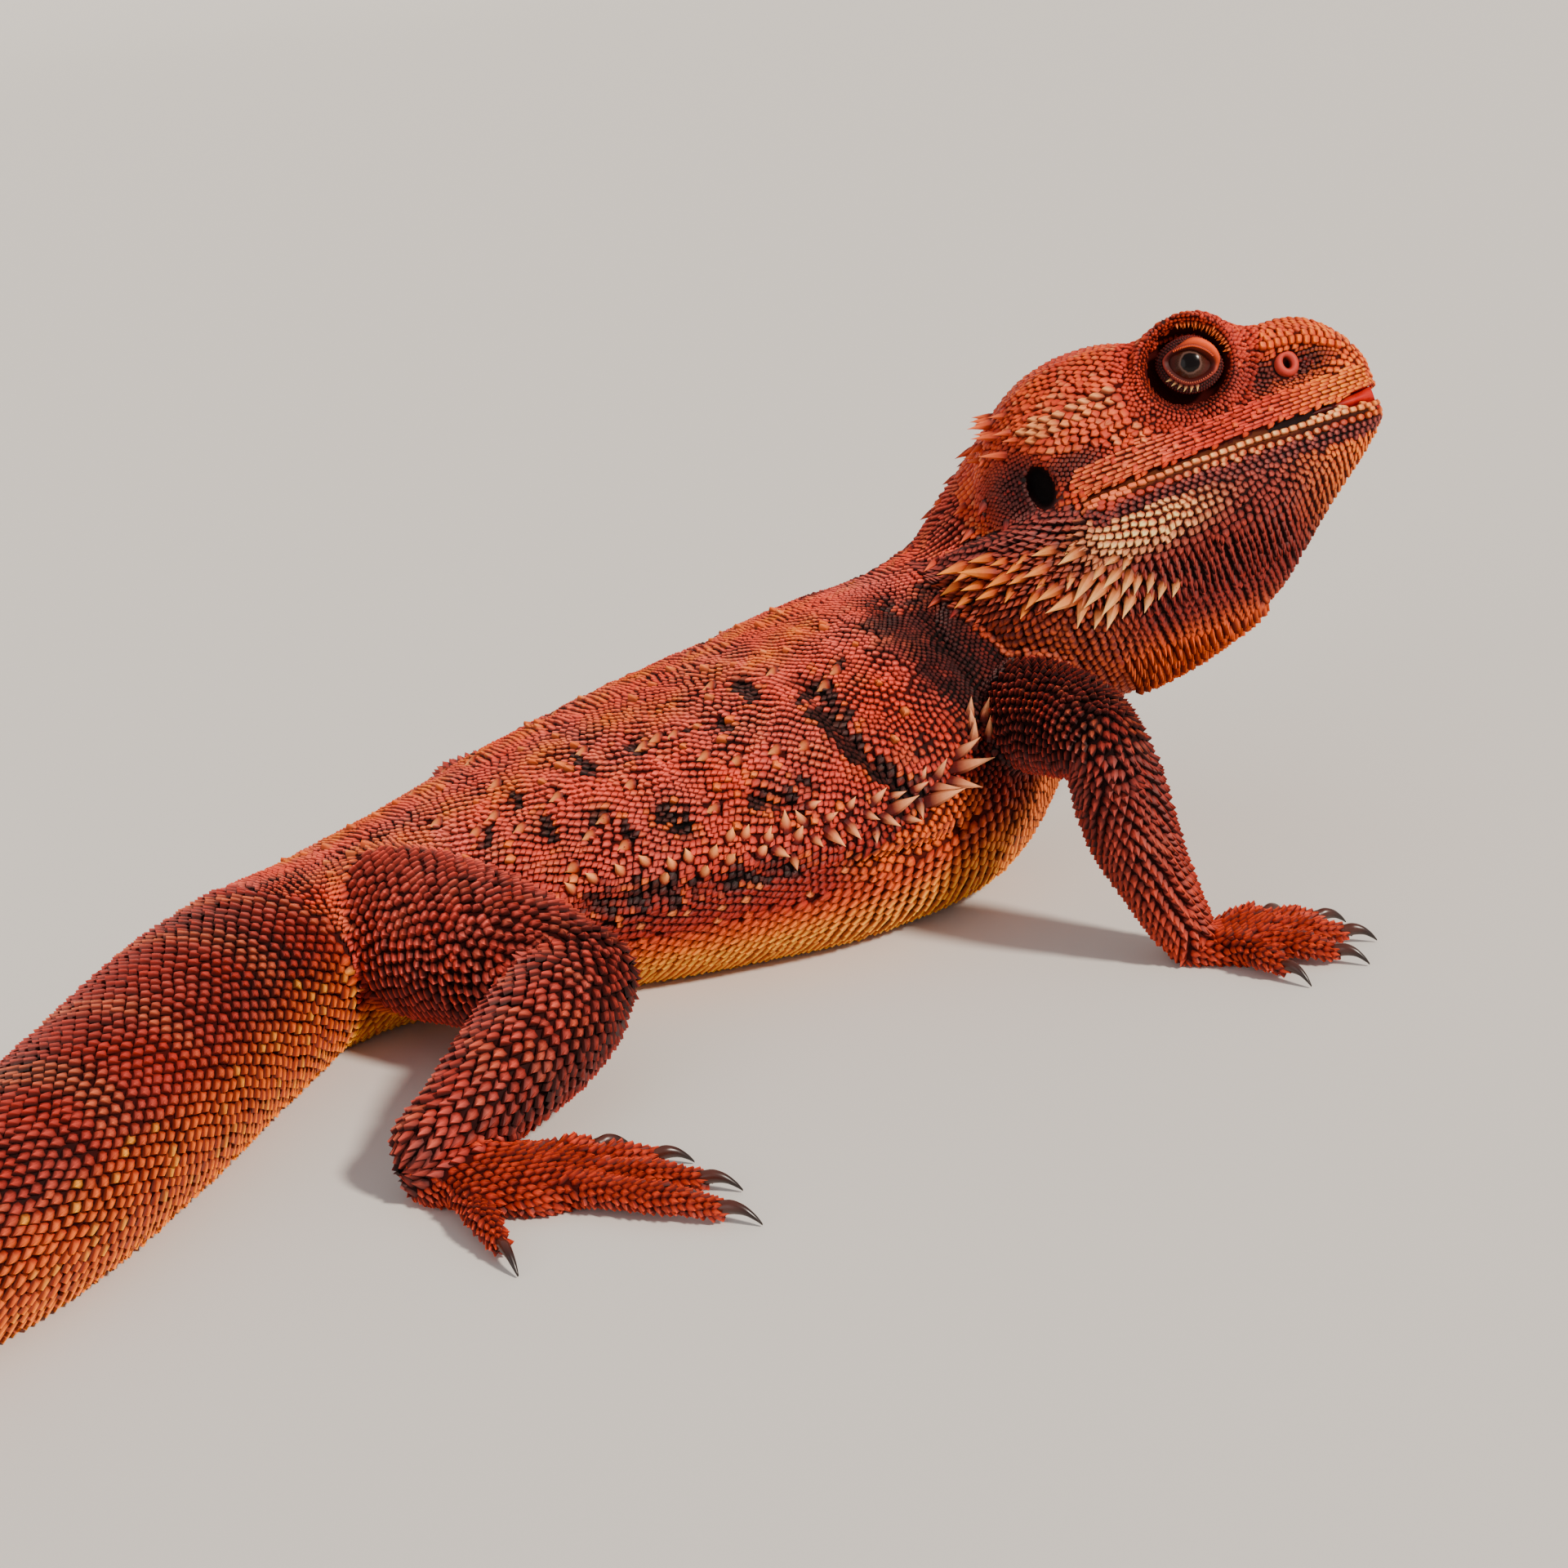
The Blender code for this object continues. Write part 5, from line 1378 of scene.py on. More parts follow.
def throat_style(keys, draw):
    points, count = keys["roots"], len(keys["far"])
    back, out, up = head_places(points).T
    sign = np.sign(out)
    tint, tip = throat_tints(points)
    fins = smooth(-9.5, -13, up) * smooth(13, 22, back) * smooth(48, 42, back)
    leaves = smooth(40, 46, back) * smooth(-13, -10, up) * (up < -1.5)
    eggs = smooth(42, 48, back) * smooth(-12, -15, up)
    low = smooth(-3, -9, up)
    forms = np.full(count, "shield", dtype="<U8")
    forms[(up > -5) & (back < 30)] = "bead"
    front = smooth(24, 14, back)
    length, width = 1.3 + 0.25 * low - 0.24 * front, 1.12 - 0.06 * front
    height, tilt = 0.42 + 0.1 * low - 0.14 * front, 0.16 + 0.1 * low
    zones = ((fins > 0.5, "keel", (1.5, 1.08, 0.5, 0.28)),
        ((fins > 0.5) & (up < -17), "shield", (1.45, 1.16, 0.52, 0.26)),
        (leaves > 0.5, "keel", (1.5, 1.2, 0.6, 0.3)),
        (eggs > 0.5, "bead", (1.7, 1.3, 0.7, 0.22)),
        ((up < -23) & (back > 16) & (eggs < 0.5), "keel", (2.0, 1.1, 0.8, 0.6)))
    for zone, form, size in zones:
        forms[zone] = form
        length[zone], width[zone], height[zone], tilt[zone] = size
    down = 0.45 + 0.5 * low + 1.1 * fins - 0.4 * leaves
    ways = head_ways(np.column_stack((np.ones(count) * (1.0 - 0.5 * fins), 0.1 * sign, -down)))
    return dict(forms=forms, sizes=sizes_of(count, length, width, height),
        tilt=tilt + draw.normal(0, 0.03, count), tints=varied(tint, draw, 0.15),
        tips=varied(tip, draw, 0.18), ways=ways)


def with_channels(points, *channels):
    added = [np.broadcast_to(c, points.shape[:2])[..., None] for c in channels]
    return np.concatenate((points, *added), axis=2)


def trunk_sheet(sign):
    places = np.linspace(0, 12, 160)
    angles = np.radians(np.linspace(0, 178, 80))
    points = body_points(body_keys(), TAIL_ROWS + places, angles * sign)
    return Sheet(with_channels(points, places[:, None], angles[None], np.full((1, 1), float(sign))))


def tail_sheet(sign):
    places = np.linspace(0, 11, 220)
    angles = np.radians(np.linspace(0, 178, 50))
    points = body_points(body_keys(), TAIL_ROWS - places, angles * sign)
    return Sheet(with_channels(points, places[:, None], angles[None]))


def wrapped(rings):
    """A sheet round closed rings."""
    return Sheet(np.concatenate((rings, rings[:, :1]), axis=1))


def head_sheet(halves, sign):
    return Sheet(head_points(halves * (1, sign, 1)))


def always(value):
    """A pitch or spacing that stays the same along a sheet."""
    return lambda share: value


def off_face(rows):
    """Keeps scales out of the eye sockets, the ears and the nostrils."""
    return ~in_hollows(*head_halves(rows[:, :3]), 1.1, 7, 1.2)


def in_temple(points):
    back, out, up = head_halves(points)
    return (out > 10.5) & (back > 28.5) & (back < 47.5) & (up > 5.2) & (up < 15.5)


def coarse_skull(rows):
    points = rows[:, :3]
    return off_face(rows) & ~fine_zone(points) & ~in_temple(points)


def temple_only(rows):
    points = rows[:, :3]
    return off_face(rows) & ~fine_zone(points) & in_temple(points)


def fine_only(rows):
    return off_face(rows) & fine_zone(rows[:, :3])


def below_lips(rows):
    back, _, up = head_places(rows[:, :3]).T
    return (up < -3.9) | (back > 44)


def string(line, spacing, start=0.0):
    """Evenly spaced places along a polyline, and the directions there."""
    line = np.asarray(line, float)
    steps = np.linalg.norm(np.diff(line, axis=0), axis=1)
    run = np.concatenate(([0], np.cumsum(steps)))
    at = np.arange(start, run[-1], spacing)
    places, ahead, behind = (np.column_stack([np.interp(at + step, run, line[:, k]) for k in range(3)])
        for step in (0, 0.3, -0.3))
    return places, unit(ahead - behind)


def head_map(places, sign):
    """Where places of the head lie on the map of its pieces."""
    return np.column_stack((places[:, 0] / 72, 0.5 + sign * (0.05 + (22 - places[:, 2]) / 120)))


def head_row(coat, owner, line, spacing, form, sizes, tint, tip, tilt=0.05, start=0.0):
    """A row of scales along a line in the head's frame, on both sides of the head."""
    for sign in (1, -1):
        places, ways = string(np.asarray(line) * (1, sign, 1), spacing, start)
        roots, normals, held = coat.ground.settle(head_points(places), 2.0)
        roots, normals, ways, places = (v[held] for v in (roots, normals, head_ways(ways), places))
        count = len(roots)
        grown = np.asarray(sizes)[None] * coat.draw.uniform(0.93, 1.07, (count, 3))
        tips = tip(places[:, 0]) if callable(tip) else np.tile(tip, (count, 1))
        coat.add("scales_face", f"{owner}{sign}", form, roots, normals, ways, grown, np.full(count, tilt),
            varied(np.tile(tint, (count, 1)), coat.draw), varied(tips, coat.draw), head_map(places, sign))


def upper_lip(rise):
    """A line on the upper lip this far above its edge."""
    back = np.linspace(*UPPER_LIP_ENDS, 60)
    lip, cheek = column(SKULL, UPPER_LIP_WIDTH, back), column(SKULL, CHEEK_WIDTH, back)
    share = np.clip(rise / column(SKULL, CHEEK_HEIGHT, back), 0, 1)
    fan = 0.84 + 0.16 * smooth(2, 16, back) + 0.03 * np.sin(back * 0.55 + rise * 2)
    return np.column_stack((back, lip + (cheek - lip) * share, LIP_GAP + rise * fan))


def lower_lip(drop):
    """A line on the lower lip this far below its edge."""
    back = np.linspace(*LOWER_LIP_ENDS, 60)
    lip, mid = column(THROAT, LOWER_LIP_WIDTH, back), column(THROAT, JAW_WIDTH, back)
    lip_b, mid_b = column(THROAT, LOWER_LIP_HEIGHT, back), column(THROAT, JAW_HEIGHT, back)
    share = np.clip(drop / (lip_b - mid_b), 0, 1)
    return np.column_stack((back, lip + (mid - lip) * share, lip_b - drop))


# Rings of scales round the eye: how far out, where the socket's edge is at 1, and the scales' size.
EYE_RINGS = [(1.04, 0.56), (1.13, 0.6), (1.23, 0.66), (1.34, 0.74), (1.47, 0.82), (1.62, 0.92)]


def eye_line(ground, number, reach, sign):
    """A slightly wavy ring on the skin round an eye."""
    angles = np.linspace(0, 2 * math.pi, 90)
    reach = reach + 0.012 * number * np.sin(angles * 5 + number)
    back = EYE[0] + reach * SOCKET_LONG * np.cos(angles)
    up = EYE[2] + reach * SOCKET_TALL * np.sin(angles)
    start = head_points(np.column_stack((back, np.full(90, 30.0 * sign), up)))
    places, held = ground.seen(start, np.tile(head_ways((0, -sign, 0)), (90, 1)))
    return places[held & (np.abs(head_places(places)[:, 1]) > 6)]


def ring_rows(coat):
    """Rings of fine scales round each eye, the innermost serrated at the front of the brow."""
    for number, (reach, size) in enumerate(EYE_RINGS):
        for sign in (1, -1):
            points = string(eye_line(coat.ground, number, reach, sign), size, 0.3 * number)[0]
            roots, normals, kept = coat.ground.settle(points, 1.0)
            roots, normals = roots[kept], normals[kept]
            place = head_places(roots)
            ways = unit(roots - head_points(np.array((EYE[0], EYE[1] * sign, EYE[2]))))
            tint, tip = head_tints(roots)
            shade = smooth(13, 7, place[:, 2]) * 0.5 + 0.5 * smooth(1.25, 1.05, reach)
            tint = mix(mix(tint, BRICK, 0.6), MAROON, shade)
            tip = mix(mix(tip, SALMON, 0.6), MAROON, 0.7 * shade)
            turn = np.degrees(np.arctan2(place[:, 2] - EYE[2], place[:, 0] - EYE[0])) % 360
            comb = (np.abs(turn - 138) < 44) & (number == 0)
            # The comb's tips orange-tan: painted light on the brow's lit front edge.
            tip[comb] = mix(ORANGE, TAN, 0.3)
            uvs = head_map(place, sign)
            rest = ("grain", ~comb, 0.42, 0.14, ways)
            for form, chosen, tall, tilt, way in (rest, ("keel", comb, 0.8, 0.5, -ways)):
                count = int(chosen.sum())
                if not count:
                    continue
                sizes = sizes_of(count, size * 1.15, size * 0.98, size * tall)
                sizes = sizes * coat.draw.uniform(0.85, 1.15, (count, 3))
                coat.add("scales_eyes", f"ring{number}{sign}", form, roots[chosen], normals[chosen],
                    way[chosen], sizes, np.full(count, tilt), varied(tint[chosen], coat.draw, 0.18),
                    varied(tip[chosen], coat.draw, 0.18), uvs[chosen])


# Spines

# Spines of the beard: back, out and up of the root in the head's frame, then how far the tip lies from it.
BEARD = [(60.9, 17.5, -2.9, 2.8, 2.4, 0.8), (59.5, 18.5, -3.5, 2.6, 2.2, -0.1),
    (57.2, 20.1, -5.1, 3.1, 2.7, 1.7), (56.8, 19.4, -3.0, 2.2, 1.8, 0.8), (59.4, 19.5, -6.0, 2.0, 1.7, 0.5),
    (55.3, 21.2, -6.2, 2.4, 2.0, 0.1), (57.8, 20.8, -7.5, 2.0, 1.7, 0.2), (53.0, 22.2, -7.0, 1.7, 1.5, 0.1),
    (49.9, 22.8, -6.9, 2.4, 2.0, 0.2), (47.5, 22.8, -7.1, 1.9, 1.6, -0.1),
    (45.0, 22.5, -6.6, 2.2, 1.9, -0.2), (52.2, 23.2, -9.9, 1.6, 1.6, -0.9),
    (49.2, 22.9, -10.2, 2.4, 2.1, -0.4), (47.5, 23.2, -12.2, 3.1, 2.7, -0.5),
    (44.7, 23.5, -10.4, 2.2, 2.4, -1.7), (46.9, 22.9, -9.3, 0.9, 1.1, -1.1),
    (46.6, 23.5, -13.4, 1.3, 2.0, -2.3), (43.3, 22.9, -12.1, 2.4, 2.4, -1.5),
    (45.1, 22.0, -15.2, 0.9, 1.3, -1.6), (40.9, 22.7, -11.0, 1.8, 1.8, -1.1),
    (42.8, 22.7, -9.7, 1.3, 1.3, -0.9), (41.9, 22.4, -13.5, 2.0, 2.3, -1.9),
    (39.6, 22.4, -12.1, 1.2, 1.6, -1.6), (39.2, 22.3, -10.0, 0.7, 0.9, -0.8),
    (38.6, 22.9, -13.0, 0.7, 1.1, -1.5), (53.3, 21.5, -5.2, 1.5, 1.3, -0.1),
    (55.0, 20.4, -4.1, 1.4, 1.2, 0.4), (48.2, 21.9, -5.0, 2.0, 1.7, 0.5),
    (45.3, 22.2, -5.6, 1.1, 0.9, -0.2), (37.0, 21.7, -13.4, 0.7, 1.1, -1.4),
    (35.9, 21.0, -14.8, 0.7, 1.1, -1.4), (43.2, 21.8, -15.4, 1.1, 1.7, -2.0),
    (40.4, 21.8, -14.9, 1.3, 1.7, -1.9), (55.3, 21.7, -8.2, 1.2, 1.2, -0.7),
    (51.9, 21.4, -4.6, 1.3, 1.1, -0.1), (43.3, 19.0, -6.6, 1.2, 1.2, -0.7),
    (40.6, 22.5, -9.1, 1.1, 1.0, -0.3), (62.2, 16.5, -5.2, 2.3, 1.6, 0.0),
    (61.2, 17.6, -7.4, 1.9, 1.5, -0.2), (34.0, 21.0, -15.6, 0.6, 1.0, -1.3),
    (38.0, 21.5, -15.8, 0.8, 1.3, -1.6), (54.0, 22.0, -11.0, 1.0, 1.2, -0.8),
    (50.5, 22.4, -8.6, 1.1, 1.0, -0.4)]
# Spines along each flank and round the armpit: trunk row and degrees down from the back line of the root,
# then how far forward, outward and up the tip lies from it.
FLANK = [(7.62, 90, 4.0, 1.7, 1.3), (7.72, 87, 2.8, 1.5, 0.1), (7.90, 90, 3.3, 1.9, -0.3),
    (8.02, 87, 4.3, 1.9, 1.1), (8.10, 83, 2.8, 1.0, 1.7), (7.80, 84, 1.6, 0.5, 1.9),
    (7.66, 81, 0.8, 0.3, 1.2), (8.30, 84, 0.9, 0.5, 2.9), (8.50, 87, 0.3, 0.5, 2.5),
    (8.40, 80, 0.4, 0.4, 2.5), (7.54, 83, 1.6, 0.6, 0.8), (7.28, 84, 3.0, 1.1, 1.4),
    (7.34, 80, 1.5, 0.6, 0.7), (7.15, 78, 1.6, 0.5, 1.4), (7.52, 88, 0.5, 1.4, -1.3),
    (7.35, 90, 1.6, 1.0, -0.1), (7.17, 85, 1.7, 1.3, -0.7), (7.04, 81, 1.3, 0.9, -0.4),
    (6.87, 82, 1.2, 1.5, -1.1), (6.70, 82, 1.5, 1.6, -1.1), (6.72, 77, 1.2, 0.4, 0.7),
    (6.56, 82, 0.7, 0.8, -0.6), (6.50, 75, -0.5, 0.4, 1.5), (6.61, 71, 1.1, 0.4, 0.6),
    (6.33, 75, 0.2, 0.4, 2.0), (6.18, 82, 1.2, 1.0, -0.6), (6.41, 80, 0.8, 0.5, 1.4),
    (6.12, 77, 0.5, 0.4, 1.4), (6.00, 81, 0.7, 0.4, 0.9), (6.32, 88, 0.1, 0.8, -0.6),
    (7.05, 88, 0.1, 0.8, -0.5), (6.93, 76, 0.6, 0.4, 0.8), (8.48, 76, 0.8, 0.5, 2.3),
    (8.62, 82, 0.5, 0.4, 2.4), (5.90, 73, 0.3, 0.6, 0.9), (5.75, 72, 0.2, 0.7, 0.8),
    (5.55, 76, 0.2, 0.8, 0.7), (5.32, 75, -0.1, 0.8, 0.8), (5.15, 76, -0.1, 0.9, 0.7),
    (4.94, 72, -0.2, 0.8, 0.6), (4.70, 73, -0.2, 0.8, 0.6), (4.41, 73, -0.3, 0.7, 0.5),
    (4.12, 75, -0.3, 0.7, 0.5), (5.68, 80, 0.2, 0.7, 0.3), (5.42, 82, 0.1, 0.6, 0.2),
    (5.05, 81, 0.1, 0.6, 0.2)]
# Larger pale scales on the back and flank: trunk row and degrees down from the back line.
DOTS = [(4.8, 21), (5.62, 30), (5.28, 30), (3.85, 42), (3.42, 33), (5.78, 42), (5.68, 60), (4.8, 51),
    (7.6, 33), (7.38, 36), (6.5, 48), (4.23, 66), (4.78, 64), (3.05, 21), (3.6, 30), (5.45, 27), (6.18, 15),
    (3.85, 15), (6.1, 46), (5.05, 42), (4.4, 36), (4.5, 55), (2.9, 40), (6.9, 22), (6.75, 52), (3.2, 55)]
OCCIPUT = [(52.0, 1.8, 16.0, 2.8), (51.6, 5.4, 15.2, 3.0), (51.0, 8.8, 14.0, 3.4), (50.4, 12.0, 12.0, 3.6),
    (50.2, 15.0, 9.2, 3.6), (48.6, 10.6, 14.2, 2.2), (48.4, 13.6, 11.6, 2.4), (52.4, 3.6, 15.4, 2.2),
    (51.4, 7.0, 14.6, 2.4), (51.4, 10.6, 12.8, 2.6), (53.4, 12.0, 10.2, 2.2), (54.8, 9.0, 10.4, 2.0),
    (55.6, 5.4, 11.4, 1.8), (47.6, 15.4, 10.4, 2.0)]
NAPE = [(11.5, 29), (11.5, 49), (11.1, 38), (11.1, 58), (10.7, 30), (10.7, 48), (10.2, 39), (10.2, 56),
    (9.7, 32), (9.7, 48), (11.7, 12), (10.9, 14), (10.2, 18)]


def add_spines(coat, owner, roots, tips_at, tints, tips, girth, fewest=0.0):
    """Curved spines from roots on the skin to where their tips lie."""
    roots, normals, held = coat.ground.settle(roots, 3.0)
    held &= open_skin(roots)
    girth = np.broadcast_to(girth, len(roots))
    roots, normals, tips_at = roots[held], normals[held], tips_at[held]
    tints, tips, girth = tints[held], tips[held], girth[held]
    count = len(roots)
    if not count:
        return
    ways = unit(tips_at + normals * 0.15 * np.linalg.norm(tips_at, axis=1)[:, None])
    lengths = np.maximum(np.linalg.norm(tips_at, axis=1), fewest) * 1.12
    bend = unit(tips_at - normals * (tips_at * normals).sum(1)[:, None] + 1e-6)
    width = lengths * girth / np.sqrt(np.maximum(lengths / 2.4, 0.6))
    uvs = np.column_stack((np.linspace(0.02, 0.98, count), np.full(count, coat.draw.uniform(0.05, 0.95))))
    kept = coat.free(roots, width * 0.8, owner)
    data = dict(roots=roots, normals=ways, ways=bend, sizes=np.column_stack((width, width * 0.86, lengths)),
        tilt=np.full(count, -0.1), tints=tints, tips=tips, uvs=uvs)
    coat.put("spines", "spine", {k: v[kept] for k, v in data.items()})


def beard_spines(coat):
    table = np.array(BEARD)
    front = smooth(54, 42, table[:, 0])
    for sign in (1, -1):
        tint = varied(mix(RUST, mix(TAN, RUST, 0.5), front), coat.draw)
        tip = varied(mix(AMBER, CREAM, 0.1 + 0.65 * front) * 0.85, coat.draw)
        ways = head_ways(table[:, 3:] * (1, sign, 1)) * np.linalg.norm(table[:, 3:], axis=1)[:, None]
        roots = head_points(table[:, :3] * (1, sign, 1))
        add_spines(coat, f"beard{sign}", roots, ways * 1.05, tint, tip, 0.68)


def trunk_outward(places, sign):
    side, up = sides_and_ups(headings(TRUNK, places[:, 0]))
    angle = np.radians(places[:, 1])[:, None]
    return -side * sign * np.sin(angle) + up * np.cos(angle)


def flank_spines(coat):
    """The rows of spines on each flank and the larger scales on the back."""
    draw = coat.draw
    table, dots = np.array(FLANK), np.array(DOTS)
    for sign in (1, -1):
        share = smooth(5.5, 7.9, table[:, 0])
        tint = mix(BRICK, mix(MAROON, BRICK, 0.4), share)
        tip = mix(mix(TAN, CREAM, 0.15), mix(PINK, CREAM, 0.45) * 0.95, share)
        ways = table[:, 2:] * (1, -sign, 1)
        roots = on_trunk(table[:, :2], sign)
        add_spines(coat, f"flank{sign}", roots, ways, varied(tint, draw), varied(tip, draw),
            0.95 - 0.3 * share, 1.4)
        places = dots + draw.normal(0, (0.03, 1.0), dots.shape)
        ways = trunk_outward(places, sign) * 0.55 - headings(TRUNK, places[:, 0]) * 0.9
        count = len(dots)
        tint = varied(np.tile(RUST, (count, 1)), draw)
        tip = varied(np.tile(mix(TAN, CREAM, 0.15), (count, 1)), draw)
        add_spines(coat, f"dots{sign}", on_trunk(places, sign), ways, tint, tip, 1.3, 0.95)


def crest_spines(coat):
    """Spines along the back of the skull and on the nape."""
    draw = coat.draw
    for sign in (1, -1):
        table = np.array(OCCIPUT)
        places = table[:, :3] * (1, sign, 1)
        count = len(table)
        lean = np.column_stack((np.full(count, 0.8), 0.035 * places[:, 1], np.full(count, 0.42)))
        ways = head_ways(lean + draw.normal(0, 0.06, lean.shape)) * table[:, 3:4]
        tint = varied(np.tile(mix(BRICK, RUST, 0.5), (count, 1)), draw)
        tip = varied(np.tile(mix(SALMON, TAN, 0.4), (count, 1)), draw)
        add_spines(coat, f"occiput{sign}", head_points(places), ways, tint, tip, 0.5)
        table = np.array(NAPE, float) + draw.normal(0, (0.06, 2.0), (len(NAPE), 2))
        ways = trunk_outward(table, sign) - headings(TRUNK, table[:, 0]) * 0.8
        ways = unit(ways) * draw.uniform(1.7, 2.7, len(table))[:, None]
        dark = smooth(20, 45, table[:, 1])
        tint = varied(mix(BRICK, PLUM, dark), draw)
        tip = varied(mix(mix(SALMON, TAN, 0.25), mix(MAROON, BRICK, 0.5), dark), draw)
        add_spines(coat, f"nape{sign}", on_trunk(np.minimum(table, (11.95, 90)), sign), ways, tint, tip, 0.55)


# The coat, patch by patch


# Rows of scales along the canthus and the temple's ridge: the line in the head's frame, spacing, form, sizes,
# colours at the base and the tip, tilt and start.
BROW_ROWS = [
    ("canthus", [(2.6, 4.8, 7.4), (5.0, 6.4, 8.8), (8.0, 7.9, 9.8), (11.5, 9.0, 10.6), (14.8, 10.4, 12.0)],
        1.15, "block", (1.25, 1.35, 0.7), RUST, mix(ORANGE, AMBER, 0.4), 0.05, 0.0),
    ("canthus_top", [(3.0, 4.4, 8.9), (6.0, 5.9, 10.6), (10.5, 7.6, 12.0), (14.5, 9.2, 13.6)],
        1.2, "block", (1.3, 1.2, 0.5), RUST, mix(ORANGE, AMBER, 0.4), 0.05, 0.6),
    ("ridge", [(30.0, 15.4, 13.8), (36.0, 17.4, 12.9), (41.0, 17.6, 12.0), (46.0, 16.6, 11.6),
        (49.0, 15.4, 11.2)], 1.9, "shield", (2.3, 1.55, 0.8), BRICK, mix(TAN, CREAM, 0.3), 0.22, 0.0),
    ("ridge_low", [(33.0, 17.0, 11.4), (38.0, 18.2, 10.7), (43.0, 17.9, 10.0), (47.0, 16.8, 9.6)],
        1.7, "shield", (2.0, 1.45, 0.7), BRICK, mix(TAN, CREAM, 0.1), 0.2, 1),
]


def face_scales(coat):
    """Rows that follow the lips, the eyes and the brows."""

    def upper_tips(back):
        front = mix(mix(SALMON, RED, 0.3), mix(ORANGE, AMBER, 0.5) * 1.2, smooth(15, 4, back))
        return mix(front, mix(SALMON, TAN, 0.5), smooth(24, 36, back)) * 1.06

    for number in range(6):
        rise = 0.42 + 0.66 * number
        head_row(coat, f"upper{number}", upper_lip(rise), 1.5, "strip", (1.66, 0.68, 0.27),
            mix(BRICK, MAROON, 0.35), upper_tips, start=0.8 * (number % 2) + 0.25 * (number % 3))

    def lip_edge(back):
        chin = mix(AMBER, CREAM, smooth(0, 6, back))
        return mix(chin, mix(PINK, TAN, 0.4), smooth(24, 34, back)) * 0.96

    def lip_beads(back):
        pale = smooth(6, 11, back) * smooth(31, 25, back)
        dull = mix(mix(PINK, PLUM, 0.35), AMBER, 0.7 * smooth(7, 2, back))
        return mix(dull, mix(TAN, CREAM, 0.5), 0.9 * pale)

    rows = ((0.42, 1.36, 0.9, 0.46, mix(TAN, RUST, 0.6), lip_edge),
        (1.8, 1.42, 1.06, 0.52, mix(RUST, MAROON, 0.4), lip_beads),
        (2.85, 1.16, 0.95, 0.42, PLUM, mix(PINK, PLUM, 0.45)),
        (3.75, 1.12, 0.92, 0.38, PLUM, mix(PINK, PLUM, 0.55)))
    for number, (drop, size, wide, tall, tint, tip) in enumerate(rows):
        head_row(coat, f"lower{number}", lower_lip(drop), size, "block" if number == 0 else "bead",
            (size * 1.04, wide, tall), tint, tip, start=0.6 * (number % 2))
    ring_rows(coat)
    for owner, line, spacing, form, sizes, tint, tip, tilt, start in BROW_ROWS:
        head_row(coat, owner, line, spacing, form, sizes, tint, tip, tilt, start)


def on_back(rows):
    return (np.degrees(rows[:, 4]) < 93) & ~on_neck(rows)


def on_flank(rows):
    return (np.abs(np.degrees(rows[:, 4]) - 98.5) <= 5.5) & ~on_neck(rows)


def on_belly(rows):
    return np.degrees(rows[:, 4]) > 104


def trunk_scales(coat):
    """The patches of the head, throat, trunk and tail, the right side first."""
    skull_rings = skull_half(np.linspace(0, 15, 90), 40)
    throat_rings = throat_half(np.linspace(0, 15, 90), 40)[:, ::-1]
    for name, sign in (("right", 1), ("left", -1)):
        skull, throat = head_sheet(skull_rings, -sign), head_sheet(throat_rings, -sign)
        trunk, tail = trunk_sheet(sign), tail_sheet(sign)
        edge, strip = dict(skip_edge=sign < 0), dict(strip=(0.5, 0.0) if sign < 0 else (0.5, 1.0))
        head = dict(press=press_head, **edge, **strip)
        body = dict(press=press_folds, **edge)
        lay(coat, "scales_face", f"skull{sign}", skull, always(1.08), always(1.16), skull_style,
            mask=coarse_skull, sway=0.3, **head)
        lay(coat, "scales_face", f"temple{sign}", skull, always(1.2), always(1.32), temple_style,
            mask=temple_only, sway=0.4, **head)
        lay(coat, "scales_face", f"hollows{sign}", skull, always(0.66), always(0.72), fine_style,
            mask=fine_only, sway=0.2, **head)
        lay(coat, "scales_beard", f"throat{sign}", throat, always(1.12), always(1.18), throat_style,
            mask=below_lips, sway=0.35, **head)
        lay(coat, f"scales_back_{name}", f"back_{name}", trunk, always(0.93), always(1.08), back_style,
            mask=on_back, slant=-0.2, sway=0.55, **body)
        lay(coat, "scales_neck", f"neck_{name}", trunk, always(0.74), always(0.84), neck_style,
            mask=on_neck, sway=0.4, **body, **strip)
        lay(coat, "scales_belly", f"flank_{name}", trunk, always(1.02), always(1.16), belly_style,
            mask=on_flank, sway=0.3, **body, **strip)
        lay(coat, "scales_belly", f"belly_{name}", trunk, always(1.22), always(1.5), belly_style,
            mask=on_belly, slant=-0.3, sway=0.2, **body, **strip)
        lay(coat, f"scales_tail_{name}", f"tail_{name}", tail, lambda s: tail_size(s) * 0.9,
            lambda s: tail_size(s) * 0.98, tail_style, sway=0.25, **edge)


LIMBS = [("arms", UPPER_ARM_R + FOREARM_R[1:], (0, 0.5)), ("arms", UPPER_ARM_L + FOREARM_L[1:], (0.5, 1)),
    ("legs", THIGH_R + SHANK_R[1:], (0, 0.5)), ("legs", THIGH_L + SHANK_L[1:], (0.5, 1))]
# The scales of arms and legs: hint for the rings, size, pitch, brightness, lift, and the share of the limb
# that has the trunk's colours.
LIMB_LOOKS = {"arms": (ARM_HINT, 1.36, 0.92, 0.6, 0.33, 0.0),
    "legs": (LEG_HINT, 1.62, 0.86, 0.0, 0.26, 0.42)}


def limb_scales(coat):
    """Keeled scales down the arms and legs."""
    for number, (kind, keys, strip) in enumerate(LIMBS):
        hint, size, pitch, bright, lift, hip = LIMB_LOOKS[kind]
        sheet = wrapped(limb_rings(keys, hint, count=110))
        lay(coat, f"scales_{kind}", f"limb{number}", sheet, always(size * pitch), always(size),
            limb_style(size, bright, lift, hip=hip), strip=strip, sway=0.45)


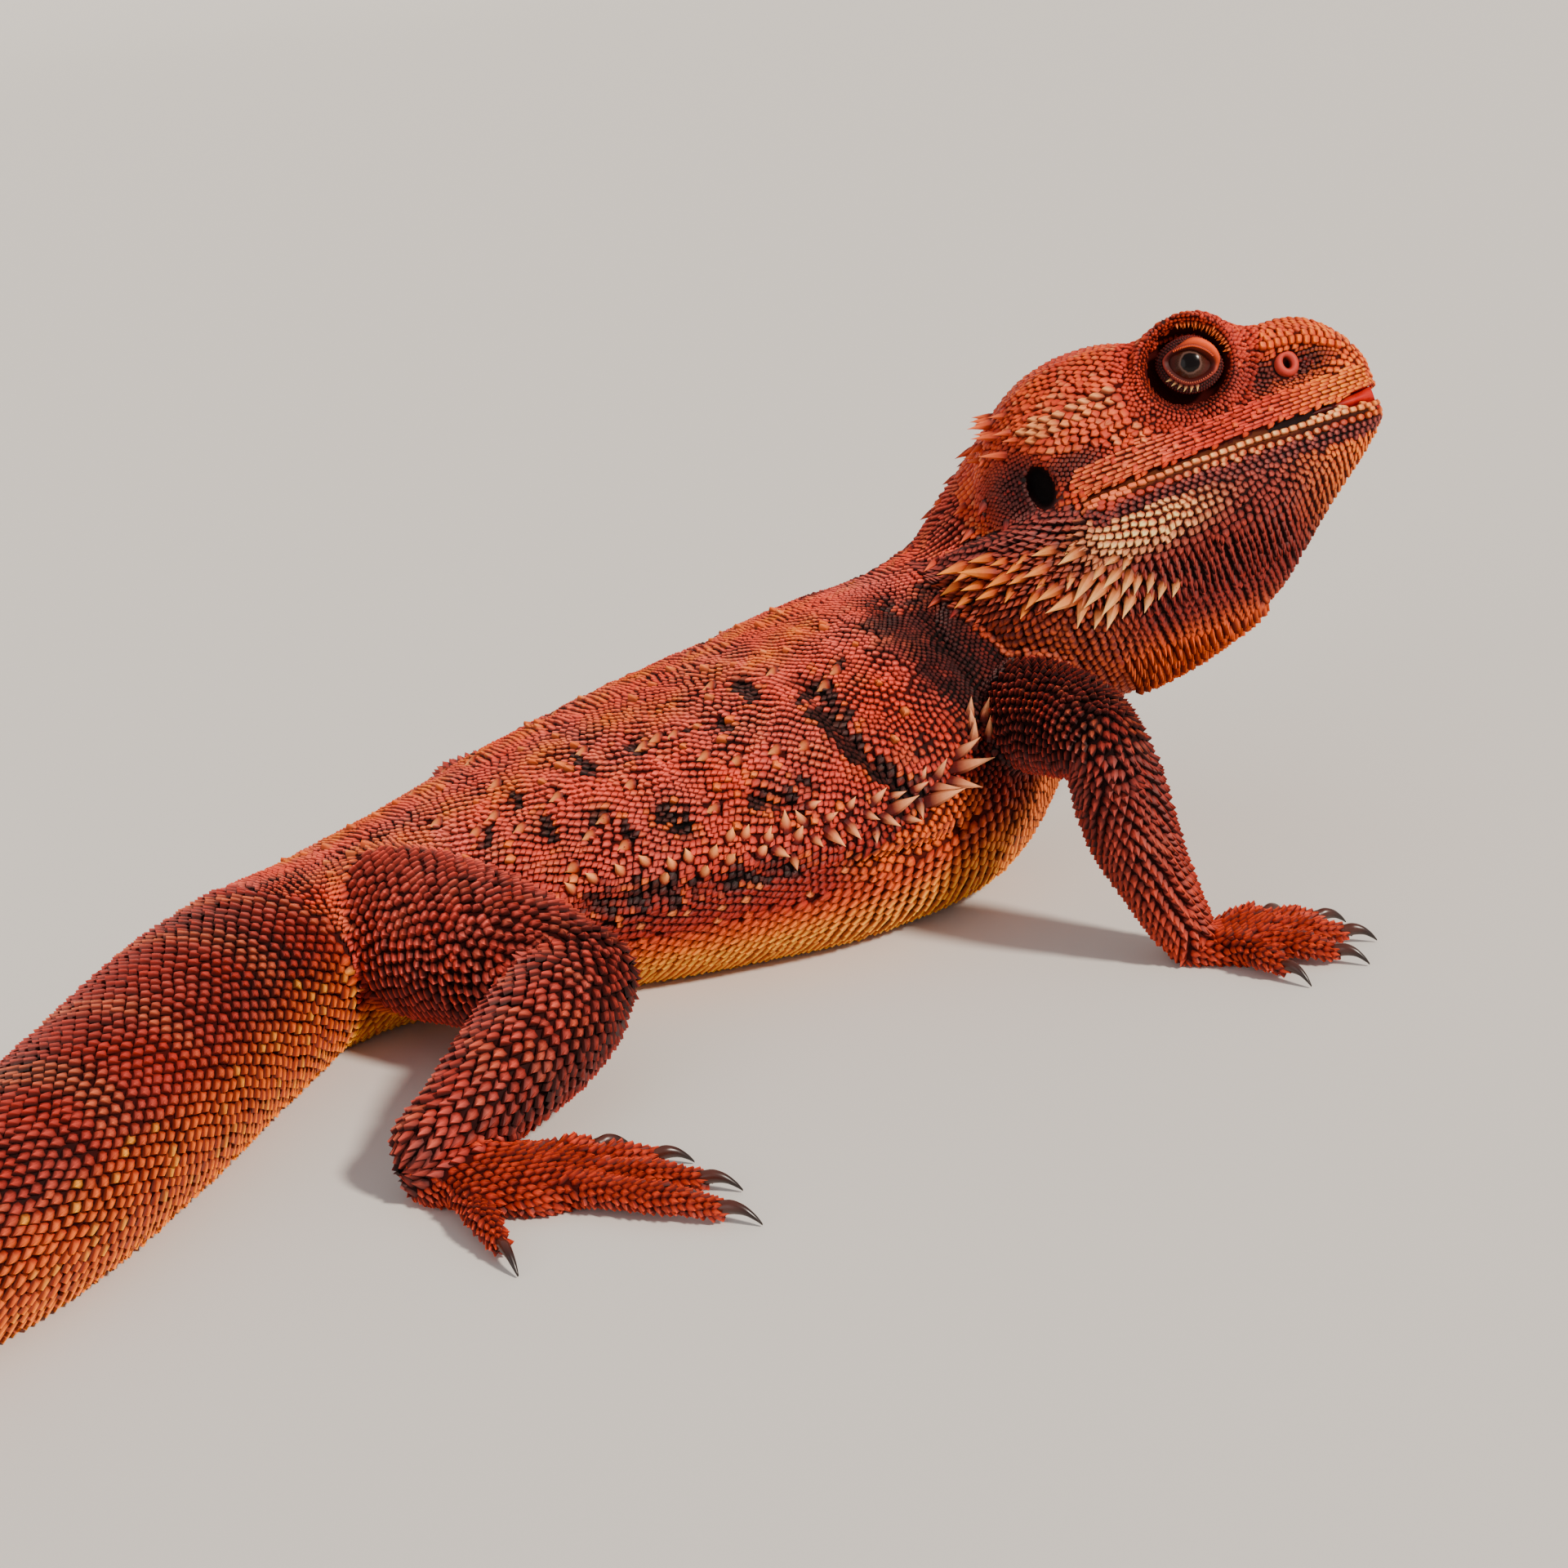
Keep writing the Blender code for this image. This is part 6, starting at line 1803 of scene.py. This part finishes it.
def foot_scales(coat):
    """Scales of the palms, soles and toes."""
    angles = np.concatenate((FULL_TURN[::3], [2 * math.pi]))
    for number, (foot, digits) in enumerate(FEET.values()):
        low = number / 4
        sheet = Sheet(body_points(palm_keys(foot), np.linspace(0, 5, 40), angles))
        lay(coat, "scales_feet", f"palm{number}", sheet, always(1.08), always(1.15),
            limb_style(1.15, 0.75, 0.24), strip=(low, low + 0.1), sway=0.2)
        for index, digit in enumerate(digits):
            strip = (low + 0.11 + 0.027 * index, low + 0.11 + 0.027 * (index + 1))
            lay(coat, "scales_feet", f"digit{number}{index}", wrapped(digit_rings(foot, digit)), always(1.0),
                always(1.05), limb_style(1.1, 0.8, 0.28, height=0.46), strip=strip)


def on_neck(rows):
    """Which places of the trunk carry the fine granules of neck and shoulder."""
    row, angle = rows[:, 3], np.degrees(rows[:, 4])
    ragged = ripple(rows[:, :3], 5.0, 62)
    return (row > 8.3 + 0.25 * ragged) & (angle > 24 + 5 * (row - 9.5) + 7 * ragged) & (angle < 100)


# Eyes, lids, nostrils, claws and tongue

def eye_axes(sign):
    """The eye's centre, and its outward, backward and upward directions, a little turned to the front."""
    out = head_ways((-0.12, sign, 0.04))
    up = unit(np.array(HEAD_AXES[2]) - out * (HEAD_AXES[2] @ out))
    back = np.cross(up, out) * -sign
    if back @ HEAD_AXES[0] < 0:
        back = -back
    return head_points(np.array((EYE[0], EYE[1] * sign, EYE[2]))), out, back, up


def on_eye(sign, radius, polar, turn):
    """Points on a ball round the eye: polar is the angle from its axis, and turn goes from back to up."""
    centre, out, back, up = eye_axes(sign)
    radius, polar, turn = np.broadcast_arrays(radius, polar, turn)
    flat = np.cos(turn)[..., None] * back + np.sin(turn)[..., None] * up
    return centre + radius[..., None] * (np.cos(polar)[..., None] * out + np.sin(polar)[..., None] * flat)


def eye_piece(name, sign):
    """An eyeball with its cornea, iris and round pupil."""
    polar = np.concatenate((np.linspace(0.0, 0.7, 44), np.linspace(0.74, math.pi, 24)))
    turn = np.arange(64) * 2 * math.pi / 64
    grid_polar, grid_turn = np.meshgrid(polar, turn, indexing="ij")
    bulge = 0.3 * np.exp(-((grid_polar / 0.42) ** 4))
    inside = 2.0 * smooth(0.85, 1.3, grid_polar)
    rings = on_eye(sign, EYE_R - 0.25 + bulge - inside, grid_polar, grid_turn)
    points, faces = closed_loft(rings)
    edge = 0.012 * np.sin(5 * grid_turn + 1.0) + 0.008 * np.sin(11 * grid_turn)
    fibres = 0.5 + 0.5 * np.sin(grid_turn * 27 + 3 * np.sin(grid_polar * 30))
    iris = mix(srgb(44, 18, 11), srgb(74, 36, 22), fibres)
    iris = mix(iris, srgb(140, 112, 102), 0.3 * bell(grid_polar - 0.315 - edge, 0.035))
    white = mix(srgb(66, 22, 15), srgb(26, 8, 7), smooth(0.5, 0.8, grid_polar))
    colour = mix(iris, white, smooth(0.44, 0.5, grid_polar))
    colour = mix(colour, BLACK, smooth(0.02, 0.0, grid_polar - 0.27 - edge * 0.4))
    colours = np.concatenate((colour.reshape(-1, 3), [BLACK, BLACK]))
    return outward(painted(name, points, faces, colours))


SLIT_TILT = math.radians(26)
SLIT_LONG, SLIT_RISE, SLIT_DROP, SLIT_POWER = 0.76, 0.43, 0.56, 1.65


def opening(turn):
    """The polar angle of the slit between the lids at each turn. Its front corner lies lower."""
    swing = turn - math.pi - SLIT_TILT
    height = np.where(np.sin(swing) < 0, SLIT_RISE, SLIT_DROP)
    long, tall = np.abs(np.cos(swing)) / SLIT_LONG, np.abs(np.sin(swing)) / height
    return (long**SLIT_POWER + tall**SLIT_POWER) ** (-1 / SLIT_POWER)


def thick_lid(turn):
    """How much a turn round the eye belongs to the swollen front part of the upper lid."""
    off = (turn - math.radians(146) + math.pi) % (2 * math.pi) - math.pi
    return np.exp(-((np.abs(off) / math.radians(58)) ** 3))


def lid_width(turn):
    """Half the width of the lid's rolled edge, as an angle."""
    return 0.055 + 0.1 * thick_lid(turn)


def lid_radius(turn, off):
    """The lids' distance from the eye's centre at an angle off the slit."""
    wide, thick = lid_width(turn), thick_lid(turn)
    roll = (0.32 + 0.85 * thick) * np.exp(-((np.abs(off - wide) / (wide * 0.95)) ** 2.6))
    second = 0.3 * bell(off - 2 * wide - 0.2, 0.09)
    corner = bell((turn - math.pi - SLIT_TILT + math.pi) % (2 * math.pi) - math.pi, 0.16)
    return 4.82 + roll * (1 - 0.45 * corner) + second - 1.8 * smooth(0.3, 0.9, off)


def lids_piece(name, sign):
    """Fleshy lids: a rolled edge round the opening, folds, and a skirt down to the socket's floor."""
    turn = np.arange(128) * 2 * math.pi / 128
    offs = np.concatenate(([-0.05, -0.02], np.linspace(0, 0.75, 40), np.linspace(0.8, 1.1, 6)))
    rings, colours = [], []
    slit = opening(turn)
    for off in offs:
        polar = np.minimum(slit + off, 1.62)
        spot = np.full(128, float(off))
        radius = lid_radius(turn, np.maximum(spot, 0))
        if off < 0:
            radius = np.full(128, EYE_R - 0.4 if off < -0.03 else EYE_R + 0.02)
        crinkle = 0.03 * np.sin(turn * 37 + 5 * np.sin(off * 20)) * smooth(0.08, 0.3, spot)
        rings.append(on_eye(sign, radius + crinkle, polar, turn))
        wide, thick = lid_width(turn), thick_lid(turn)
        # Painted light and shade: the rolled edge's crest takes the flesh colour as painted light, the skirt
        # stays near black, partly its own dark colour and partly painted shade, and the edge tucked against
        # the eye is darkened as painted shade.
        lit = np.exp(-((np.abs(spot - wide) / (wide * 1.05)) ** 3))
        base = mix(MAROON * 0.2, MAROON, 0.3 * bell(spot - 2 * wide - 0.2, 0.1))
        flesh = mix(mix(MAROON, PINK, 0.22), mix(SALMON, ORANGE, 0.4), thick)
        colour = mix(base, flesh, lit)
        colours.append(mix(colour, MAROON * 0.5, 0.8 * smooth(0.05, -0.01, spot)))
    rings = np.array(rings)
    made = painted(name, rings.reshape(-1, 3), grid_faces(len(rings), 128), np.concatenate(colours))
    if sign < 0:
        made.data.flip_normals()
    return made


def lid_grains(coat):
    """Granules on the folds of the lids, in rings round the eye."""
    draw = coat.draw
    for sign in (1, -1):
        centre = eye_axes(sign)[0]
        for number, off in enumerate(np.arange(0.18, 1.0, 0.075)):
            count = int(2 * math.pi * 5.0 * math.sin(0.6 + off) / 0.4)
            turn = (np.arange(count) + 0.5 * (number % 2)) * 2 * math.pi / count
            polar = opening(turn) + off
            shown = (polar < 1.5) & (off > 2 * lid_width(turn) + 0.03)
            turn, polar = turn[shown], polar[shown]
            count = len(turn)
            if not count:
                continue
            roots = on_eye(sign, lid_radius(turn, np.full(count, off)), polar, turn)
            outer = on_eye(sign, lid_radius(turn, np.full(count, off + 0.05)), polar + 0.05, turn)
            shade = 1.0 - 0.45 * thick_lid(turn)
            tint = mix(MAROON, MAROON * 0.2, shade)
            tip = mix(BRICK, mix(MAROON, BRICK, 0.4) * 0.7, shade)
            across = 0.5 - sign * (0.12 + 0.05 * np.sin(turn))
            data = dict(roots=roots, normals=unit(roots - centre), ways=unit(outer - roots),
                sizes=sizes_of(count, 0.47, 0.42, 0.16) * draw.uniform(0.85, 1.1, (count, 3)),
                tilt=np.full(count, 0.1), tints=varied(tint, draw), tips=varied(tip, draw),
                uvs=np.column_stack((0.32 + 0.06 * np.cos(turn), across)))
            coat.batches.setdefault("scales_eyes", []).append(("grain", data))


# Teeth of the lids: where their row starts and ends as a turn from the opening's front corner in degrees,
# their count, angle off the slit, length, girth and colour.
LID_TEETH = [(66, 134, 6, 0.13, 0.95, 0.62, CREAM),
    (-150, -22, 26, 0.03, 0.42, 0.8, mix(RUST, ORANGE, 0.4)),
    (20, 155, 22, 0.03, 0.3, 0.8, mix(PINK, TAN, 0.4))]


def lid_teeth(coat):
    """Pointed scales along the lower lid and a fine comb along the upper one."""
    front = math.degrees(math.pi + SLIT_TILT)
    for sign in (1, -1):
        centre = eye_axes(sign)[0]
        for low, high, count, off, length, girth, tip in LID_TEETH:
            turn = np.radians(np.linspace(front + low, front + high, count))
            polar = opening(turn) + off
            radius = lid_radius(turn, np.full(count, off)) - 0.05
            roots, inner = on_eye(sign, radius, polar, turn), on_eye(sign, radius, polar - 0.1, turn)
            flat = unit(inner - roots) * (1 if off < 0.1 else -1)
            ways = unit(unit(roots - centre) * (0.35 if off < 0.1 else 0.6) + flat)
            data = dict(roots=roots, normals=ways, ways=unit(np.cross(ways, unit(roots - centre))),
                sizes=sizes_of(count, length * girth, length * girth, length), tilt=np.zeros(count),
                tints=np.tile(mix(MAROON, PINK, 0.5), (count, 1)), tips=np.tile(tip, (count, 1)),
                uvs=np.column_stack((np.linspace(0.2, 0.4, count), np.full(count, 0.5 + 0.2 * sign))))
            coat.batches.setdefault("spines", []).append(("spine", data))


NOSTRIL_RING = [(2.45, -0.9, 0.35), (2.2, 0.0, 0.6), (2.0, 0.65, 0.9), (1.65, 1.05, 1.05), (1.3, 1.15, 1.1),
    (1.02, 0.98, 0.85), (0.84, 0.6, 0.35), (0.76, 0.0, 0.08), (0.66, -0.8, 0.02), (0.05, -1.2, 0.02)]


def nostril_piece(ground):
    """The smooth raised scale that holds each nostril: radius, height and painted light of its rings,
    brightest on the raised rim as a painted highlight and near black down the hole as painted shade.
    """
    points, faces, colours, base = [], [], [], 0
    turn = np.arange(28) * 2 * math.pi / 28
    for sign in (1, -1):
        start = head_points(np.array((NOSTRIL[0], 30.0 * sign, NOSTRIL[2])))
        way = head_ways((0, -sign, 0))
        root = ground.seen([start], [way])[0][0]
        out = head_ways((-0.35, sign, 0.12))
        back = unit(np.cross(out, HEAD_AXES[2]))
        up = np.cross(back, out)
        rings = []
        for radius, height, light in NOSTRIL_RING:
            slim = 0.9 if radius > 1.2 else 0.66
            circle = np.cos(turn)[:, None] * back * slim + np.sin(turn)[:, None] * up
            rings.append(root + out * height + circle * radius * 0.95)
            colours.append(np.tile(mix(PINK, BRICK, 0.55) * light, (28, 1)))
        rings = np.array(rings)
        piece = grid_faces(len(rings), 28, base=base)
        if sign > 0:
            piece = piece[:, ::-1]
        points.append(rings.reshape(-1, 3))
        faces.append(piece)
        base += rings.size // 3
    return painted("nostrils", np.concatenate(points), np.concatenate(faces), np.concatenate(colours))


def claws_piece(name, foot, digits):
    """Curved horn claws, ridged along the top and narrower underneath."""
    forms, colours = [], []
    angles = np.arange(16) * 2 * math.pi / 16
    for digit in digits:
        root, way, length = digit_line(foot, digit)
        size = CLAW_LENGTH + CLAW_GAIN * length
        tip_height = DIGIT_PROFILE[-1][1]
        keys = []
        for share, rise, radius in CLAW_PROFILE:
            at = root + way * (length + CLAW_GAP + size * share)
            keys.append((*at, max(tip_height + rise, radius), radius))
        rows = through(keys, np.linspace(0, len(keys) - 1, 22))
        rows[0, :2] -= way * 0.5
        across = np.array((-way[1], way[0], 0))
        narrow = 0.8 - 0.25 * np.clip(-np.sin(angles), 0, 1)
        circle = (np.cos(angles) * narrow)[:, None] * across + np.sin(angles)[:, None] * np.array((0, 0, 1.0))
        rings = on_floor(rows[:, None, :3] + rows[:, 3:4, None] * circle)
        forms.append(closed_loft(rings))
        share = np.linspace(0, 1, 22)
        shade = mix(srgb(74, 34, 26), srgb(26, 12, 10), smooth(0.1, 0.75, share))
        shade = np.repeat(shade[:, None], 16, axis=1) * (0.9 + 0.2 * np.sin(angles))[None, :, None]
        colours.append(np.concatenate((shade.reshape(-1, 3), shade[0, :1], shade[-1, :1])))
    return outward(painted(name, *join_forms(forms), np.concatenate(colours)))


def tongue_piece():
    """The tongue's edge, with a groove along its middle."""
    rows = through(TONGUE, np.linspace(0, len(TONGUE) - 1, 40))
    turn = np.arange(36) * 2 * math.pi / 36
    rings = []
    for back, height, wide, thick in rows:
        groove = 0.12 * bell(np.cos(turn), 0.18) * (np.sin(turn) > 0)
        up = height + np.sin(turn) * thick - groove * thick
        rings.append(head_points(np.column_stack((np.full(36, back), np.cos(turn) * wide, up))))
    points, faces = closed_loft(rings)
    flesh = mix(WET_RED, SALMON, 0.12 + 0.12 * ripple(points, 1.2, 71))
    # Fading toward the back into painted shadow inside the mouth.
    colours = mix(flesh, SHADE_AND_BAR_DARK, 0.9 * smooth(3.6, 7.0, head_places(points)[:, 0]))
    return outward(painted("tongue_edge", points, faces, colours))


# Materials


def set_inputs(node, values):
    """Sets some inputs of a shader node."""
    for name, value in values.items():
        node.inputs[name].default_value = value
    return node


def tinted(name, roughness, vary, grain, bump, specular=0.5):
    """A material that takes its colour from the mesh and adds mottling, fine relief and uneven gloss."""
    made = bpy.data.materials.new(name)
    made.use_nodes = True
    nodes = made.node_tree.nodes
    shader = set_inputs(nodes["Principled BSDF"], {"Specular IOR Level": specular})
    tint = nodes.new("ShaderNodeAttribute")
    tint.attribute_name = "tint"
    place = nodes.new("ShaderNodeTexCoord")
    noise = set_inputs(nodes.new("ShaderNodeTexNoise"), {"Scale": grain, "Detail": 4.0})
    light = set_inputs(nodes.new("ShaderNodeMapRange"), {"To Min": 1 - vary, "To Max": 1 + vary})
    matt = {"To Min": roughness - 0.1, "To Max": roughness + 0.14}
    gloss = set_inputs(nodes.new("ShaderNodeMapRange"), matt)
    relief = set_inputs(nodes.new("ShaderNodeBump"), {"Strength": bump, "Distance": 0.0001})
    scaled = nodes.new("ShaderNodeVectorMath")
    scaled.operation = "SCALE"
    for source, target in (
            (place.outputs["Object"], noise.inputs["Vector"]),
            (noise.outputs["Fac"], light.inputs["Value"]),
            (noise.outputs["Fac"], gloss.inputs["Value"]),
            (noise.outputs["Fac"], relief.inputs["Height"]),
            (tint.outputs["Color"], scaled.inputs[0]),
            (light.outputs["Result"], scaled.inputs["Scale"]),
            (scaled.outputs["Vector"], shader.inputs["Base Color"]),
            (gloss.outputs["Result"], shader.inputs["Roughness"]),
            (relief.outputs["Normal"], shader.inputs["Normal"])):
        made.node_tree.links.new(source, target)
    return made


def dress(obj, material):
    """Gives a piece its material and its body."""
    obj.data.materials.clear()
    obj.data.materials.append(material)
    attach(obj, "root")


# How light the skin is between the scales, as a share of their colour: painted shade of the grooves between
# them.
GROOVE_SHADE = 0.13


def paint_skin(skin, coat):
    """Gives the skin the colours of the scales that stand on it, darkened as painted shade of the grooves
    between them.
    """
    roots, tints = np.concatenate(coat.roots), np.concatenate(coat.tints)
    tree = tree_of(roots)
    points, _ = mesh_arrays(skin.data)
    colours = GROOVE_SHADE * tints[[tree.find(Vector(point))[1] for point in points]]
    back, out, up = head_halves(points)
    # Darker along the crease where the lips meet and round the front of the mouth: painted shade.
    near_lips = distance_to_line(np.column_stack((back, out, up)), lip_line())[0]
    colours = mix(colours, SHADE_AND_BAR_DARK * 0.6, smooth(1.1, 0.5, near_lips) * (back > 9))
    lips = (back < 12) & (up < 0.6) & (up > -4.5)
    colours[lips] = colours[lips] * 0.5
    # Inside the mouth wet red, fading toward the back into painted shadow.
    inside = in_mouth(back, out, up) & (back < 16)
    colours[inside] = mix(WET_RED, SHADE_AND_BAR_DARK, smooth(3.6, 7.0, back[inside]))
    # Skin in the eye sockets dark maroon: its own dark colour and painted shade in the socket.
    colours[(np.sqrt(off_eye(back, up)) < 1.05) & (out > 6) & (back < 32)] = MAROON * 0.5
    # The ear opening is painted black as painted shade in the hole, fading out to the rim's own colour.
    ear = np.sqrt(off_ear(back, up))
    near_ear = (ear < 1.5) & (out > 10)
    rim = mix(PLUM * 0.5, srgb(96, 58, 56), smooth(3.6, 0.5, up))
    colours = np.where(near_ear[:, None], mix(BLACK, rim, smooth(0.75, 1.1, ear)), colours)
    set_tint(skin.data, colours)


# Camera, floor and light

CAMERA_PLACE = (4.606, -321.966, 135.564)
CAMERA_DOWN, CAMERA_ROLL = math.radians(20.0), math.radians(7.0)
FOCAL_PIXELS, SENSOR = 2900.0, 36.0


def make_camera():
    """The camera that took the picture, placed by its tilt and roll."""
    forward = Vector((0, math.cos(CAMERA_DOWN), -math.sin(CAMERA_DOWN)))
    level = Vector((1, 0, 0))
    plumb = level.cross(forward)
    right = level * math.cos(CAMERA_ROLL) - plumb * math.sin(CAMERA_ROLL)
    up = level * math.sin(CAMERA_ROLL) + plumb * math.cos(CAMERA_ROLL)
    data = bpy.data.cameras.new("camera")
    data.sensor_width = SENSOR
    data.lens = SENSOR * FOCAL_PIXELS / IMAGE_SIZE
    data.clip_start = 0.01
    camera = new_object("camera", data)
    turn = Matrix((right, up, -forward)).transposed().to_4x4()
    camera.matrix_world = Matrix.Translation(Vector(CAMERA_PLACE) * MM) @ turn
    bpy.context.scene.camera = camera


def make_floor():
    """A plain floor that curves up far behind the animal."""
    half, start, bend = 30.0, 6.0, 8.0
    turn = np.linspace(0, math.pi / 2, 33)
    curve = [(start + bend * math.sin(a), bend - bend * math.cos(a)) for a in turn]
    profile = [(-half, 0.0), (0.0, 0.0)] + curve
    points = [(x, y, z) for y, z in profile for x in (-half, half)]
    faces = [(2 * i, 2 * i + 1, 2 * i + 3, 2 * i + 2) for i in range(len(profile) - 1)]
    mesh = bpy.data.meshes.new("floor")
    mesh.from_pydata(points, [], faces)
    mesh.shade_smooth()
    floor = new_object("floor", mesh)
    made = bpy.data.materials.new("floor")
    made.use_nodes = True
    shader = made.node_tree.nodes["Principled BSDF"]
    shader.inputs["Base Color"].default_value = (0.72, 0.70, 0.67, 1)
    shader.inputs["Roughness"].default_value = 0.8
    mesh.materials.append(made)


def sun_light(name, place, strength, colour, softness):
    data = bpy.data.lights.new(name, "SUN")
    data.energy = strength
    data.color = colour
    data.angle = math.radians(softness)
    lamp = new_object(name, data)
    lamp.rotation_euler = (-Vector(place)).to_track_quat("-Z", "Y").to_euler()


def make_light():
    world = bpy.data.worlds.new("studio")
    world.use_nodes = True
    back = world.node_tree.nodes["Background"]
    back.inputs["Color"].default_value = (0.98, 0.955, 0.95, 1)
    back.inputs["Strength"].default_value = 0.5
    bpy.context.scene.world = world
    sun_light("key", (0.55, -0.47, 0.58), 4.6, (1.0, 0.89, 0.76), 7)
    sun_light("fill", (-0.7, -0.7, 0.3), 0.5, (1.0, 0.94, 0.9), 40)


def main():
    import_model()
    skin_look = tinted("skin", 0.75, 0.2, 900.0, 0.5, specular=0.12)
    scale_look = tinted("scales", 0.6, 0.22, 1400.0, 0.5, specular=0.32)
    lid_look = tinted("lids", 0.55, 0.15, 1800.0, 0.4, specular=0.2)
    eye_look = tinted("eyes", 0.16, 0.08, 2500.0, 0.0, specular=0.2)
    claw_look = tinted("claws", 0.3, 0.25, 700.0, 0.3)
    mouth_look = tinted("mouth", 0.5, 0.15, 1500.0, 0.3, specular=0.2)
    skin = make_skin()
    ground = Ground(skin)
    coat = Coat(ground)
    beard_spines(coat)
    flank_spines(coat)
    crest_spines(coat)
    face_scales(coat)
    trunk_scales(coat)
    limb_scales(coat)
    foot_scales(coat)
    fill_gaps(coat, skin)
    lid_grains(coat)
    lid_teeth(coat)
    paint_skin(skin, coat)
    skin.data.shade_smooth()
    dress(skin, skin_look)
    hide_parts(*FLESH)
    for name, batches in sorted(coat.batches.items()):
        dress(new_object(name, scale_mesh(name, batches)), scale_look)
    for side, sign in (("left", 1), ("right", -1)):
        eye = eye_piece(f"eyeball_{side}", sign)
        dress(eye, eye_look)
        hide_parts(f"eye_{side}")
        dress(lids_piece(f"lids_{side}", sign), lid_look)
    dress(nostril_piece(ground), lid_look)
    for name, (foot, digits) in FEET.items():
        claws = claws_piece(f"claws_{name}", foot, digits)
        dress(claws, claw_look)
        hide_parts(*[f"{name}_claw_{i}" for i in range(1, 6)])
    tongue = tongue_piece()
    dress(tongue, mouth_look)
    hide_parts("tongue")
    make_floor()
    make_light()
    make_camera()


main()
